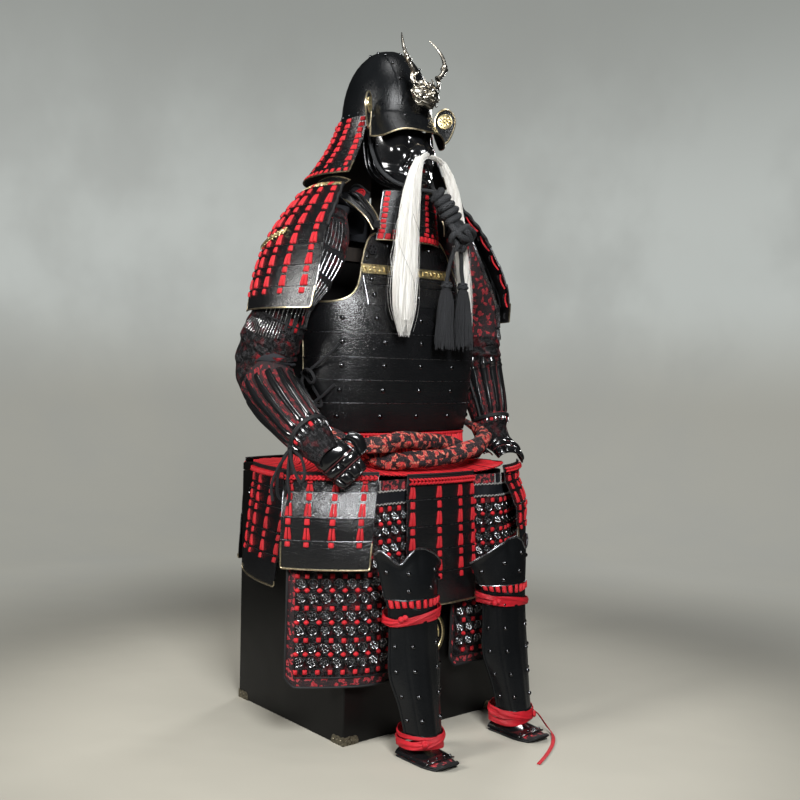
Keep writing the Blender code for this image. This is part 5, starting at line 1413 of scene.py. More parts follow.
for side, s in (("right", -1), ("left", 1)):
    p = Piece("helmet_wing_plate_" + side)
    f = wing_fn(s)
    n = unit((s * -0.79, -0.61, 0.0))
    th = turn(40)
    rings_ = [0.05, 0.30, 0.55, 0.80, 1.0]
    P = np.array([[f(t, r) + n * (0.0012 * (1 - r)) for t in th] for r in rings_])
    a = p.grid(P, HELMET_BLACK, wrap=True)
    p.fan(a[0][:-1], f(0, 0.0) + n * 0.0012, HELMET_BLACK)
    b = p.grid(P - n * PLATE, LACQUER, wrap=True)
    p.fan(b[0][:-1], f(0, 0.0) - n * 0.0006, LACQUER)
    p.strip(a[-1], b[-1], HELMET_BLACK)
    rim(p, np.array([f(t, 1.0) for t in th]), 0.0022, closed=True)
    # gilt disc with a plain eight-petalled flower
    c = f(pi / 2, 0.10)
    e1 = unit(f(0, 1.0) - f(pi, 1.0))
    e2 = np.array([0, 0, 1.0])

    def disc(r, h):
        return np.array([c + (e1 * cos(t) + e2 * sin(t)) * r + n * h for t in turn(28)])
    P = np.array([disc(0.0172, 0.0006), disc(0.0170, 0.0024), disc(0.0160, 0.0028), disc(0.0150, 0.0022), disc(0.004, 0.0022)])
    i_ = p.grid(P, GOLD_RELIEF, wrap=True)
    p.fan(i_[-1][:-1], c + n * 0.0022, GOLD_RELIEF)
    for k in range(8):
        t = 2 * pi * k / 8
        m = c + (e1 * cos(t) + e2 * sin(t)) * 0.0088 + n * 0.0021
        d, q = e1 * cos(t) + e2 * sin(t), -e1 * sin(t) + e2 * cos(t)
        Q = []
        for r, h in ((1.0, 0.0), (0.8, 0.0011), (0.4, 0.0015)):
            Q.append([m + (d * 0.0050 * cos(v) + q * 0.0029 * sin(v)) * r + n * h for v in turn(10)])
        j_ = p.grid(np.array(Q), GOLD_RELIEF, wrap=True)
        p.fan(j_[-1][:-1], m + n * 0.0016, GOLD_RELIEF)
    p.dome(c + n * 0.0020, n, 0.0034, 0.0026, GOLD_RELIEF, 12)
    p.done("helmet_wing_" + side, slot="black_lacquer")

# ---- beast crest: a horned lion-like mask in silver, of no particular creature
p = Piece("crest_head_relief")
CR = np.array([0.0, 0.0370, 1.372])


def crest_pt(x, z, d):
    """x and z across the face, d out of it (towards the front)."""
    return CR + np.array([1.27 * x, -1.12 * d + 0.16 * abs(x) ** 1.3 * 6.0 * 0.35, 1.14 * z])


def blob(cx, cz, rx, rz, h, d0=0.0, k=16, turnby=0.0, rings_=4, mat=SILVER, flat=1.0):
    P = []
    for j in range(rings_ + 1):
        q = pi / 2 * j / (rings_ + 0.6)
        r, hh = cos(q) ** flat, sin(q)
        row = []
        for t in turn(k):
            ux, uz = rx * cos(t) * r, rz * sin(t) * r
            x = ux * cos(turnby) - uz * sin(turnby)
            z = ux * sin(turnby) + uz * cos(turnby)
            row.append(crest_pt(cx + x, cz + z, d0 + h * hh))
        P.append(row)
    i_ = p.grid(np.array(P), mat, wrap=True)
    p.fan(i_[-1][:-1], crest_pt(cx, cz, d0 + h), mat)


def lick(pts, r0, r1, mat=SILVER):
    line = smooth_line(pts, 14)
    P = np.array([crest_pt(*q) for q in line])
    sc = np.linspace(r0, r1, len(P))
    p.sweep(P, ring(8, 1.0), mat, scale=sc)


# back plate
Q = []
for j, (r, d) in enumerate(((1.0, 0.0), (0.96, 0.004), (0.80, 0.0085), (0.50, 0.0110), (0.2, 0.0120))):
    row = []
    for t in turn(36):
        jag = 1 + 0.10 * cos(6 * t + 0.6) * (1 if j < 2 else 0.3)
        row.append(crest_pt(0.0290 * r * cos(t) * jag, 0.0260 * r * sin(t) * jag - 0.002, d))
    Q.append(row)
i_ = p.grid(np.array(Q), SILVER, wrap=True)
p.fan(i_[-1][:-1], crest_pt(0, -0.002, 0.0124), SILVER)
Q2 = np.array([[crest_pt(0.0275 * cos(t), 0.0245 * sin(t) - 0.002, -0.0035) for t in turn(36)]])
j_ = p.grid(np.concatenate([np.array(Q[:1]), Q2]), SILVER, wrap=True)
p.fan(j_[-1][:-1], crest_pt(0, -0.002, -0.004), SILVER)
for s in (-1, 1):
    blob(s * 0.0105, 0.0065, 0.0085, 0.0044, 0.0070, 0.0085, turnby=s * 0.35)        # brow
    blob(s * 0.0100, 0.0010, 0.0048, 0.0036, 0.0055, 0.0090)                          # eye
    blob(s * 0.0100, 0.0008, 0.0022, 0.0020, 0.0020, 0.0140, 10)
    blob(s * 0.0165, -0.0080, 0.0070, 0.0060, 0.0060, 0.0060, turnby=s * -0.5)        # cheek
    blob(s * 0.0048, -0.0060, 0.0044, 0.0036, 0.0070, 0.0110)                         # nostril
    lick([(s * 0.010, -0.012, 0.010), (s * 0.018, -0.014, 0.0100), (s * 0.026, -0.010, 0.0070), (s * 0.0285, -0.002, 0.004)], 0.0024, 0.0010)
    lick([(s * 0.012, 0.012, 0.010), (s * 0.020, 0.013, 0.0090), (s * 0.027, 0.018, 0.0060), (s * 0.026, 0.026, 0.003)], 0.0030, 0.0010)
    lick([(s * 0.016, 0.004, 0.009), (s * 0.024, 0.004, 0.0080), (s * 0.0295, 0.010, 0.0050)], 0.0024, 0.0008)
    lick([(s * 0.006, 0.013, 0.011), (s * 0.010, 0.020, 0.0090), (s * 0.008, 0.028, 0.0050)], 0.0030, 0.0010)
    lick([(s * 0.014, -0.018, 0.008), (s * 0.021, -0.022, 0.0060), (s * 0.026, -0.018, 0.0030)], 0.0022, 0.0008)
    for k in range(4):
        blob(s * (0.0030 + 0.0040 * k), -0.0140, 0.0013, 0.0024, 0.0030, 0.0105 - 0.0008 * k, 8, rings_=2)
    lick([(s * 0.027, 0.014, 0.002), (s * 0.030, 0.022, 0.001), (s * 0.030, 0.031, 0.000), (s * 0.027, 0.036, 0.000)], 0.0048, 0.0050)
lick([(-0.016, -0.0170, 0.0080), (-0.008, -0.0200, 0.0110), (0.0, -0.0210, 0.0120), (0.008, -0.0200, 0.0110), (0.016, -0.0170, 0.0080)], 0.0026, 0.0026)
lick([(-0.014, -0.0110, 0.0085), (-0.007, -0.0105, 0.0130), (0.0, -0.0100, 0.0150), (0.007, -0.0105, 0.0130), (0.014, -0.0110, 0.0085)], 0.0020, 0.0020)
blob(0.0, -0.0020, 0.0036, 0.0070, 0.0085, 0.0100)
blob(0.0, 0.0135, 0.0040, 0.0075, 0.0060, 0.0090)
p.done("crest_head", slot="antique_silver", smooth=60)

for side, s in (("right", -1), ("left", 1)):
    p = Piece("crest_horn_relief_" + side)
    rows = np.array([track(HORN, t) for t in span(0, 1, 44)])
    pts = rows[:, :3] * (s, 1, 1)
    base = rows[:, 3]
    t = np.linspace(0, 1, 45)
    ribs = 0.06 * np.sin(t * 2 * pi * 15) * (t < 0.62) + 0.02 * np.sin(t * 2 * pi * 15) * (t >= 0.62)
    collars = 0.75 * np.exp(-((t - 0.36) / 0.018) ** 2) + 0.55 * np.exp(-((t - 0.44) / 0.016) ** 2) + 0.40 * np.exp(-((t - 0.02) / 0.03) ** 2)
    p.sweep(pts, ring(12, 1.0), SILVER, scale=base * (0.90 + ribs + collars))
    p.done("crest_horn_" + side, slot="antique_silver")


# ============================================== mask, throat guard and moustache
def bell(x, s):
    return np.exp(-(x / s) ** 2)


def face_out(p_, z):
    """Relief of a calm, plain iron face: how far each point stands out."""
    a = abs(p_)
    o = 0.0
    o += 0.0100 * bell(a - 0.70, 0.27) * bell(z - 1.2480, 0.0200)           # cheek
    o -= 0.0050 * bell(a - 0.30, 0.10) * bell(z - 1.2660, 0.0120)           # hollow beside the nose
    o += 0.0066 * bell(a - 0.150, 0.065) * bell(z - 1.2350, 0.0075)          # nostril wing
    o -= 0.0060 * bell(a - 0.075, 0.035) * bell(z - 1.2272, 0.0036)          # nostril
    d = (a - (0.27 + (1.240 - z) * 9.5)) / 0.055
    o -= 0.0034 * np.exp(-d * d) * bell(z - 1.2250, 0.0170)                    # fold from the nose to the jaw
    d = (a - (0.40 + (1.240 - z) * 9.0)) / 0.080
    o += 0.0034 * np.exp(-d * d) * bell(z - 1.2260, 0.0170)
    o += 0.0040 * bell(z - 1.2215, 0.0028) * (1 / (1 + np.exp((a - 0.46) / 0.03)))   # upper lip
    o += 0.0044 * bell(z - 1.2010, 0.0032) * (1 / (1 + np.exp((a - 0.44) / 0.03)))   # lower lip
    o -= 0.0030 * bell(z - 1.1930, 0.0034) * (1 / (1 + np.exp((a - 0.40) / 0.05)))
    o += 0.0072 * bell(z - 1.1810, 0.0085) * bell(a, 0.42)                   # chin
    o += 0.0034 * bell(z - (1.1860 + 0.016 * a), 0.0060) * bell(a - 0.95, 0.40)   # jaw
    o -= 0.0020 * bell(z - (1.2050 + 0.016 * a), 0.0060) * bell(a - 0.85, 0.30)
    m = (1 / (1 + np.exp((a - 0.40 + 14 * abs(z - 1.2110) ** 1.0) / 0.018))) * bell(z - 1.2112, 0.0062)
    o -= 0.0120 * m                                                          # mouth
    return float(o)


p = Piece("face_mask_iron")
ps = sorted(set(np.round(np.concatenate([np.linspace(-0.62, 0.62, 66), np.linspace(-1.62, -0.62, 17), np.linspace(0.62, 1.62, 17)]), 4)))
zs = np.concatenate([np.linspace(1.166, 1.232, 44), np.linspace(1.234, 1.294, 20)])
P = np.array([[mask_fn(q, z, face_out(q, z)) for q in ps] for z in zs])
a, b, N = p.shell(P, GLOSS, 0.0020, ref=(0.0, 0.12, None), back=LACQUER_IN)
# rolled edge, and the cheek flange at each side
edge = np.concatenate([P[::-1, 0], P[0], P[:, -1]])
p.tube(edge, 0.0017, GLOSS, 8)
for s in (-1, 1):
    for q0, h, r in ((1.34, 0.0050, 0.0016), (1.50, 0.0030, 0.0013)):
        line = [mask_fn(s * (q0 - 0.10 * ((z - 1.225) / 0.06) ** 2), z, h) for z in np.linspace(1.180, 1.282, 18)]
        p.tube(np.array(line), r, GLOSS, 8)
        # fine painted highlight bead beside each flange line
        p.tube(np.array(line) + (s * 0.0012, -0.0006, 0.0), 0.0006, EDGE, 6)
    strip_box(p, lambda u, w, o, s=s: mask_fn(s * u, w, o), 1.34, 1.52, 1.190, 1.280, 0.0030, GLOSS, 6, 14)
    p.rivet(lambda u, w, o, s=s: mask_fn(s * u, w, o), 1.20, 1.262, RIVET, 0.0034, 0.0040)
    c, _, _, n, _, _ = frame_at(lambda u, w, o, s=s: mask_fn(s * u, w, o), 1.05, 1.196)
    p.dome(c + n * 0.003, n, 0.0024, 0.0060, GLOSS, 10)
# inside of the mouth, and the row of teeth left plain
P = []
for z in np.linspace(1.2060, 1.2168, 5):
    P.append([np.array(mask_fn(q, z)) + (0, 0.0095, 0) for q in np.linspace(-0.36, 0.36, 15)])
p.shell(np.array(P), MOUTH, 0.0010, ref=(0.0, 0.12, None))
p.done("face_mask", slot="gloss_lacquer", smooth=60)

# ---- throat guard: three lames with red lacing and a gilt lower edge
p = Piece("throat_guard_lames")
us = span(-1, 1, 24)
edges = [0.0, 1 / 3, 2 / 3, 1.0]
lames(p, throat_fn, us, edges, HELMET_BLACK, first=STEP, ref=(0.0, 0.12, None), rows=3, back=LACQUER_IN)
cols = (-0.90, -0.36, 0.36, 0.90)
for k in range(3):
    for u in cols:
        for t0, t1 in ((0.05, 0.34), (0.40, 0.68), (0.74, 0.98)) if k < 2 else ((0.05, 0.32), (0.38, 0.60)):
            w0, w1 = (k + t0) / 3, (k + t1) / 3
            p.pad(throat_fn, u, w0, w1, 0.0125, 0.0130, 0.0040, LACE, 1, 0.0006, STEP * (1 - (t0 + t1) / 2))
for i in range(13):
    u = -0.92 + 1.84 * i / 12
    p.pad(throat_fn, u, 0.868, 0.985, 0.0128, 0.0132, 0.0046, LACE, 1, 0.0006, 0.0002)
    if i % 2 == 0:
        p.pad(throat_fn, u, 0.785, 0.858, 0.0122, 0.0124, 0.0040, LACE, 1, 0.0006, 0.0008)
rim(p, np.array([throat_fn(u, 1.0, 0.0004) for u in us]), 0.0017)
# painted highlight beads down both sides
for s in (-1, 1):
    rim(p, np.array([throat_fn(s, w, 0.0012) for w in span(0.02, 1, 12)]), 0.0013, EDGE)
p.done("throat_guard", slot="black_lacquer")


# ---- moustache: long white horsehair in two hanks
def hair_fn(rows):
    def f(th, t, r=1.0):
        x, y, z, a, b = track(rows, t)
        return np.array([x + a * r * cos(th), y + b * r * sin(th), z])
    return f


for side, seed in (("right", 21), ("left", 22)):
    rng = np.random.default_rng(seed)
    f = hair_fn(MOUSTACHE[side])
    s = -1 if side == "right" else 1
    p = Piece("moustache_hair_" + side)
    ts = span(0, 0.90, 26)
    P = []
    for t in ts:
        row = []
        for th in turn(30):
            comb = 1 + 0.10 * sin(9 * th + 2.0 * sin(5 * t + seed)) + 0.05 * sin(23 * th + 7 * t)
            row.append(f(th, t, 0.74 * comb * (1.0 if t < 0.8 else 1.0 - 2.2 * (t - 0.8))))
        P.append(row)
    idx = p.grid(np.array(P), HAIR, wrap=True)
    p.fan(idx[0][:-1], f(0, 0, 0), HAIR)
    p.fan(idx[-1][:-1], f(0, 0.90, 0), HAIR)
    for j in range(330):
        th0 = rng.uniform(0, 2 * pi)
        r0 = rng.uniform(0.62, 1.0)
        stray = rng.random() < 0.07
        dth, ph = rng.normal(0, 0.35), rng.uniform(0, 6.3)
        tend = rng.uniform(0.86, 1.0)
        pts = []
        for i in range(13):
            q = i / 12
            t = 0.01 + (tend - 0.01) * q
            r = r0 * (0.86 + 0.14 * sin(ph + 5 * q)) * (1.0 + (0.30 * q if stray else 0.0))
            c = f(th0 + dth * q, t, r)
            c = c + np.array([0.0009 * sin(ph + 7 * q), 0.0009 * cos(ph + 6 * q), 0]) * q
            pts.append(c)
        p.sweep(pts, ring(3, 0.00078 if not stray else 0.00038), HAIR, scale=np.linspace(1.0, 0.45, 13), caps=False)
    # the root runs up beside the nose over the lip
    root = smooth_line([(s * 0.004, 0.0200, 1.2330), (s * 0.010, 0.0170, 1.2335), (s * 0.020, 0.0140, 1.2300), (s * 0.030, 0.0125, 1.2230)], 12)
    for j in range(46):
        off = rng.normal(0, 1, 3) * (0.0022, 0.0018, 0.0024)
        p.sweep(root + off, ring(3, 0.0008), HAIR, scale=np.linspace(0.7, 1.0, 13), caps=False)
    p.done("moustache_" + side, slot="white_hair", smooth=80)
# a few stray dark threads caught in the hair
p = Piece("moustache_stray_threads")
rng = np.random.default_rng(5)
for j in range(26):
    s = -1 if j % 2 else 1
    f = hair_fn(MOUSTACHE["right" if s < 0 else "left"])
    t0, t1 = rng.uniform(0.1, 0.4), rng.uniform(0.6, 1.0)
    th = rng.uniform(0, 2 * pi)
    ph, amp = rng.uniform(0, 6), rng.uniform(0.15, 0.65)
    pts = [f(th + 0.9 * sin(ph + 4 * q), t0 + (t1 - t0) * q, 1.05 + amp * q) for q in span(0, 1, 16)]
    p.sweep(pts, ring(3, 0.00028), HAIR_DARK if j % 3 else HAIR, caps=False)
p.done(slot="white_hair")


# ================================================================ the cuirass
p = Piece("cuirass_shell")
phis = even(lambda t: do_fn(t, 0.80), 0, 2 * pi, 120)[:-1]
phis = [t if t <= pi else t - 2 * pi for t in phis]
edges = list(DO_LINES[::-1])
lames(p, do_fn, phis, edges, LACQUER, first=STEP, ref=(0.0, 0.18, None), wrap=True, rows=5, back=LACQUER_IN, bead_r=0.0009)
# upper part: from the armpit line to the cut edge
ws = [2.0 - 0.012] + span(2.0, 3.0, 12)


def chest_fn(t, w, out=0.0):
    if w < 2.0:
        x, y, z = do_fn(t, 0.9062, out)
        return x, y, z - 0.006
    return do_fn(t, w, out)


P = np.array([[chest_fn(t, w, 0.0) for t in phis] for w in ws])
a, b, N = p.shell(P, LACQUER, PLATE, ref=(0.0, 0.18, None), wrap=True, back=LACQUER_IN)
rim(p, P[-1] + N[-1] * -0.0009, 0.0025, GOLD, 10, closed=True)
# chest panel, a little proud, with its own lame line and painted highlight beads along its upper edge and sides
for x_edge, z0, z1, h, mat in ((0.1345, 0.9085, 0.9515, 0.0016, LACQUER), (0.1345, 0.9535, 0.9700, 0.0014, LACQUER)):
    xs = span(-x_edge, x_edge, 40)
    zsp = span(z0, z1, 3)
    Q = np.array([[do_fn(do_phi(x, z), z, h + 0.0006 * (i / 3)) for x in xs] for i, z in enumerate(zsp)])
    B = np.array([[do_fn(do_phi(x, z), z, -0.0002) for x in xs] for z in zsp])
    i_, j_ = p.grid(Q, mat), p.grid(B, mat)
    for m_, n_ in ((i_[0], j_[0]), (i_[-1], j_[-1]), (i_[:, 0], j_[:, 0]), (i_[:, -1], j_[:, -1])):
        p.strip(m_, n_, mat)
    p.tube(Q[-1], 0.0007, EDGE, 6)
    p.tube(Q[:, 0], 0.0007, EDGE, 6)
    p.tube(Q[:, -1], 0.0007, EDGE, 6)
# gilt band across the chest: plain frame with a running leaf scroll
z0, z1 = 0.9760, 0.9965
xs = span(-0.1350, 0.1130, 60)
Q = np.array([[do_fn(do_phi(x, z), z, h) for x in xs] for z, h in ((z0, 0.0), (z0, 0.0022), (z0 + 0.002, 0.0030), (z0 + 0.0040, 0.0020), (z1 - 0.0040, 0.0020),
                                                                     (z1 - 0.002, 0.0030), (z1, 0.0022), (z1, 0.0))])
p.grid(Q, GOLD_RELIEF)


def band_fn(x, z, out=0.0):
    return do_fn(do_phi(x, z), z, out)


for k in range(20):
    x0 = -0.130 + 0.012 * k
    pts = [band_fn(x0 + 0.006 * q + 0.0030 * sin(2 * pi * q), 0.98625 + 0.0042 * cos(pi * (k + q)), 0.0024) for q in span(0, 1, 10)]
    p.tube(np.array(pts), 0.0010, GOLD_RELIEF, 6)
    c, _, _, n, _, _ = frame_at(band_fn, x0 + 0.003, 0.98625 + 0.0024 * (-1) ** k)
    p.dome(c + n * 0.0016, n, 0.0024, 0.0022, GOLD_RELIEF, 9, 2)
# rivets
for z in (0.671, 0.727, 0.779, 0.829, 0.879):
    inner = 0.117 if z > 0.83 else 0.097
    for x in (0.0, inner, -inner, 0.187, -0.187):
        p.rivet(do_fn, do_phi(x, z), z, RIVET, 0.0058, 0.0050, 14)
    for x in (0.0, 0.097, -0.097, 0.187, -0.187):
        t = pi - do_phi(x, z)
        p.rivet(do_fn, t, z, RIVET, 0.0058, 0.0050, 14)
for z in (0.9290, 0.9625):
    for x in (0.0, 0.117, -0.117):
        c, _, _, n, _, _ = frame_at(band_fn, x, z)
        p.dome(c + n * 0.0018, n, 0.0055, 0.0050, RIVET, 14)
for x in (0.0, 0.060, -0.060, 0.117, -0.117):
    z = 1.040 if abs(x) < 0.1 else 1.012
    p.rivet(band_fn, x, z, RIVET, 0.0058, 0.0050, 14)
for z in (0.94, 1.0, 1.06):
    for x in (0.0, 0.09, -0.09):
        t = pi - do_phi(x, z)
        p.rivet(do_fn, t, z, RIVET, 0.0058, 0.0050, 14)
# where the front overlaps the back at the wearer's right: gilt edge; hinge at the left
zs_ = span(0.640, 0.9040, 30)
rim(p, np.array([do_fn(-1.530, z, 0.0012) for z in zs_]), 0.0019)
for z in (0.690, 0.775, 0.860):
    for i in range(3):
        pts = [do_fn(1.555, z - 0.016 + 0.011 * i + 0.0095 * q, 0.0026) for q in span(0, 1, 4)]
        p.tube(np.array(pts), 0.0030, RIVET, 8)
# cord ring on the chest where the shoulder toggles tie
for s in (-1, 1):
    c, tu, tw, n, _, _ = frame_at(band_fn, s * 0.1020, 1.0290)
    for k in range(6):
        t = 2 * pi * k / 6
        m = c + n * 0.003 + (tu * cos(t) + tw * sin(t)) * 0.0068
        p.sweep([m + (tu * cos(v) + tw * sin(v)) * 0.0040 for v in turn(12)], ring(6, 0.0014), CORD_BLACK, closed=True)
    p.dome(c, n, 0.0050, 0.0048, CORD_BLACK, 12)
p.done("cuirass", slot="black_lacquer")

# ---- collar: quilted cloth with a stitched red oval at each side
p = Piece("collar_cloth_band")
cp = span(radians(62), radians(298), 60)
def collar_top(t):
    """The collar stands higher at the sides of the neck."""
    side = abs(pi - t) - radians(82)
    return 1.146 + 0.038 * float(np.exp(-(side / 0.62) ** 2))


P = np.array([[collar_fn(t, 1.070 + (collar_top(t) - 1.070) * q, 0.0014 * sin(q * pi)) for t in cp] for q in span(0, 1, 10)])
p.shell(P, COLLAR_MAT, 0.0040, ref=(0.0, 0.18, None), edge=PIPING)
p.tube(P[-1] - (0, 0, 0.0006), 0.0030, PIPING, 8)
collar_ob = p.done("collar", slot="black_lacquer")
p = Piece("collar_red_stitching")
for s in (-1, 1):
    tc = radians(279) if s < 0 else radians(81)
    for k, (ra, rb) in enumerate(((0.0150, 0.0105), (0.0105, 0.0066))):
        pts = []
        for v in turn(36):
            _, _, _, _, lu, lw = frame_at(collar_fn, tc, 1.160)
            pts.append(collar_fn(tc + ra * cos(v) / lu, 1.160 + rb * sin(v) / lw, 0.0024))
        p.tube(np.array(pts), 0.0012, LACE, 6, closed=True)
    for k in range(5):
        du = -0.006 + 0.003 * k
        _, _, _, _, lu, _ = frame_at(collar_fn, tc, 1.160)
        pts = [collar_fn(tc + du / lu, 1.160 + q, 0.0022) for q in span(-0.0052, 0.0052, 5)]
        p.tube(np.array(pts), 0.0009, LACE, 6)
p.done(slot="red_lacing")

# ---- shoulder straps: black lacquer with fine gilt edges, toggle and cord
for side, s in (("right", -1), ("left", 1)):
    f = strap_fn(s)
    p = Piece("shoulder_strap_plate_" + side)
    ts = span(0.004, 0.996, 34)
    P = np.array([[f(w, t, 0.0) for w in span(-1, 1, 8)] for t in ts])
    up = f(0, 0.4, 0.01)[2] > f(0, 0.4, 0.0)[2]
    sg = 1.0 if up else -1.0
    a, b, N = p.shell(P, LACQUER, 0.0034, ref=(0.0, 0.18, 1.0))
    for w in (-1.0, 1.0):
        rim(p, np.array([f(w, t, 0.0) for t in ts]), 0.0016, GOLD)
    # toggle and its loop of cord
    for t in (0.66,):
        c = f(0.0, t, sg * 0.004)
        d = unit(f(0.0, t + 0.05, 0) - f(0.0, t - 0.05, 0))
        e = unit(f(0.3, t, 0) - f(-0.3, t, 0))
        n = unit(np.cross(d, e))
        n = n if n[2] > 0 else -n
        pts = [c + d * q for q in np.linspace(-0.016, 0.016, 11)]
        p.sweep(pts, ring(10, 0.0062, 0.0045), GLOSS, nrm=n, scale=np.sin(np.linspace(0.25, pi - 0.25, 11)) ** 0.6)
        for off in (-0.005, 0.005):
            line = [c + e * off + n * 0.003 - d * 0.002, c + e * off * 1.2 + d * 0.020 + n * 0.002, np.array(f(off * 30, t + 0.20, sg * 0.004)),
                    np.array(f(off * 20, 0.93, sg * 0.004)), np.array(f(0.0, 0.995, sg * 0.004))]
            p.tube(smooth_line(line, 20), 0.0023, CORD_BLACK, 8)
    c = f(0.0, 0.97, sg * 0.004)
    for i in range(3):
        p.sweep([c + np.array([0.006 * cos(t), 0.002 * sin(2 * t + i), 0.0065 * sin(t + 0.7 * i)]) for t in turn(18)], ring(8, 0.0024), CORD_BLACK, closed=True)
    p.done("shoulder_strap_" + side, slot="black_lacquer")


# ============================================================ shoulder guards
def plate_pad(p, fn, u0, u1, w0, w1, h, mat, power=6.0, n=9, base=0.0):
    """A rounded plate standing on a surface."""
    P = []
    for j in range(n):
        b = -cos(pi * j / (n - 1))
        row = []
        for i in range(n):
            a = -cos(pi * i / (n - 1))
            o = h * ((1 - abs(a) ** power) * (1 - abs(b) ** power)) ** 0.5 - 0.0006
            row.append(fn(u0 + (u1 - u0) * (a + 1) / 2, w0 + (w1 - w0) * (b + 1) / 2, base + o))
        P.append(row)
    p.grid(np.array(P), mat)


SODE_COLS = (-0.80, -0.38, 0.03, 0.44, 0.83)
for side, s in (("right", -1), ("left", 1)):
    f = sode_fn(s)
    p = Piece("shoulder_guard_lames_" + side)
    us = span(-1, 1, 40)
    ref = (s * 0.15, 0.18, 0.98)
    edges = [k / SODE_LAMES for k in range(SODE_LAMES + 1)]
    lames(p, f, us, edges, LACQUER, ref=ref, tuck=0.016, rows=5, back=LACQUER_IN)
    for k in range(SODE_LAMES):
        laced(p, f, SODE_COLS, edges[k], edges[k + 1], block=(0.06, 0.34), pair=(0.43, 0.97), wide=(0.0125, 0.0120, 0.0180), h=0.0042, do_pair=k < 5)
    # painted highlight edge up the front of each lame, gilt rim round the lowest
    for k in range(5):
        rim(p, np.array([f(-1.0, w, STEP * (1 - (w - edges[k]) * 6)) for w in span(edges[k], edges[k + 1], 4)]), 0.0009, EDGE, 6)
    corner = 0.06
    line = [f(-1.0, w, STEP * (1 - (w - 0.8333) * 6)) for w in span(0.8333, 0.975, 6)]
    line += [f(-1.0 + corner * (1 - cos(q)) * 0.5, 0.975 + 0.025 * sin(q), 0.0004) for q in span(0.2, pi / 2, 4)]
    line += [f(u, 1.0, 0.0004) for u in span(-0.95, 0.98, 40)]
    line += [f(1.0, w, 0.0004) for w in span(0.975, 0.8333, 5)]
    rim(p, np.array(line), 0.0017)
    # crescent cap, its gilt edge and a running gilt scroll with red knots under it
    cap = span(-1.0, 0.03, 10)
    P = np.array([[f(u, w, 0.0) for u in us] for w in cap])
    p.shell(P, LACQUER, PLATE, ref=ref, back=LACQUER_IN)
    rim(p, P[0], 0.0016)
    for sg in (-1, 1):
        rim(p, np.array([f(sg, w, 0.0) for w in cap]), 0.0014)
    for k in range(26):
        u0 = -0.93 + 1.86 * k / 26
        red = k in (4, 5, 14, 15)
        if red:
            p.pad(f, u0 + 0.035, -0.42, -0.08, 0.0070, 0.0075, 0.0040, LACE, 1, 0.0004, 0.0)
            continue
        pts = [f(u0 + 0.072 * q, -0.24 + 0.16 * sin(2 * pi * q + k), 0.0018) for q in span(0, 1, 8)]
        p.tube(np.array(pts), 0.0011, GOLD_RELIEF, 6)
        c, _, _, n, _, _ = frame_at(f, u0 + 0.036, -0.24 + 0.10 * (-1) ** k)
        p.dome(c, n, 0.0028, 0.0026, GOLD_RELIEF, 8, 2)
    # padded piping at the upper front corner
    pts = [f(-1.0, w, 0.0012 + 0.0012 * sin(w * 70)) for w in span(-0.10, 0.36, 40)]
    p.sweep(np.array(pts), ring(10, 0.0036), PIPING, scale=1 + 0.22 * np.sin(np.linspace(0, 34, 41)))
    # gilt fretwork plaque: two plain waves crossing, with a bud in each eye
    def plaque(q, v, o=0.0):
        return f(-0.10 + 1.06 * q, 0.376 + 0.092 * q + v, 0.0052 + o)
    for sg in (-1, 1):
        pts = [plaque(q, 0.011 * sg * sin(9 * pi * q), 0.0) for q in span(0, 1, 70)]
        p.tube(np.array(pts), 0.0017, GOLD_RELIEF, 7)
        pts = [plaque(q, 0.019 * sg * (0.75 + 0.25 * cos(18 * pi * q)), -0.0006) for q in span(0, 1, 70)]
        p.tube(np.array(pts), 0.0012, GOLD_RELIEF, 6)
    for k in range(9):
        c, tu, tw, n, _, _ = frame_at(lambda u, w, o: plaque(u, w, o), (k + 0.5) / 9, 0.0)
        p.dome(c - n * 0.001, n, 0.0036, 0.0030, GOLD_RELIEF, 10, 2)
        for sg in (-1, 1):
            c2 = np.array(plaque((k + 0.5) / 9, 0.021 * sg, -0.001))
            p.dome(c2, n, 0.0022, 0.0018, GOLD_RELIEF, 8, 2)
    # ring and cord by which it hangs from the strap
    for u in (-0.45, 0.45):
        a_, b_ = np.array(f(u, -0.9, -0.001)), np.array(strap_fn(s)(0.6, 0.45 + 0.25 * -u, 0.002))
        mid = (a_ + b_) / 2 + (0, 0, 0.006)
        p.tube(smooth_line([a_, mid, b_], 14), 0.0024, CORD_BLACK, 8)
    p.done("shoulder_guard_" + side, slot="black_lacquer")

# inside of the left guard: its red lacing ends and carrying strings
p = Piece("shoulder_guard_left_strings")
f = sode_fn(1)
rng = np.random.default_rng(31)
for k in range(6):
    for u in SODE_COLS:
        c0 = f(u, (k + 0.55) / 6, -0.0030)
        pts = [np.array(c0) + (0.0, 0.0, 0.004), np.array(c0) - (0.002, 0, 0.002), np.array(c0) - (0.0, 0, 0.010)]
        p.tube(smooth_line(pts, 6), 0.0018, CORD_BLACK, 6)
for k in range(5):
    w = 0.10 + 0.16 * k
    pts = [f(-0.94, w, -0.004), f(-0.90, w + 0.05, -0.006), f(-0.95, w + 0.12, -0.004)]
    p.tube(smooth_line(pts, 12), 0.0020, LACE, 6)
for k in range(4):
    u0 = rng.uniform(-0.7, 0.2)
    pts = [f(u0 + 0.25 * sin(2.2 * q + k), 0.10 + 0.75 * q, -0.007 - 0.003 * sin(5 * q + k)) for q in span(0, 1, 8)]
    p.tube(smooth_line(pts, 40), 0.0013, CORD_BLACK, 6)
p.done(slot="red_lacing")

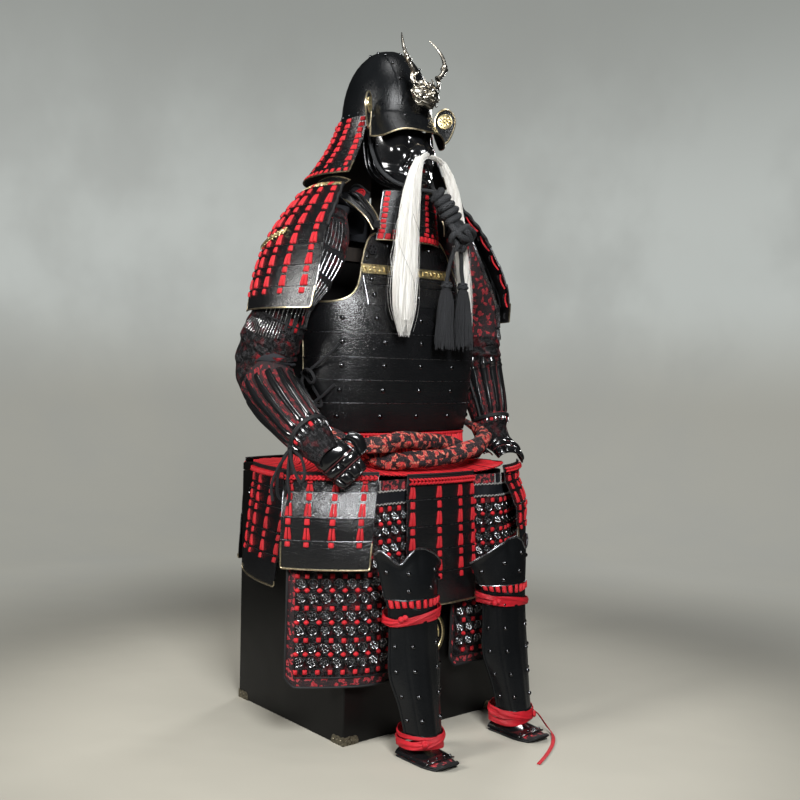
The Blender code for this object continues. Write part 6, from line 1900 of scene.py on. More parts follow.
# ================================================= sleeves, splints and hands
# pale polished metal for the sleeve's rods and short wrist splints: real metal parts, painted far paler than their dark
# steel so that they show as glare, a painted highlight
STEEL_GLARE = metal("splint_steel_painted_glare", (0.85, 0.86, 0.88), (0.34, 0.34, 0.36), 0.22, 0.12, 0.0003)


SEAM_RED = silk("seam_red", (0.120, 0.005, 0.008), (0.040, 0.002, 0.003), sheen=0.0)


def folds(th, t, s):
    """Wrinkles of the sleeve: deep rolls at the elbow, light ones elsewhere."""
    o = 0.0
    for t0, h, up, dn, ph, slope in ((0.442, 0.0036, 0.020, 0.010, 0.4, 0.006), (0.482, 0.0060, 0.026, 0.009, 1.3, 0.008),
                                     (0.528, 0.0078, 0.030, 0.010, 2.2, -0.007), (0.575, 0.0060, 0.026, 0.010, 3.0, 0.009),
                                     (0.622, 0.0036, 0.022, 0.012, 4.1, -0.006)):
        x = t - (t0 + slope * sin(2 * th + ph) + 0.004 * sin(5 * th + ph))
        o += h * (0.75 + 0.25 * sin(3 * th + ph)) * np.exp(-(x / (up if x < 0 else dn)) ** 2)
    calm = 1.0 / (1.0 + np.exp(-(0.40 - t) / 0.02)) + 0.4 / (1.0 + np.exp(-(t - 0.67) / 0.02))
    o += 0.0012 * calm * (sin(3 * th + 14 * t) + 0.6 * sin(7 * th - 31 * t))
    full = 0.018 * np.exp(-((np.degrees(th) % 360 - 132) / 34.0) ** 2) * np.exp(-((t - 0.16) / 0.13) ** 2)
    return float(o + full) + 0.0008


SPLINTS = [radians(a) for a in (-62, -34, -6, 21, 48, 75, 102, 129, 156)]
SPLINT_TOP = {1: 0.700, -1: 0.690}
for side, s in (("right", -1), ("left", 1)):
    f = sleeve_fn(s)
    p = Piece("sleeve_cloth_" + side)
    ths = turn(76)
    tt = span(0.0, 0.40, 22) + span(0.404, 0.68, 50) + span(0.69, 1.09, 24)

    def which(i, j, tt=tt, ths=ths, s=s):
        t, th = (tt[i] + tt[min(i + 1, len(tt) - 1)]) / 2, np.degrees(ths[j])
        th = th - 360 if th > 180 else th
        if t < 0.435:
            lim = 110 + 24 * t / 0.3
            return MAIL if (s < 0 and -60 < th < lim) or (s > 0 and -60 < th < 84) else BROCADE
        if t < 0.655:
            spot = sin(0.055 * th + 21 * t) + 0.7 * sin(0.11 * th - 60 * t + 1.0)
            return MAIL_RED if spot > 0.85 and -40 < th < 150 else MAIL
        if t < 0.955:
            return BROCADE
        return MAIL
    P = np.array([[f(th, t, folds(th, t, s)) for th in ths] for t in tt])
    a, b, N = p.shell(P, which, 0.0024, ref=(s * 0.285, 0.15, None), wrap=True, back=HEMP, edge=PIPING)
    # the shoulder cloth runs from the sleeve's head in under the strap
    root = np.array([s * 0.112, 0.165, 1.110])
    Q = []
    for q in span(0.0, 1.0, 8):
        Q.append([np.array(f(th, 0.0, folds(th, 0.0, s) - 0.0004)) * (1 - q) + (root + (0.0, 0.030 * cos(th - pi / 2) * -1, 0.010 * sin(th))) * q
                  + (0, 0, 0.004 * sin(pi * q)) for th in span(radians(20), radians(200), 20)])
    p.shell(np.array(Q), COLLAR_MAT, 0.0016, ref=(s * 0.15, 0.165, 1.00))
    over = sode_fn(s)
    Q = [[np.array(over(u, 0.10, -0.005)) * (1 - q) + (root + (0.0, 0.035 * (u + 0.2), 0.006)) * q for u in span(-1.0, 0.2, 12)] for q in span(0.0, 1.0, 8)]
    p.shell(np.array(Q), COLLAR_MAT, 0.0016, ref=(s * 0.15, 0.165, 1.00))
    ob = p.done("sleeve_" + side, slot="brocade", smooth=70)

    # steel rods, belts and splints sewn on the sleeve
    p = Piece("sleeve_rods_" + side)
    rng = np.random.default_rng(41 if s < 0 else 42)

    # rods in the pale metal of painted glare
    def rods(th0, th1, t0, t1, slope=0.0, r=0.00135, pitch=0.0074):
        _, _, _, _, lu, _ = frame_at(f, radians((th0 + th1) / 2), (t0 + t1) / 2)
        n = max(3, int(radians(abs(th1 - th0)) * lu / pitch))
        for k in range(n):
            th = radians(th0 + (th1 - th0) * (k + 0.5) / n)
            dt = slope * (k / (n - 1) - 0.5)
            pts = [f(th, t, folds(th, t, s) + 0.0012) for t in span(t0 + dt, t1 + dt, 6)]
            p.tube(np.array(pts), r, STEEL_GLARE, 8)

    def belt(th0, th1, t, mat=CORD_BLACK, r=0.0021, slope=0.0):
        pts = [f(radians(a), t + slope * (a - th0) / (th1 - th0) + 0.0015 * sin(a * 0.3), folds(radians(a), t, s) + 0.0016) for a in np.linspace(th0, th1, 26)]
        p.tube(np.array(pts), r, mat, 7)

    def patch(th, t, w=0.010, ln=0.014):
        _, _, _, _, lu, lw = frame_at(f, radians(th), t)
        p.pad(f, radians(th), t - ln / lw / 2, t + ln / lw / 2, w, w, 0.0034, LACE, 1, 0.0004, folds(radians(th), t, s) * 0.8)

    for th0, th1, t0, t1 in ((12, 108, 0.062, 0.142), (10, 124, 0.160, 0.226), (6, 134, 0.243, 0.312), (4, 130, 0.330, 0.392)):
        if s > 0:
            th1 = 84
        rods(th0, th1, t0, t1)
        for dt in (-0.0075, -0.0020):
            belt(th0 - 4, th1 + 3, t0 + dt)
        belt(th0 - 4, th1 + 3, t1 + 0.004)
        for th in np.linspace(th0 + 10, th1 - 6, 4):
            patch(th, t0 - 0.0048, 0.0075, 0.0075)
    if s < 0:
        rods(-30, 52, 0.418, 0.466, slope=-0.052, r=0.0015, pitch=0.0070)
        for th, t in ((66, 0.388), (84, 0.398), (96, 0.372)):
            patch(th, t, 0.0075, 0.020)
        for th in (58, 75, 90):
            pts = [f(radians(th), t, folds(radians(th), t, s) + 0.0022) for t in span(0.362, 0.414, 6)]
            p.sweep(np.array(pts), ring(8, 0.0042, 0.0016), CORD_BLACK)
    else:
        rods(-30, 84, 0.405, 0.455, pitch=0.0070, r=0.0015)
    # long splints of the forearm, glossy and slightly bellied
    top = SPLINT_TOP[s]
    for k, th in enumerate(SPLINTS):
        tdeg = np.degrees(th)
        t0 = (0.660 + 0.062 * (1 - cos(radians(tdeg - 5))) if s < 0 else 0.535 + 0.0 * k) + 0.006 * sin(3.0 * k)
        if s < 0:
            t0 = float(np.interp(tdeg, (-62, -12, 16, 38, 68, 118, 144), (0.665, 0.655, 0.680, 0.700, 0.715, 0.735, 0.735)))
        else:
            t0 = float(np.interp(tdeg, (-62, 40, 92, 144), (0.640, 0.560, 0.535, 0.535)))
        t1 = 0.950 if s < 0 else 0.912
        P, UV = [], []
        m = 30
        for i in range(m + 1):
            q = i / m
            t = t0 + (t1 - t0) * q
            swell = np.exp(-((q - 0.34) / 0.26) ** 2)
            half = 0.0066 + 0.0026 * swell
            hh = 0.0044 + 0.0020 * swell
            cap_ = (1 - abs(2 * q - 1) ** 14) ** 0.5 if 0 < q < 1 else 0.0
            _, _, _, _, lu, lw = frame_at(f, th, t)
            row = []
            for sv in np.linspace(-1, 1, 9):
                o = hh * cap_ * (1 - abs(sv) ** 2.4) ** 0.5 - 0.0006
                row.append(f(th + sv * half / lu, t, o + folds(th, t, s) * 0.6))
            P.append(row)
        p.grid(np.array(P), RODS)
        # the lining's dark red shows between two splints
        if k < len(SPLINTS) - 1:
            tm = (th + SPLINTS[k + 1]) / 2
            pts = [f(tm, t, folds(tm, t, s) * 0.6 + 0.0006) for t in span(t0 + 0.02, t1, 20)]
            p.sweep(np.array(pts), ring(6, 0.0012, 0.0010), SEAM_RED)
    # dark band over the splints' ends, short splints, and the mail of the wrist
    tb = 0.957 if s < 0 else 0.920
    for dt in (0.0, 0.007):
        pts = [f(th, tb + dt, 0.0042) for th in turn(60)]
        p.sweep(np.array(pts), ring(8, 0.0030), PIPING, closed=True)
    # the short splints alternate between the pale metal of painted glare and black lacquer
    for k in range(16):
        th = radians(-64 + 14 * k)
        t0_, t1_ = tb + 0.012, tb + 0.040
        pts = [f(th, t, 0.0022 + 0.0012 * sin(pi * (t - t0_) / (t1_ - t0_))) for t in span(t0_, t1_, 6)]
        if k % 5 == 4:
            patch(-64 + 14 * k, tb + 0.020, 0.0085, 0.012)
        else:
            p.sweep(np.array(pts), ring(8, 0.0028, 0.0020), STEEL_GLARE if k % 2 else RODS)
    # piping down the opening of the forearm, with its knob
    for a_ in (-84, 168):
        pts = [f(radians(a_) + 0.03 * sin(20 * t), t, 0.0022) for t in span(0.640, tb, 40)]
        p.sweep(np.array(pts), ring(8, 0.0036), PIPING, scale=1 + 0.10 * np.sin(np.linspace(0, 60, 41)))
        for tk in (0.660, 0.800, 0.920):
            c, _, _, n, _, _ = frame_at(f, radians(a_), tk)
            p.dome(c + n * 0.003, n, 0.0044, 0.0044, CORD_BLACK, 10)
    p.done("forearm_splints_" + side, slot="gloss_lacquer", smooth=60)

for side, s in (("right", -1), ("left", 1)):
    f = hand_fn(s)
    p = Piece("hand_guard_plates_" + side)
    P = np.array([[f(w, t, 0.0) for w in span(-1, 1, 20)] for t in span(0, 1, 24)])
    p.shell(P, GLOSS, 0.0024, ref=(s * 0.26, 0.0, 0.50), back=HEMP)
    edge_ = np.concatenate([P[:, 0], P[-1], P[::-1, -1]])
    p.tube(edge_, 0.0021, GLOSS, 8)
    # back of the hand: one large bellied plate, two knuckle plates, then the finger plates, red showing between
    plate_pad(p, f, -0.95, 0.95, 0.02, 0.47, 0.0062, GLOSS, 5.0, 21)
    for j, (w0, w1) in enumerate(((-0.92, -0.02), (0.02, 0.92))):
        plate_pad(p, f, w0, w1, 0.515, 0.70, 0.0092, GLOSS, 3.0, 15)
    for j, (w0, w1) in enumerate(((-0.93, -0.50), (-0.46, -0.02), (0.02, 0.46), (0.50, 0.93))):
        plate_pad(p, f, w0, w1, 0.74, 1.0, 0.0074, GLOSS, 4.0, 13)
    for t in (0.493, 0.722):
        pts = [f(w, t, 0.0016) for w in span(-0.95, 0.95, 20)]
        p.tube(np.array(pts), 0.0009, SEAM_RED, 6)
    # thumb plate on the inner side, and the cuff's edge
    inner = 1.0 if np.dot(np.array(f(1, 0.3)) - np.array(f(-1, 0.3)), (-s, 0, 0)) > 0 else -1.0
    face = unit(np.array(f(0, 0.5, 0.01)) - np.array(f(0, 0.5, 0.0)))

    def thumb(u, w, o=0.0, f=f, inner=inner, face=face):
        c = np.array(f(inner * 0.98, 0.22 + 0.50 * w, 0.0))
        d = unit(np.array(f(inner, 0.5)) - np.array(f(-inner, 0.5)))
        return c + d * (0.010 + 0.010 * sin(pi * min(1, w + 0.1)) + 0.012 * u) + face * (-0.004 + (0.007 + o) * cos(u * 1.4) - 0.008 * w)
    P = np.array([[thumb(u, w, 0.0) for u in span(-1, 1, 12)] for w in span(0, 1, 14)])
    p.shell(P, GLOSS, 0.0022, ref=(s * 0.26, 0.0, 0.50))
    p.tube(np.concatenate([P[:, 0], P[-1], P[::-1, -1], P[0, ::-1]]), 0.0014, GLOSS, 7)
    for w, t in ((-0.72, 0.10), (0.72, 0.10)):
        p.rivet(f, w, t, RIVET, 0.0026, 0.0070)
    p.done("hand_guard_" + side, slot="gloss_lacquer", smooth=60)


# ================================================== lacing, sash and tassets
RIBS = 126
# dark red for the grooves between neighbouring cords: painted shade where the cords meet
LACE_GROOVE_SHADE = silk("silk_red_groove_shade", (0.150, 0.004, 0.007), (0.060, 0.002, 0.004), sheen=0.0)
p = Piece("skirt_lacing_cords")
fs = span(0.0, 1.0, 12)
cols = [2 * pi * i / (RIBS * 8) for i in range(RIBS * 8)]
lace_phi = even(lambda q: lace_fn(q, 0.45), 0.0, 2 * pi, RIBS * 8)[:-1]
P = []
for i, fv in enumerate(fs):
    row = []
    for j, phi in enumerate(lace_phi):
        k, x = divmod(j / 8.0, 1.0)
        loose = 0.0008 * sin(k * 2.3 + 5 * fv) + 0.0006 * sin(k * 0.7 + 9 * fv)
        row.append(lace_fn(phi, fv, 0.0002 + 0.0056 * (0.02 + abs(sin(pi * x))) ** 0.62 + loose))
    P.append(row)
P = np.array(P)
# the faces at each groove take the painted-shade red
p.shell(P, lambda i, j: LACE_GROOVE_SHADE if j % 8 in (7, 0) else LACE_RIB, 0.0022, ref=(0, 0.18, 0.40), wrap=True, back=LACE_RIB)
# looped head of each cord where it meets the cuirass
n_top = RIBS * 4
q = np.array([lace_fn(lace_phi[(j * 2) % len(lace_phi)], 0.03, 0.0038) for j in range(n_top)])
p.sweep(q, ring(8, 0.0034, 0.0030), LACE, closed=True, scale=1.0 + 0.24 * np.cos(2 * pi * np.arange(n_top) / 4.0))
p.done("skirt_lacing", slot="red_lacing", smooth=70)

# ---- sash: two brocade rolls laid round each other
for k, key in enumerate("ab"):
    pts, radii, turns = [], [], []
    M = 300
    for i in range(M):
        phi = 2 * pi * i / M
        fold = min(phi, 2 * pi - phi)
        a, yf, z, r = track(SASH, fold)
        tw = 3 * phi + 2.2 + pi * k
        x, y = oval(phi, a, yf, 0.333, 2.5, (1.14 * r + 0.0012) * cos(tw))
        pts.append((x, y, z + (1.14 * r + 0.0012) * sin(tw)))
        radii.append(r)
        turns.append(phi)
    pts, radii, turns = np.array(pts), np.array(radii), np.array(turns)
    T = np.roll(pts, -1, 0) - np.roll(pts, 1, 0)
    T /= np.linalg.norm(T, axis=1, keepdims=True)
    up = np.array([0.0, 0.0, 1.0])
    N = up - T * (T @ up)[:, None]
    N /= np.linalg.norm(N, axis=1, keepdims=True)
    S = np.cross(T, N)
    rows = []
    for i in range(M):
        row = []
        for j in range(44):
            a = 2 * pi * j / 44
            ph = turns[i]
            lay = a + 5.0 * ph + 1.3 * k
            o = (0.075 * sin(3 * lay + 1.1 * sin(4 * ph + k)) + 0.050 * sin(7 * lay + 2.0 * sin(7 * ph)) - 0.090 * max(0.0, sin(2 * lay + 9 * sin(2 * ph + k))) ** 6
                 + 0.045 * wobble(8 * ph, 2 * a, 0.0, 2.0 + k) + 0.03 * sin(2 * a + 23 * ph))
            r = radii[i] * (1.02 + o)
            row.append(pts[i] + S[i] * r * cos(a) + N[i] * r * sin(a))
        rows.append(row)
    p = Piece("sash_roll_" + key)
    p.grid(np.array(rows), BROCADE_SASH, wrap=True, closed=True)
    ob = p.done("sash_strand_" + key, slot="brocade", smooth=80)

# ---- tassets
COLS = {"tasset_front": (-0.865, -0.15, 0.51, 0.955), "tasset_front_right": (-0.85, -0.43, 0.12, 0.73),
        "tasset_side_right": (-0.90, -0.35, 0.30, 0.88), "tasset_back_right": (-0.88, -0.31, 0.31, 0.88)}
LINES = {"tasset_front": (0.0, 0.19, 0.395, 0.575, 0.75, 1.0), "tasset_front_right": (0.0, 0.20, 0.455, 0.70, 1.0),
         "tasset_side_right": (0.0, 0.17, 0.336, 0.549, 0.743, 1.0), "tasset_back_right": (0.0, 0.17, 0.336, 0.549, 0.743, 1.0)}
for row in TASSETS:
    name = row[0]
    like = name.replace("left", "right")
    sgn = -1.0 if name.endswith("left") else 1.0
    cols, edges = [sgn * u for u in COLS[like]], list(LINES[like])
    flat_f = panel_fn(row)

    def f(u, w, out=0.0, flat_f=flat_f, edges=edges, like=like):
        """Each lame is a little bellied; the corner tasset's second one kicks out further."""
        k = max([i for i in range(len(edges) - 1) if w >= edges[i] - 1e-6] or [0])
        share = min(1.0, max(0.0, (w - edges[k]) / (edges[k + 1] - edges[k])))
        belly, kick = (0.0011, 0.0) if like != "tasset_front_right" else (0.0012, 1.0)
        lift = 0.0125 * kick * float(np.interp(w, (0.0, 0.20, 0.455, 1.0), (0.0, 0.0, 1.0, 0.0)))
        return flat_f(u, w, out + belly * sin(pi * share) + lift)
    n = len(edges) - 1
    us = span(-1, 1, 26)
    p = Piece(name + "_lames")
    lames(p, f, us, edges, LACQUER, tuck=0.012, rows=5, back=LACQUER_IN)
    # cloth-covered top board with its cord, and the plaited row under it
    P = np.array([[f(u, w, 0.0030) for u in us] for w in span(-0.004, 0.068, 4)])
    p.shell(P, PIPING, 0.0016)
    for w, r, mat in ((-0.002, 0.0024, PIPING), (0.016, 0.0018, PIPING)):
        p.tube(np.array([f(u, w, 0.0034) for u in span(-1, 1, 40)]), r, mat, 8)
    plaits = int(abs(np.linalg.norm(np.array(f(1, 0)) - np.array(f(-1, 0)))) / 0.0086)
    for sg in (-1, 1):
        for k in range(plaits):
            u0 = -0.985 + 1.97 * k / plaits
            du = 1.97 / plaits
            a_, b_ = (0.026, 0.0485) if sg < 0 else (0.0710, 0.0485)
            pts = [f(u0 + du * (0.12 + 0.95 * q), a_ + (b_ - a_) * q, 0.0050 + 0.0026 * sin(pi * q)) for q in span(0, 1, 5)]
            p.sweep(np.array(pts), ring(8, 0.0037, 0.0026), LACE, scale=[0.55, 0.95, 1, 1, 0.9, 0.5])
    for k in range(n):
        pair = (0.46, 0.96) if k == 0 else (0.43, 0.97)
        blk = (0.05, 0.33)
        if k == 0 and like == "tasset_front_right":
            blk = (0.38, 0.54)
            pair = (0.58, 0.96)
        elif k == n - 1:
            blk = (0.04, 0.22)
        laced(p, f, cols, edges[k], edges[k + 1], block=blk, pair=pair, wide=(0.0118, 0.0108, 0.0170 if k < n - 1 else 0.0120), h=0.0040,
              do_block=k > 0 or like == "tasset_front_right", do_pair=k < n - 1)
    sides = edges[-2] + 0.02
    low = []
    if like == "tasset_front_right":
        low += [f(-1.0, w, STEP * (1 - (w - edges[-2]) / (1 - edges[-2]))) for w in span(sides, 0.975, 7)]
    else:
        low += [f(-1.0, w, 0.0006) for w in (0.955, 0.975)]
    low += [f(-1.0 + 0.05 * (1 - cos(q)), 0.978 + 0.022 * sin(q), 0.0004) for q in span(0.15, pi / 2, 4)]
    low += [f(u, 1.0, 0.0004) for u in span(-0.93, 0.93, 30)]
    low += [f(1.0 - 0.05 * (1 - cos(q)), 0.978 + 0.022 * sin(q), 0.0004) for q in span(pi / 2, 0.15, 4)]
    if like == "tasset_front_right":
        low += [f(1.0, w, STEP * (1 - (w - edges[-2]) / (1 - edges[-2]))) for w in span(0.975, sides, 7)]
    else:
        low += [f(1.0, w, 0.0006) for w in (0.975, 0.955)]
    rim(p, np.array(low), 0.0019)
    # painted highlight edges up both sides of each lame
    for sg in (-1, 1):
        for k in range(n - 1):
            rim(p, np.array([f(sg, w, STEP * (1 - (w - edges[k]) / (edges[k + 1] - edges[k]))) for w in span(edges[k], edges[k + 1], 4)]), 0.0009, EDGE, 6)
    p.done(name, slot="black_lacquer")

# ------------------------------------------------------------- thigh guards
PITCH_X, PITCH_Z = 0.0255, 0.065
# grey metal for the black lacquered rosettes: a painted highlight, so their relief reads bright
MEDAL_GLINT = metal("medallion_painted_glint", (0.230, 0.232, 0.240), (0.050, 0.050, 0.054), 0.20, 0.10, 0.0003)
for side, s in (("right", -1), ("left", 1)):
    f = thigh_fn(s)
    us = even(lambda u: f(u, 0.5), 0.0, 1.0, 90)
    full = float(np.linalg.norm(np.diff(np.array([f(u, 0.5) for u in us]), axis=0), axis=1).sum())

    def at(d, full=full, us=us):
        """Parameter u at d metres in from the outer edge."""
        x = max(0.0, min(1.0, 1 - d / full)) * (len(us) - 1)
        i = min(int(x), len(us) - 2)
        return us[i] + (us[i + 1] - us[i]) * (x - i)

    def wz(z):
        return (THIGH_TOP - z) / (THIGH_TOP - THIGH_BOTTOM)

    def g(d, z, out=0.0):
        return f(at(d), wz(z), out)
    drape = lambda u, w: 0.0012 * sin(9 * u + 5 * w + s) + 0.0010 * sin(17 * u - 4 * w)
    ws = span(0, 1, 60)
    edge_d, edge_z = 0.0185, THIGH_BOTTOM + 0.0195

    def ground(i, j, us=us, ws=ws, full=full):
        d = full * (1 - (j + 0.5) / 90)
        z = THIGH_TOP - (THIGH_TOP - THIGH_BOTTOM) * (i + 0.5) / 60
        if d < edge_d or d > full - 0.012 or z < edge_z:
            return BROCADE_EDGE
        if z > 0.5215:
            return BROCADE_EDGE
        if z > 0.4955:
            return SATIN
        return MAIL
    p = Piece("thigh_guard_cloth_" + side)
    P = np.array([[f(u, w, drape(u, w)) for u in us] for w in ws])
    p.shell(P, ground, 0.0030, back=HEMP, edge=PIPING)
    base_ob = p.done("thigh_guard_" + side, slot="brocade")

    def out_at(d, z):
        return drape(at(d), wz(z))

    p = Piece("thigh_guard_armour_" + side)
    line = [g(0.0, z, 0.001) for z in span(THIGH_TOP, THIGH_BOTTOM + 0.024, 40)] + [f(u, 1.0, 0.001) for u in us[::-1]] + [g(full, z, 0.001) for z in span(THIGH_BOTTOM + 0.024, THIGH_TOP, 40)]
    p.tube(np.array(line), 0.0028, PIPING, 8)
    inner_line = [g(edge_d, z, 0.0012 + out_at(edge_d, z)) for z in span(0.4955, edge_z + 0.004, 40)] + [g(d, edge_z, 0.0012 + out_at(d, edge_z)) for d in span(edge_d + 0.003, full, 60)]
    p.tube(np.array(inner_line), 0.0016, PIPING, 6)
    # satin band with its white herringbone stitches, and the straps over the brocade
    for z in (0.5215, 0.4955):
        m = int(full / 0.0048)
        pts = [g(full * k / m, z + 0.0017 * (-1) ** k, 0.0026 + out_at(full * k / m, z)) for k in range(m + 1)]
        p.tube(np.array(pts), 0.0012, WHITE_THREAD, 5)
    for d0 in (0.010, 0.092, 0.168, 0.262):
        P = np.array([[g(d0 + dx, z, 0.0026 + out_at(d0, z)) for dx in span(0, 0.022, 6)] for z in span(THIGH_TOP, 0.5215, 8)])
        p.shell(P, SATIN, 0.0012)
        for dx in (0.0012, 0.0208):
            pts = [g(d0 + dx + 0.0011 * (-1) ** k, z, 0.0036 + out_at(d0, z)) for k, z in enumerate(span(THIGH_TOP, 0.5225, 9))]
            p.tube(np.array(pts), 0.0012, WHITE_THREAD, 5)
    rng = np.random.default_rng(61 if s < 0 else 62)
    n_col = int((full - 0.028 - 0.008) / PITCH_X) + 1

    def spot(d, z, lift=0.0):
        e = 1e-3
        c = np.array(g(d, z, 0.0018 + lift + out_at(d, z)))
        a = unit(np.array(g(d - e, z)) - np.array(g(d + e, z)))
        b = unit(np.array(g(d, z + e)) - np.array(g(d, z - e)))
        nn = unit(np.cross(a, b))
        if nn[1] > 0:
            nn = -nn
        return c, a, b, nn

    def rosette(d, z):
        c, a, b, nn = spot(d, z)
        turn0, tilt = rng.uniform(0, 6.28), rng.normal(0, 0.08, 2)
        nn = unit(nn + a * tilt[0] + b * tilt[1])
        turn_ = [(cos(2 * pi * k / 14), sin(2 * pi * k / 14)) for k in range(14)]
        rows = [[c + (a * x + b * y) * rr + nn * hh for x, y in turn_]
                for rr, hh in ((0.0112, -0.0014), (0.0112, 0.0016), (0.0100, 0.0027), (0.0084, 0.0018), (0.0080, 0.0004))]
        idx = p.grid(np.array(rows), ROSETTE_GLINT, wrap=True)
        p.fan(idx[-1][:-1], c + nn * 0.0002, MAIL)
        for k in range(5):
            t0 = turn0 + 2 * pi * k / 5
            cc = c + (a * cos(t0) + b * sin(t0)) * 0.0053 + nn * 0.0014
            hoop = np.array([cc + (a * cos(t) + b * sin(t)) * 0.0021 for t in turn(8)])
            p.sweep(hoop, ring(4, 0.0010), ROSETTE_GLINT, nrm=nn, closed=True)
        p.dome(c + nn * 0.0006, nn, 0.0022, 0.0026, ROSETTE_GLINT, 8, 2)

    # the rosettes take the grey metal of painted highlight
    ROSETTE_GLINT = MEDAL_GLINT
    k0 = 0
    z = 0.159
    rows_z = []
    while z < 0.500:
        rows_z.append(z)
        z += PITCH_Z
    for zk in rows_z:
        for j in range(n_col):
            d = 0.028 + PITCH_X * j
            for dz in (0.0215, 0.0507):
                if d + 0.020 < full and edge_z + 0.008 < zk + dz < 0.4855:
                    rosette(d, zk + dz)
            dm = d - PITCH_X / 2 if j else d - PITCH_X / 2 + 0.006
            if dm + 0.018 < full:
                if edge_z < zk < 0.492:
                    jit = rng.normal(0, 0.0004)
                    p.pad(f, at(dm), wz(zk + 0.0048 + jit), wz(zk - 0.0048 + jit), 0.0098, 0.0094, 0.0044, LACE, 1, 0.0004, 0.0012 + out_at(dm, zk))
                zd = zk + 0.0362
                if zd < 0.492:
                    c, a, b, nn = spot(dm, zd)
                    idx = []
                    rows = []
                    for rr, hh in ((1.0, -0.001), (0.85, 0.0018), (0.5, 0.0034)):
                        rows.append([c + a * (0.0058 * rr * copysign(abs(cos(t)) ** 1.35, cos(t))) + b * (0.0052 * rr * copysign(abs(sin(t)) ** 1.35, sin(t))) + nn * hh for t in turn(16)])
                    idx = p.grid(np.array(rows), LACE, wrap=True)
                    p.fan(idx[-1][:-1], c + nn * 0.0040, LACE)
    # top row of small knots just under the satin band
    for j in range(n_col):
        dm = 0.028 + PITCH_X * (j - 0.5) + (0.006 if j == 0 else 0)
        if dm + 0.006 < full:
            p.pad(f, at(dm), wz(0.4905), wz(0.4825), 0.0085, 0.0085, 0.0038, LACE, 1, 0.0004, 0.0012 + out_at(dm, 0.487))
    p.done(slot="gloss_lacquer", smooth=60)


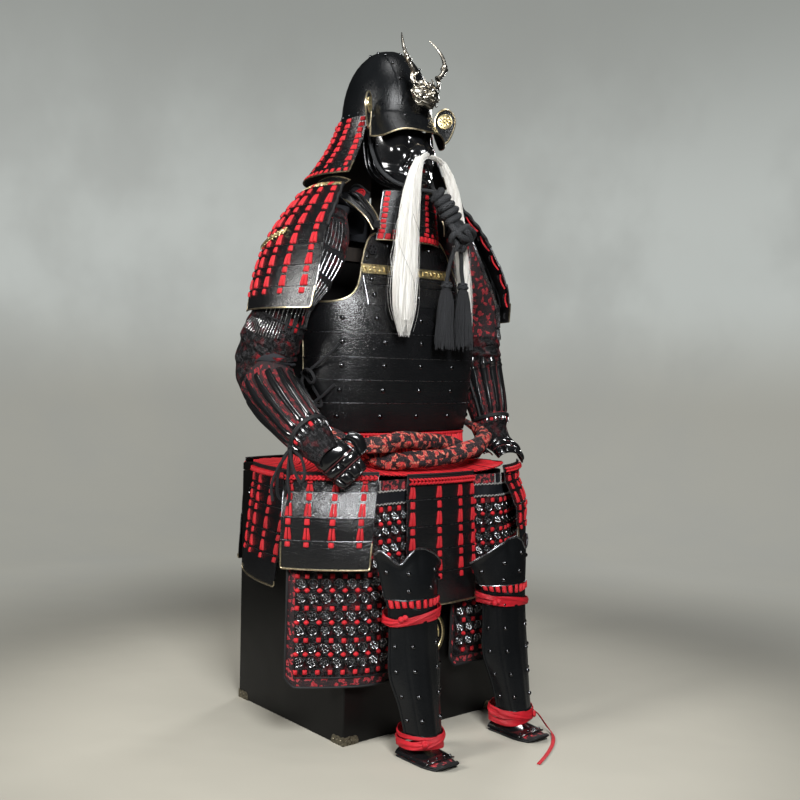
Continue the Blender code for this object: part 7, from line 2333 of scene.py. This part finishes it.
# ====================================================== knees, shins and feet
# pale metal for the kneecap's top edge: a painted highlight
LIT_EDGE = metal("knee_edge_painted_highlight", (0.30, 0.31, 0.33), (0.05, 0.05, 0.055), 0.26, 0.12, 0.0003)
for side, s in (("right", -1), ("left", 1)):
    f = shin_fn(s)
    p = Piece("shin_guard_plate_" + side)
    ps = span(-1.44, 1.44, 60)
    zs = span(0.0545, 0.318, 36)

    def shape(q, z, out=0.0, f=f):
        t = (z - 0.0545) / 0.2635
        ridge = 0.0030 * np.exp(-(q / 0.16) ** 2)
        groove = -0.0014 * np.exp(-((abs(q) - 0.72) / 0.05) ** 2)
        return f(q, z, out + ridge + groove + 0.0008)
    P = np.array([[shape(q, z) for q in ps] for z in zs])
    p.shell(P, SHIN_BLACK, PLATE, ref=(s * SHIN_X, -0.10, None), back=LACQUER_IN)
    for q in (-1.44, 1.44):
        p.tube(np.array([shape(q, z, -0.0004) for z in zs]), 0.0030, SHIN_BLACK, 10)
    p.tube(np.array([shape(q, 0.0545, -0.0002) for q in ps]), 0.0022, SHIN_BLACK, 8)
    for z in (0.276, 0.226, 0.178, 0.130, 0.084):
        for q in (-0.55, 0.46) if s < 0 else (-0.46, 0.55):
            p.rivet(lambda a, b, o=0.0: shape(a, b, o), q, z, RIVET, 0.0050, 0.0046, 14)
        for q in (-1.20, 1.20):
            p.rivet(lambda a, b, o=0.0: shape(a, b, o), q, z, RIVET, 0.0044, 0.0040, 12)
    p.done("shin_guard_" + side, slot="black_lacquer")

    f = knee_fn(s)
    p = Piece("kneecap_plate_" + side)

    def kn(q, w, out=0.0, f=f):
        dish = 0.0050 * np.exp(-((q - 0.05) / 0.55) ** 2) * sin(pi * min(1, max(0, w)))
        fold = -0.0035 * np.exp(-((q - 0.12 * s * -1) / 0.10) ** 2) * max(0.0, w - 0.35) * 1.5
        flare = 0.0028 * max(0.0, w - 0.85) / 0.15
        return f(q, w, out + dish + fold + flare + 0.0006)
    qs = span(-1.35, 1.40, 72)
    P = np.array([[kn(q, w) for q in qs] for w in span(0, 1, 24)])
    p.shell(P, SHIN_BLACK, PLATE, ref=(s * SHIN_X, -0.06, None), back=LACQUER_IN)
    # painted highlight along the top edge
    p.tube(np.array([kn(q, 1.0, -0.0006) for q in qs]), 0.0022, LIT_EDGE, 10)
    for q in (-1.35, 1.40):
        p.tube(np.array([kn(q, w, -0.0004) for w in span(0, 1, 20)]), 0.0020, SHIN_BLACK, 8)
    # painted highlight bead along the lower edge
    p.tube(np.array([kn(q, 0.055, 0.0006) for q in qs]), 0.0016, EDGE, 7)
    for q, w in ((0.44, 0.66), (0.50, 0.29), (-0.41, 0.66), (-0.21, 0.27), (1.12, 0.60), (-1.05, 0.55)) if s < 0 else ((-0.35, 0.56), (-0.43, 0.19), (0.26, 0.71), (0.14, 0.32), (1.02, 0.60), (-1.10, 0.55)):
        p.rivet(lambda a, b, o=0.0: kn(a, b, o), q, w, RIVET, 0.0050, 0.0046, 14)
    # red lacing under the kneecap, over a dark cord
    for k in range(11):
        q = -1.28 + 2.58 * (k + 0.5) / 11
        p.pad(lambda a, b, o=0.0: kn(a, b, o), q, -0.12, 0.055, 0.0104, 0.0110, 0.0046, LACE, 1, 0.0010, 0.0006)
    P = np.array([[kn(q, w, -0.0008) for q in qs] for w in (-0.15, -0.10, -0.05, 0.0)])
    p.shell(P, PIPING, 0.0016, ref=(s * SHIN_X, -0.06, None))
    p.done("kneecap_" + side, slot="black_lacquer")

    # ---- tie under the knee: flat bands crossing, drawn tight
    p = Piece("knee_tie_bands_" + side)

    def band(z_mid, tilt, wide, lift, seed, a=0.0635, yf=-0.1435, yb=-0.058, mat=LACE_FLAT, n=2.2, x0=s * SHIN_X, th=0.0009, sag=0.0, wrink=0.0007):
        rows = []
        M = 96
        for i in range(M):
            q = 2 * pi * i / M
            zc = z_mid + tilt * sin(q + seed) + 0.0012 * sin(3 * q + seed) + sag * sin(q)
            hw = wide * (0.86 + 0.14 * sin(2 * q + 3 * seed)) / 2
            row = []
            for v in np.linspace(-1, 1, 7):
                o = lift + wrink * sin(3.3 * v + 4 * q + seed) + 0.0008 * (1 - v * v)
                x, y = oval(q, a, yf, yb, n, o)
                row.append((x0 + s * x, y, zc + hw * v))
            rows.append(row)
        P = np.array(rows).transpose(1, 0, 2)
        p.shell(P, mat, th, ref=(x0, (yf + yb) / 2, z_mid), wrap=True)
    band(0.2765, 0.0016, 0.0125, 0.0002, 0.3, sag=-0.007)
    band(0.2860, -0.0026, 0.0115, 0.0010, 1.1, sag=-0.007)
    band(0.2815, 0.0050, 0.0100, 0.0020, 2.4, sag=-0.007)
    for kk, (q0, z0) in enumerate(((0.9 * -s, 0.2820), (0.75 * -s, 0.2850))):
        x, y = oval(q0, 0.0635, -0.1435, -0.058, 2.2, 0.0038)
        p.dome(np.array([s * SHIN_X + s * x, y, z0]), unit((s * sin(q0), -cos(q0), 0.1)), 0.0062, 0.0038, LACE_FLAT, 12, 3)
    p.done("knee_tie_" + side, slot="red_lacing", smooth=70)

    p = Piece("ankle_wrap_bands_" + side)
    ank = dict(a=0.0450, yf=-0.1800, yb=-0.090)
    band(0.0320, 0.0030, 0.0150, 0.0002, 0.9, **ank)
    band(0.0400, 0.0085, 0.0150, 0.0012, 2.2, **ank)
    band(0.0450, -0.0090, 0.0140, 0.0020, 0.4, **ank)
    band(0.0430, 0.0040, 0.0120, 0.0028, 3.6, **ank)
    band(0.0525, 0.0030, 0.0110, 0.0006, 5.0, **ank)
    x, y = oval(0.5, 0.0450, -0.1800, -0.090, 2.2, 0.005)
    p.dome(np.array([s * (SHIN_X + x), y, 0.043]), unit((s * 0.5, -0.85, 0.1)), 0.0075, 0.0045, LACE_FLAT, 12, 3)
    p.done("ankle_wrap_" + side, slot="red_lacing", smooth=70)

    # ---- foot guard
    def sole(u, t, out=0.0):
        half = 0.036 * (1 - max(0.0, t - 0.55) ** 2 * 2.6)
        curl = 0.010 * max(0.0, t - 0.87) / 0.13
        return np.array([s * (SHIN_X + u * half), -0.106 - 0.122 * t, 0.0045 + curl + out])
    p = Piece("foot_sole_cloth_" + side)
    ts = span(0, 1, 40)
    P = np.array([[sole(u, t) for u in span(-1, 1, 14)] for t in ts])
    p.shell(P, BROCADE_EDGE, 0.0042, ref=(s * SHIN_X, -0.15, -0.2), back=HEMP, edge=PIPING)
    loop_ = [sole(-1, t, -0.0018) for t in ts] + [sole(u, 1.0, -0.0018) for u in span(-1, 1, 14)[1:-1]] + [sole(1, t, -0.0018) for t in ts[::-1]] + [sole(u, 0.0, -0.0018) for u in span(1, -1, 10)[1:-1]]
    p.sweep(np.array(loop_), ring(8, 0.0024, 0.0022), PIPING, closed=True)
    inset = [sole(-0.86, t, 0.0006) for t in span(0.03, 0.965, 40)] + [sole(u, 0.965, 0.0006) for u in span(-0.8, 0.8, 10)] + [sole(0.86, t, 0.0006) for t in span(0.965, 0.03, 40)]
    p.tube(np.array(inset), 0.0008, LACE, 5)
    ob = p.done("foot_sole_" + side, slot="brocade")

    def toe(q, t, out=0.0):
        a = 0.0410 - 0.004 * t
        x = (a + out) * sin(q)
        y = -0.106 - 0.084 * t - 0.018 * t * cos(q)
        return np.array([s * (SHIN_X + x), y, 0.0052 + (0.0185 + out) * abs(cos(q)) ** 0.8 * (1 - 0.35 * t * t)])
    p = Piece("foot_plate_lames_" + side)
    P = np.array([[toe(q, t, 0.0004) for q in span(-1.45, 1.45, 40)] for t in span(0, 1, 24)])
    p.shell(P, GLOSS, 0.0020, ref=(s * SHIN_X, -0.14, -0.05), back=HEMP)
    p.tube(np.array([toe(q, 1.0, 0.0004) for q in span(-1.45, 1.45, 40)]), 0.0018, GLOSS, 8)
    # domed brocade toe in front of the plate, piped round its edge
    for kk, (t0, t1, big, mat) in enumerate(((0.52, 0.955, 0.0115, BROCADE_EDGE), (0.02, 0.20, 0.0, None))):
        if mat is None:
            continue
        rows_ = []
        for t in span(t0, t1, 16):
            row_ = []
            for u in span(-1, 1, 20):
                q = (t - t0) / (t1 - t0)
                high = big * (1 - abs(u) ** 2.6) ** 0.6 * (1 - q ** 3.0) ** 0.5
                row_.append(sole(u * 0.94, t, 0.0008 + high))
            rows_.append(row_)
        p.grid(np.array(rows_), mat)
        p.tube(np.array([sole(-0.94, t, 0.0014) for t in span(t0, t1, 16)] + [sole(u, t1, 0.0014) for u in span(-0.90, 0.90, 14)] + [sole(0.94, t, 0.0014) for t in span(t1, t0, 16)]), 0.0022, PIPING, 8)
    for q in (-0.85, -0.28, 0.28, 0.85):
        c = toe(q, 0.90, 0.0008)
        p.dome(c, unit(c - np.array([s * SHIN_X, -0.15, -0.01])), 0.0026, 0.0022, RIVET, 10)
    p.done("foot_plate_" + side, slot="gloss_lacquer", smooth=60)

# ================================================================== the chest
def box_loops(p, loops, mat, cap_first=None, cap_last=None, yc=CHEST_D / 2, seg=5):
    """Rounded rectangles (half x, half y, corner radius, z) joined one to the next."""
    rows = []
    for hx, hy, r, z in loops:
        row = []
        for cx, cy, a0 in ((1, 1, 0), (-1, 1, pi / 2), (-1, -1, pi), (1, -1, 3 * pi / 2)):
            for q in span(0, pi / 2, seg):
                row.append((cx * (hx - r) + r * cos(a0 + q), yc + cy * (hy - r) + r * sin(a0 + q), z))
        rows.append(row)
    idx = p.grid(np.array(rows), mat, wrap=True)
    if cap_first is not None:
        p.fan(idx[0][:-1], (0, yc, loops[0][3]), cap_first)
    if cap_last is not None:
        p.fan(idx[-1][:-1], (0, yc, loops[-1][3]), cap_last)


hx, hy = CHEST_W / 2, CHEST_D / 2
top_body = CHEST_H - LID_H - 0.0006
p = Piece("chest_boards")
box_loops(p, [(hx - 0.0016, hy - 0.0016, 0.0022, 0.0), (hx, hy, 0.0030, 0.0018), (hx, hy, 0.0030, 0.020), (hx, hy, 0.0030, 0.27), (hx, hy, 0.0030, top_body - 0.0016),
              (hx - 0.0012, hy - 0.0012, 0.0024, top_body)], CHEST, cap_first=CHEST)
box_loops(p, [(hx - 0.0012, hy - 0.0012, 0.0024, top_body), (hx - BOARD, hy - BOARD, 0.002, top_body), (hx - BOARD, hy - BOARD, 0.002, BOARD)], CHEST_IN, cap_last=CHEST_IN)
p.done("chest_body", slot="chest_black", smooth=35)

p = Piece("chest_fittings")
SM = 0.0009


def corner_fitting(sx, sy, reach=0.040, tall=0.0195):
    """A scalloped corner plate wrapped round a bottom corner, with three pins."""
    for axis in (0, 1):
        rows = []
        for i in range(15):
            q = i / 14
            lim = tall * (1.0 if q < 0.72 else (1 - ((q - 0.72) / 0.28) ** 2) ** 0.5 * 0.62 + 0.36) * (1 - 0.10 * abs(sin(2.5 * pi * q)))
            rows.append([(q * reach, v * lim) for v in (0.0, 0.25, 0.5, 0.75, 0.93, 1.0)])
        P = []
        for row in rows:
            line = []
            for d, h in row:
                o = SM if 0.02 < h / reach else SM
                if axis == 0:
                    line.append((sx * (hx - d), hy + sy * (hy + o), h))
                else:
                    line.append((sx * (hx + o), hy + sy * (hy - d), h))
            P.append(line)
        p.shell(np.array(P), BRONZE, SM + 0.0004, ref=(0, hy, 0.1))
        for d, h in ((0.008, 0.010), (0.021, 0.010), (0.033, 0.008)):
            c = (sx * (hx - d), hy + sy * (hy + SM), h) if axis == 0 else (sx * (hx + SM), hy + sy * (hy - d), h)
            n_ = (0, sy, 0) if axis == 0 else (sx, 0, 0)
            p.dome(np.array(c), n_, 0.0026, 0.0018, BRONZE, 10, 2)
    p.tube(np.array([(sx * (hx + SM - 0.0012), hy + sy * (hy + SM - 0.0012), z) for z in span(0.0016, tall, 6)]), 0.0016, BRONZE, 8)


for sx in (-1, 1):
    for sy in (-1, 1):
        corner_fitting(sx, sy)
# carrying ring plates near the top of both sides
for sx in (-1, 1):
    for yy in (0.045, CHEST_D - 0.045) if sx < 0 else (CHEST_D / 2,):
        P = np.array([[(sx * (hx + 0.0014), yy + a, z) for a in span(-0.011, 0.011, 4)] for z in span(0.474, 0.506, 6)])
        p.shell(P, RIVET, 0.0018, ref=(0, hy, 0.5))
        p.dome(np.array([sx * (hx + 0.0012), yy, 0.498]), (sx, 0, 0), 0.0040, 0.0030, RIVET, 12)
        ringpts = [(sx * (hx + 0.0042), yy + 0.0085 * sin(t), 0.4885 + 0.0085 * cos(t)) for t in turn(24)]
        p.sweep(np.array(ringpts), ring(7, 0.0015), RIVET, closed=True, nrm=(sx, 0, 0))
# plain gilt ring set on the front board
emb = Piece("chest_front_ring")
for r, t in ((0.050, 0.0042), (0.036, 0.0018)):
    pts = [(0.000 + r * sin(a), -0.0008, 0.198 + r * cos(a)) for a in turn(64)]
    emb.sweep(np.array(pts), ring(8, t, 0.0018), GOLD_RELIEF, closed=True, nrm=(0, -1, 0))
for k in range(12):
    a = 2 * pi * k / 12
    c = np.array([0.026 * sin(a), -0.0004, 0.198 + 0.026 * cos(a)])
    emb.dome(c, (0, -1, 0), 0.0052, 0.0016, GOLD_RELIEF, 12, 2)
emb.dome(np.array([0, -0.0004, 0.198]), (0, -1, 0), 0.0120, 0.0024, GOLD_RELIEF, 24, 3)
emb.done(slot="antique_silver")
p.done(slot="antique_silver", smooth=35)

p = Piece("chest_lid_boards")
z0 = CHEST_H - LID_H + 0.0006
box_loops(p, [(hx - 0.0012, hy - 0.0012, 0.0024, z0), (hx, hy, 0.0030, z0 + 0.0014), (hx, hy, 0.0030, CHEST_H - 0.0020), (hx - 0.0020, hy - 0.0020, 0.0030, CHEST_H)], CHEST, cap_last=CHEST)
box_loops(p, [(hx - 0.0012, hy - 0.0012, 0.0024, z0), (hx - BOARD, hy - BOARD, 0.002, z0), (hx - BOARD, hy - BOARD, 0.002, CHEST_H - BOARD)], CHEST_IN, cap_last=CHEST_IN)
p.done("chest_lid", slot="chest_black", smooth=35)

# the frame inside keeps its built shape and only takes its wood
for ob in bpy.data.objects:
    if ob.name.split(".")[0] == "stand_frame" and ob.type == "MESH":
        ob.data.materials.clear()
        ob.data.materials.append(STAND_WOOD)
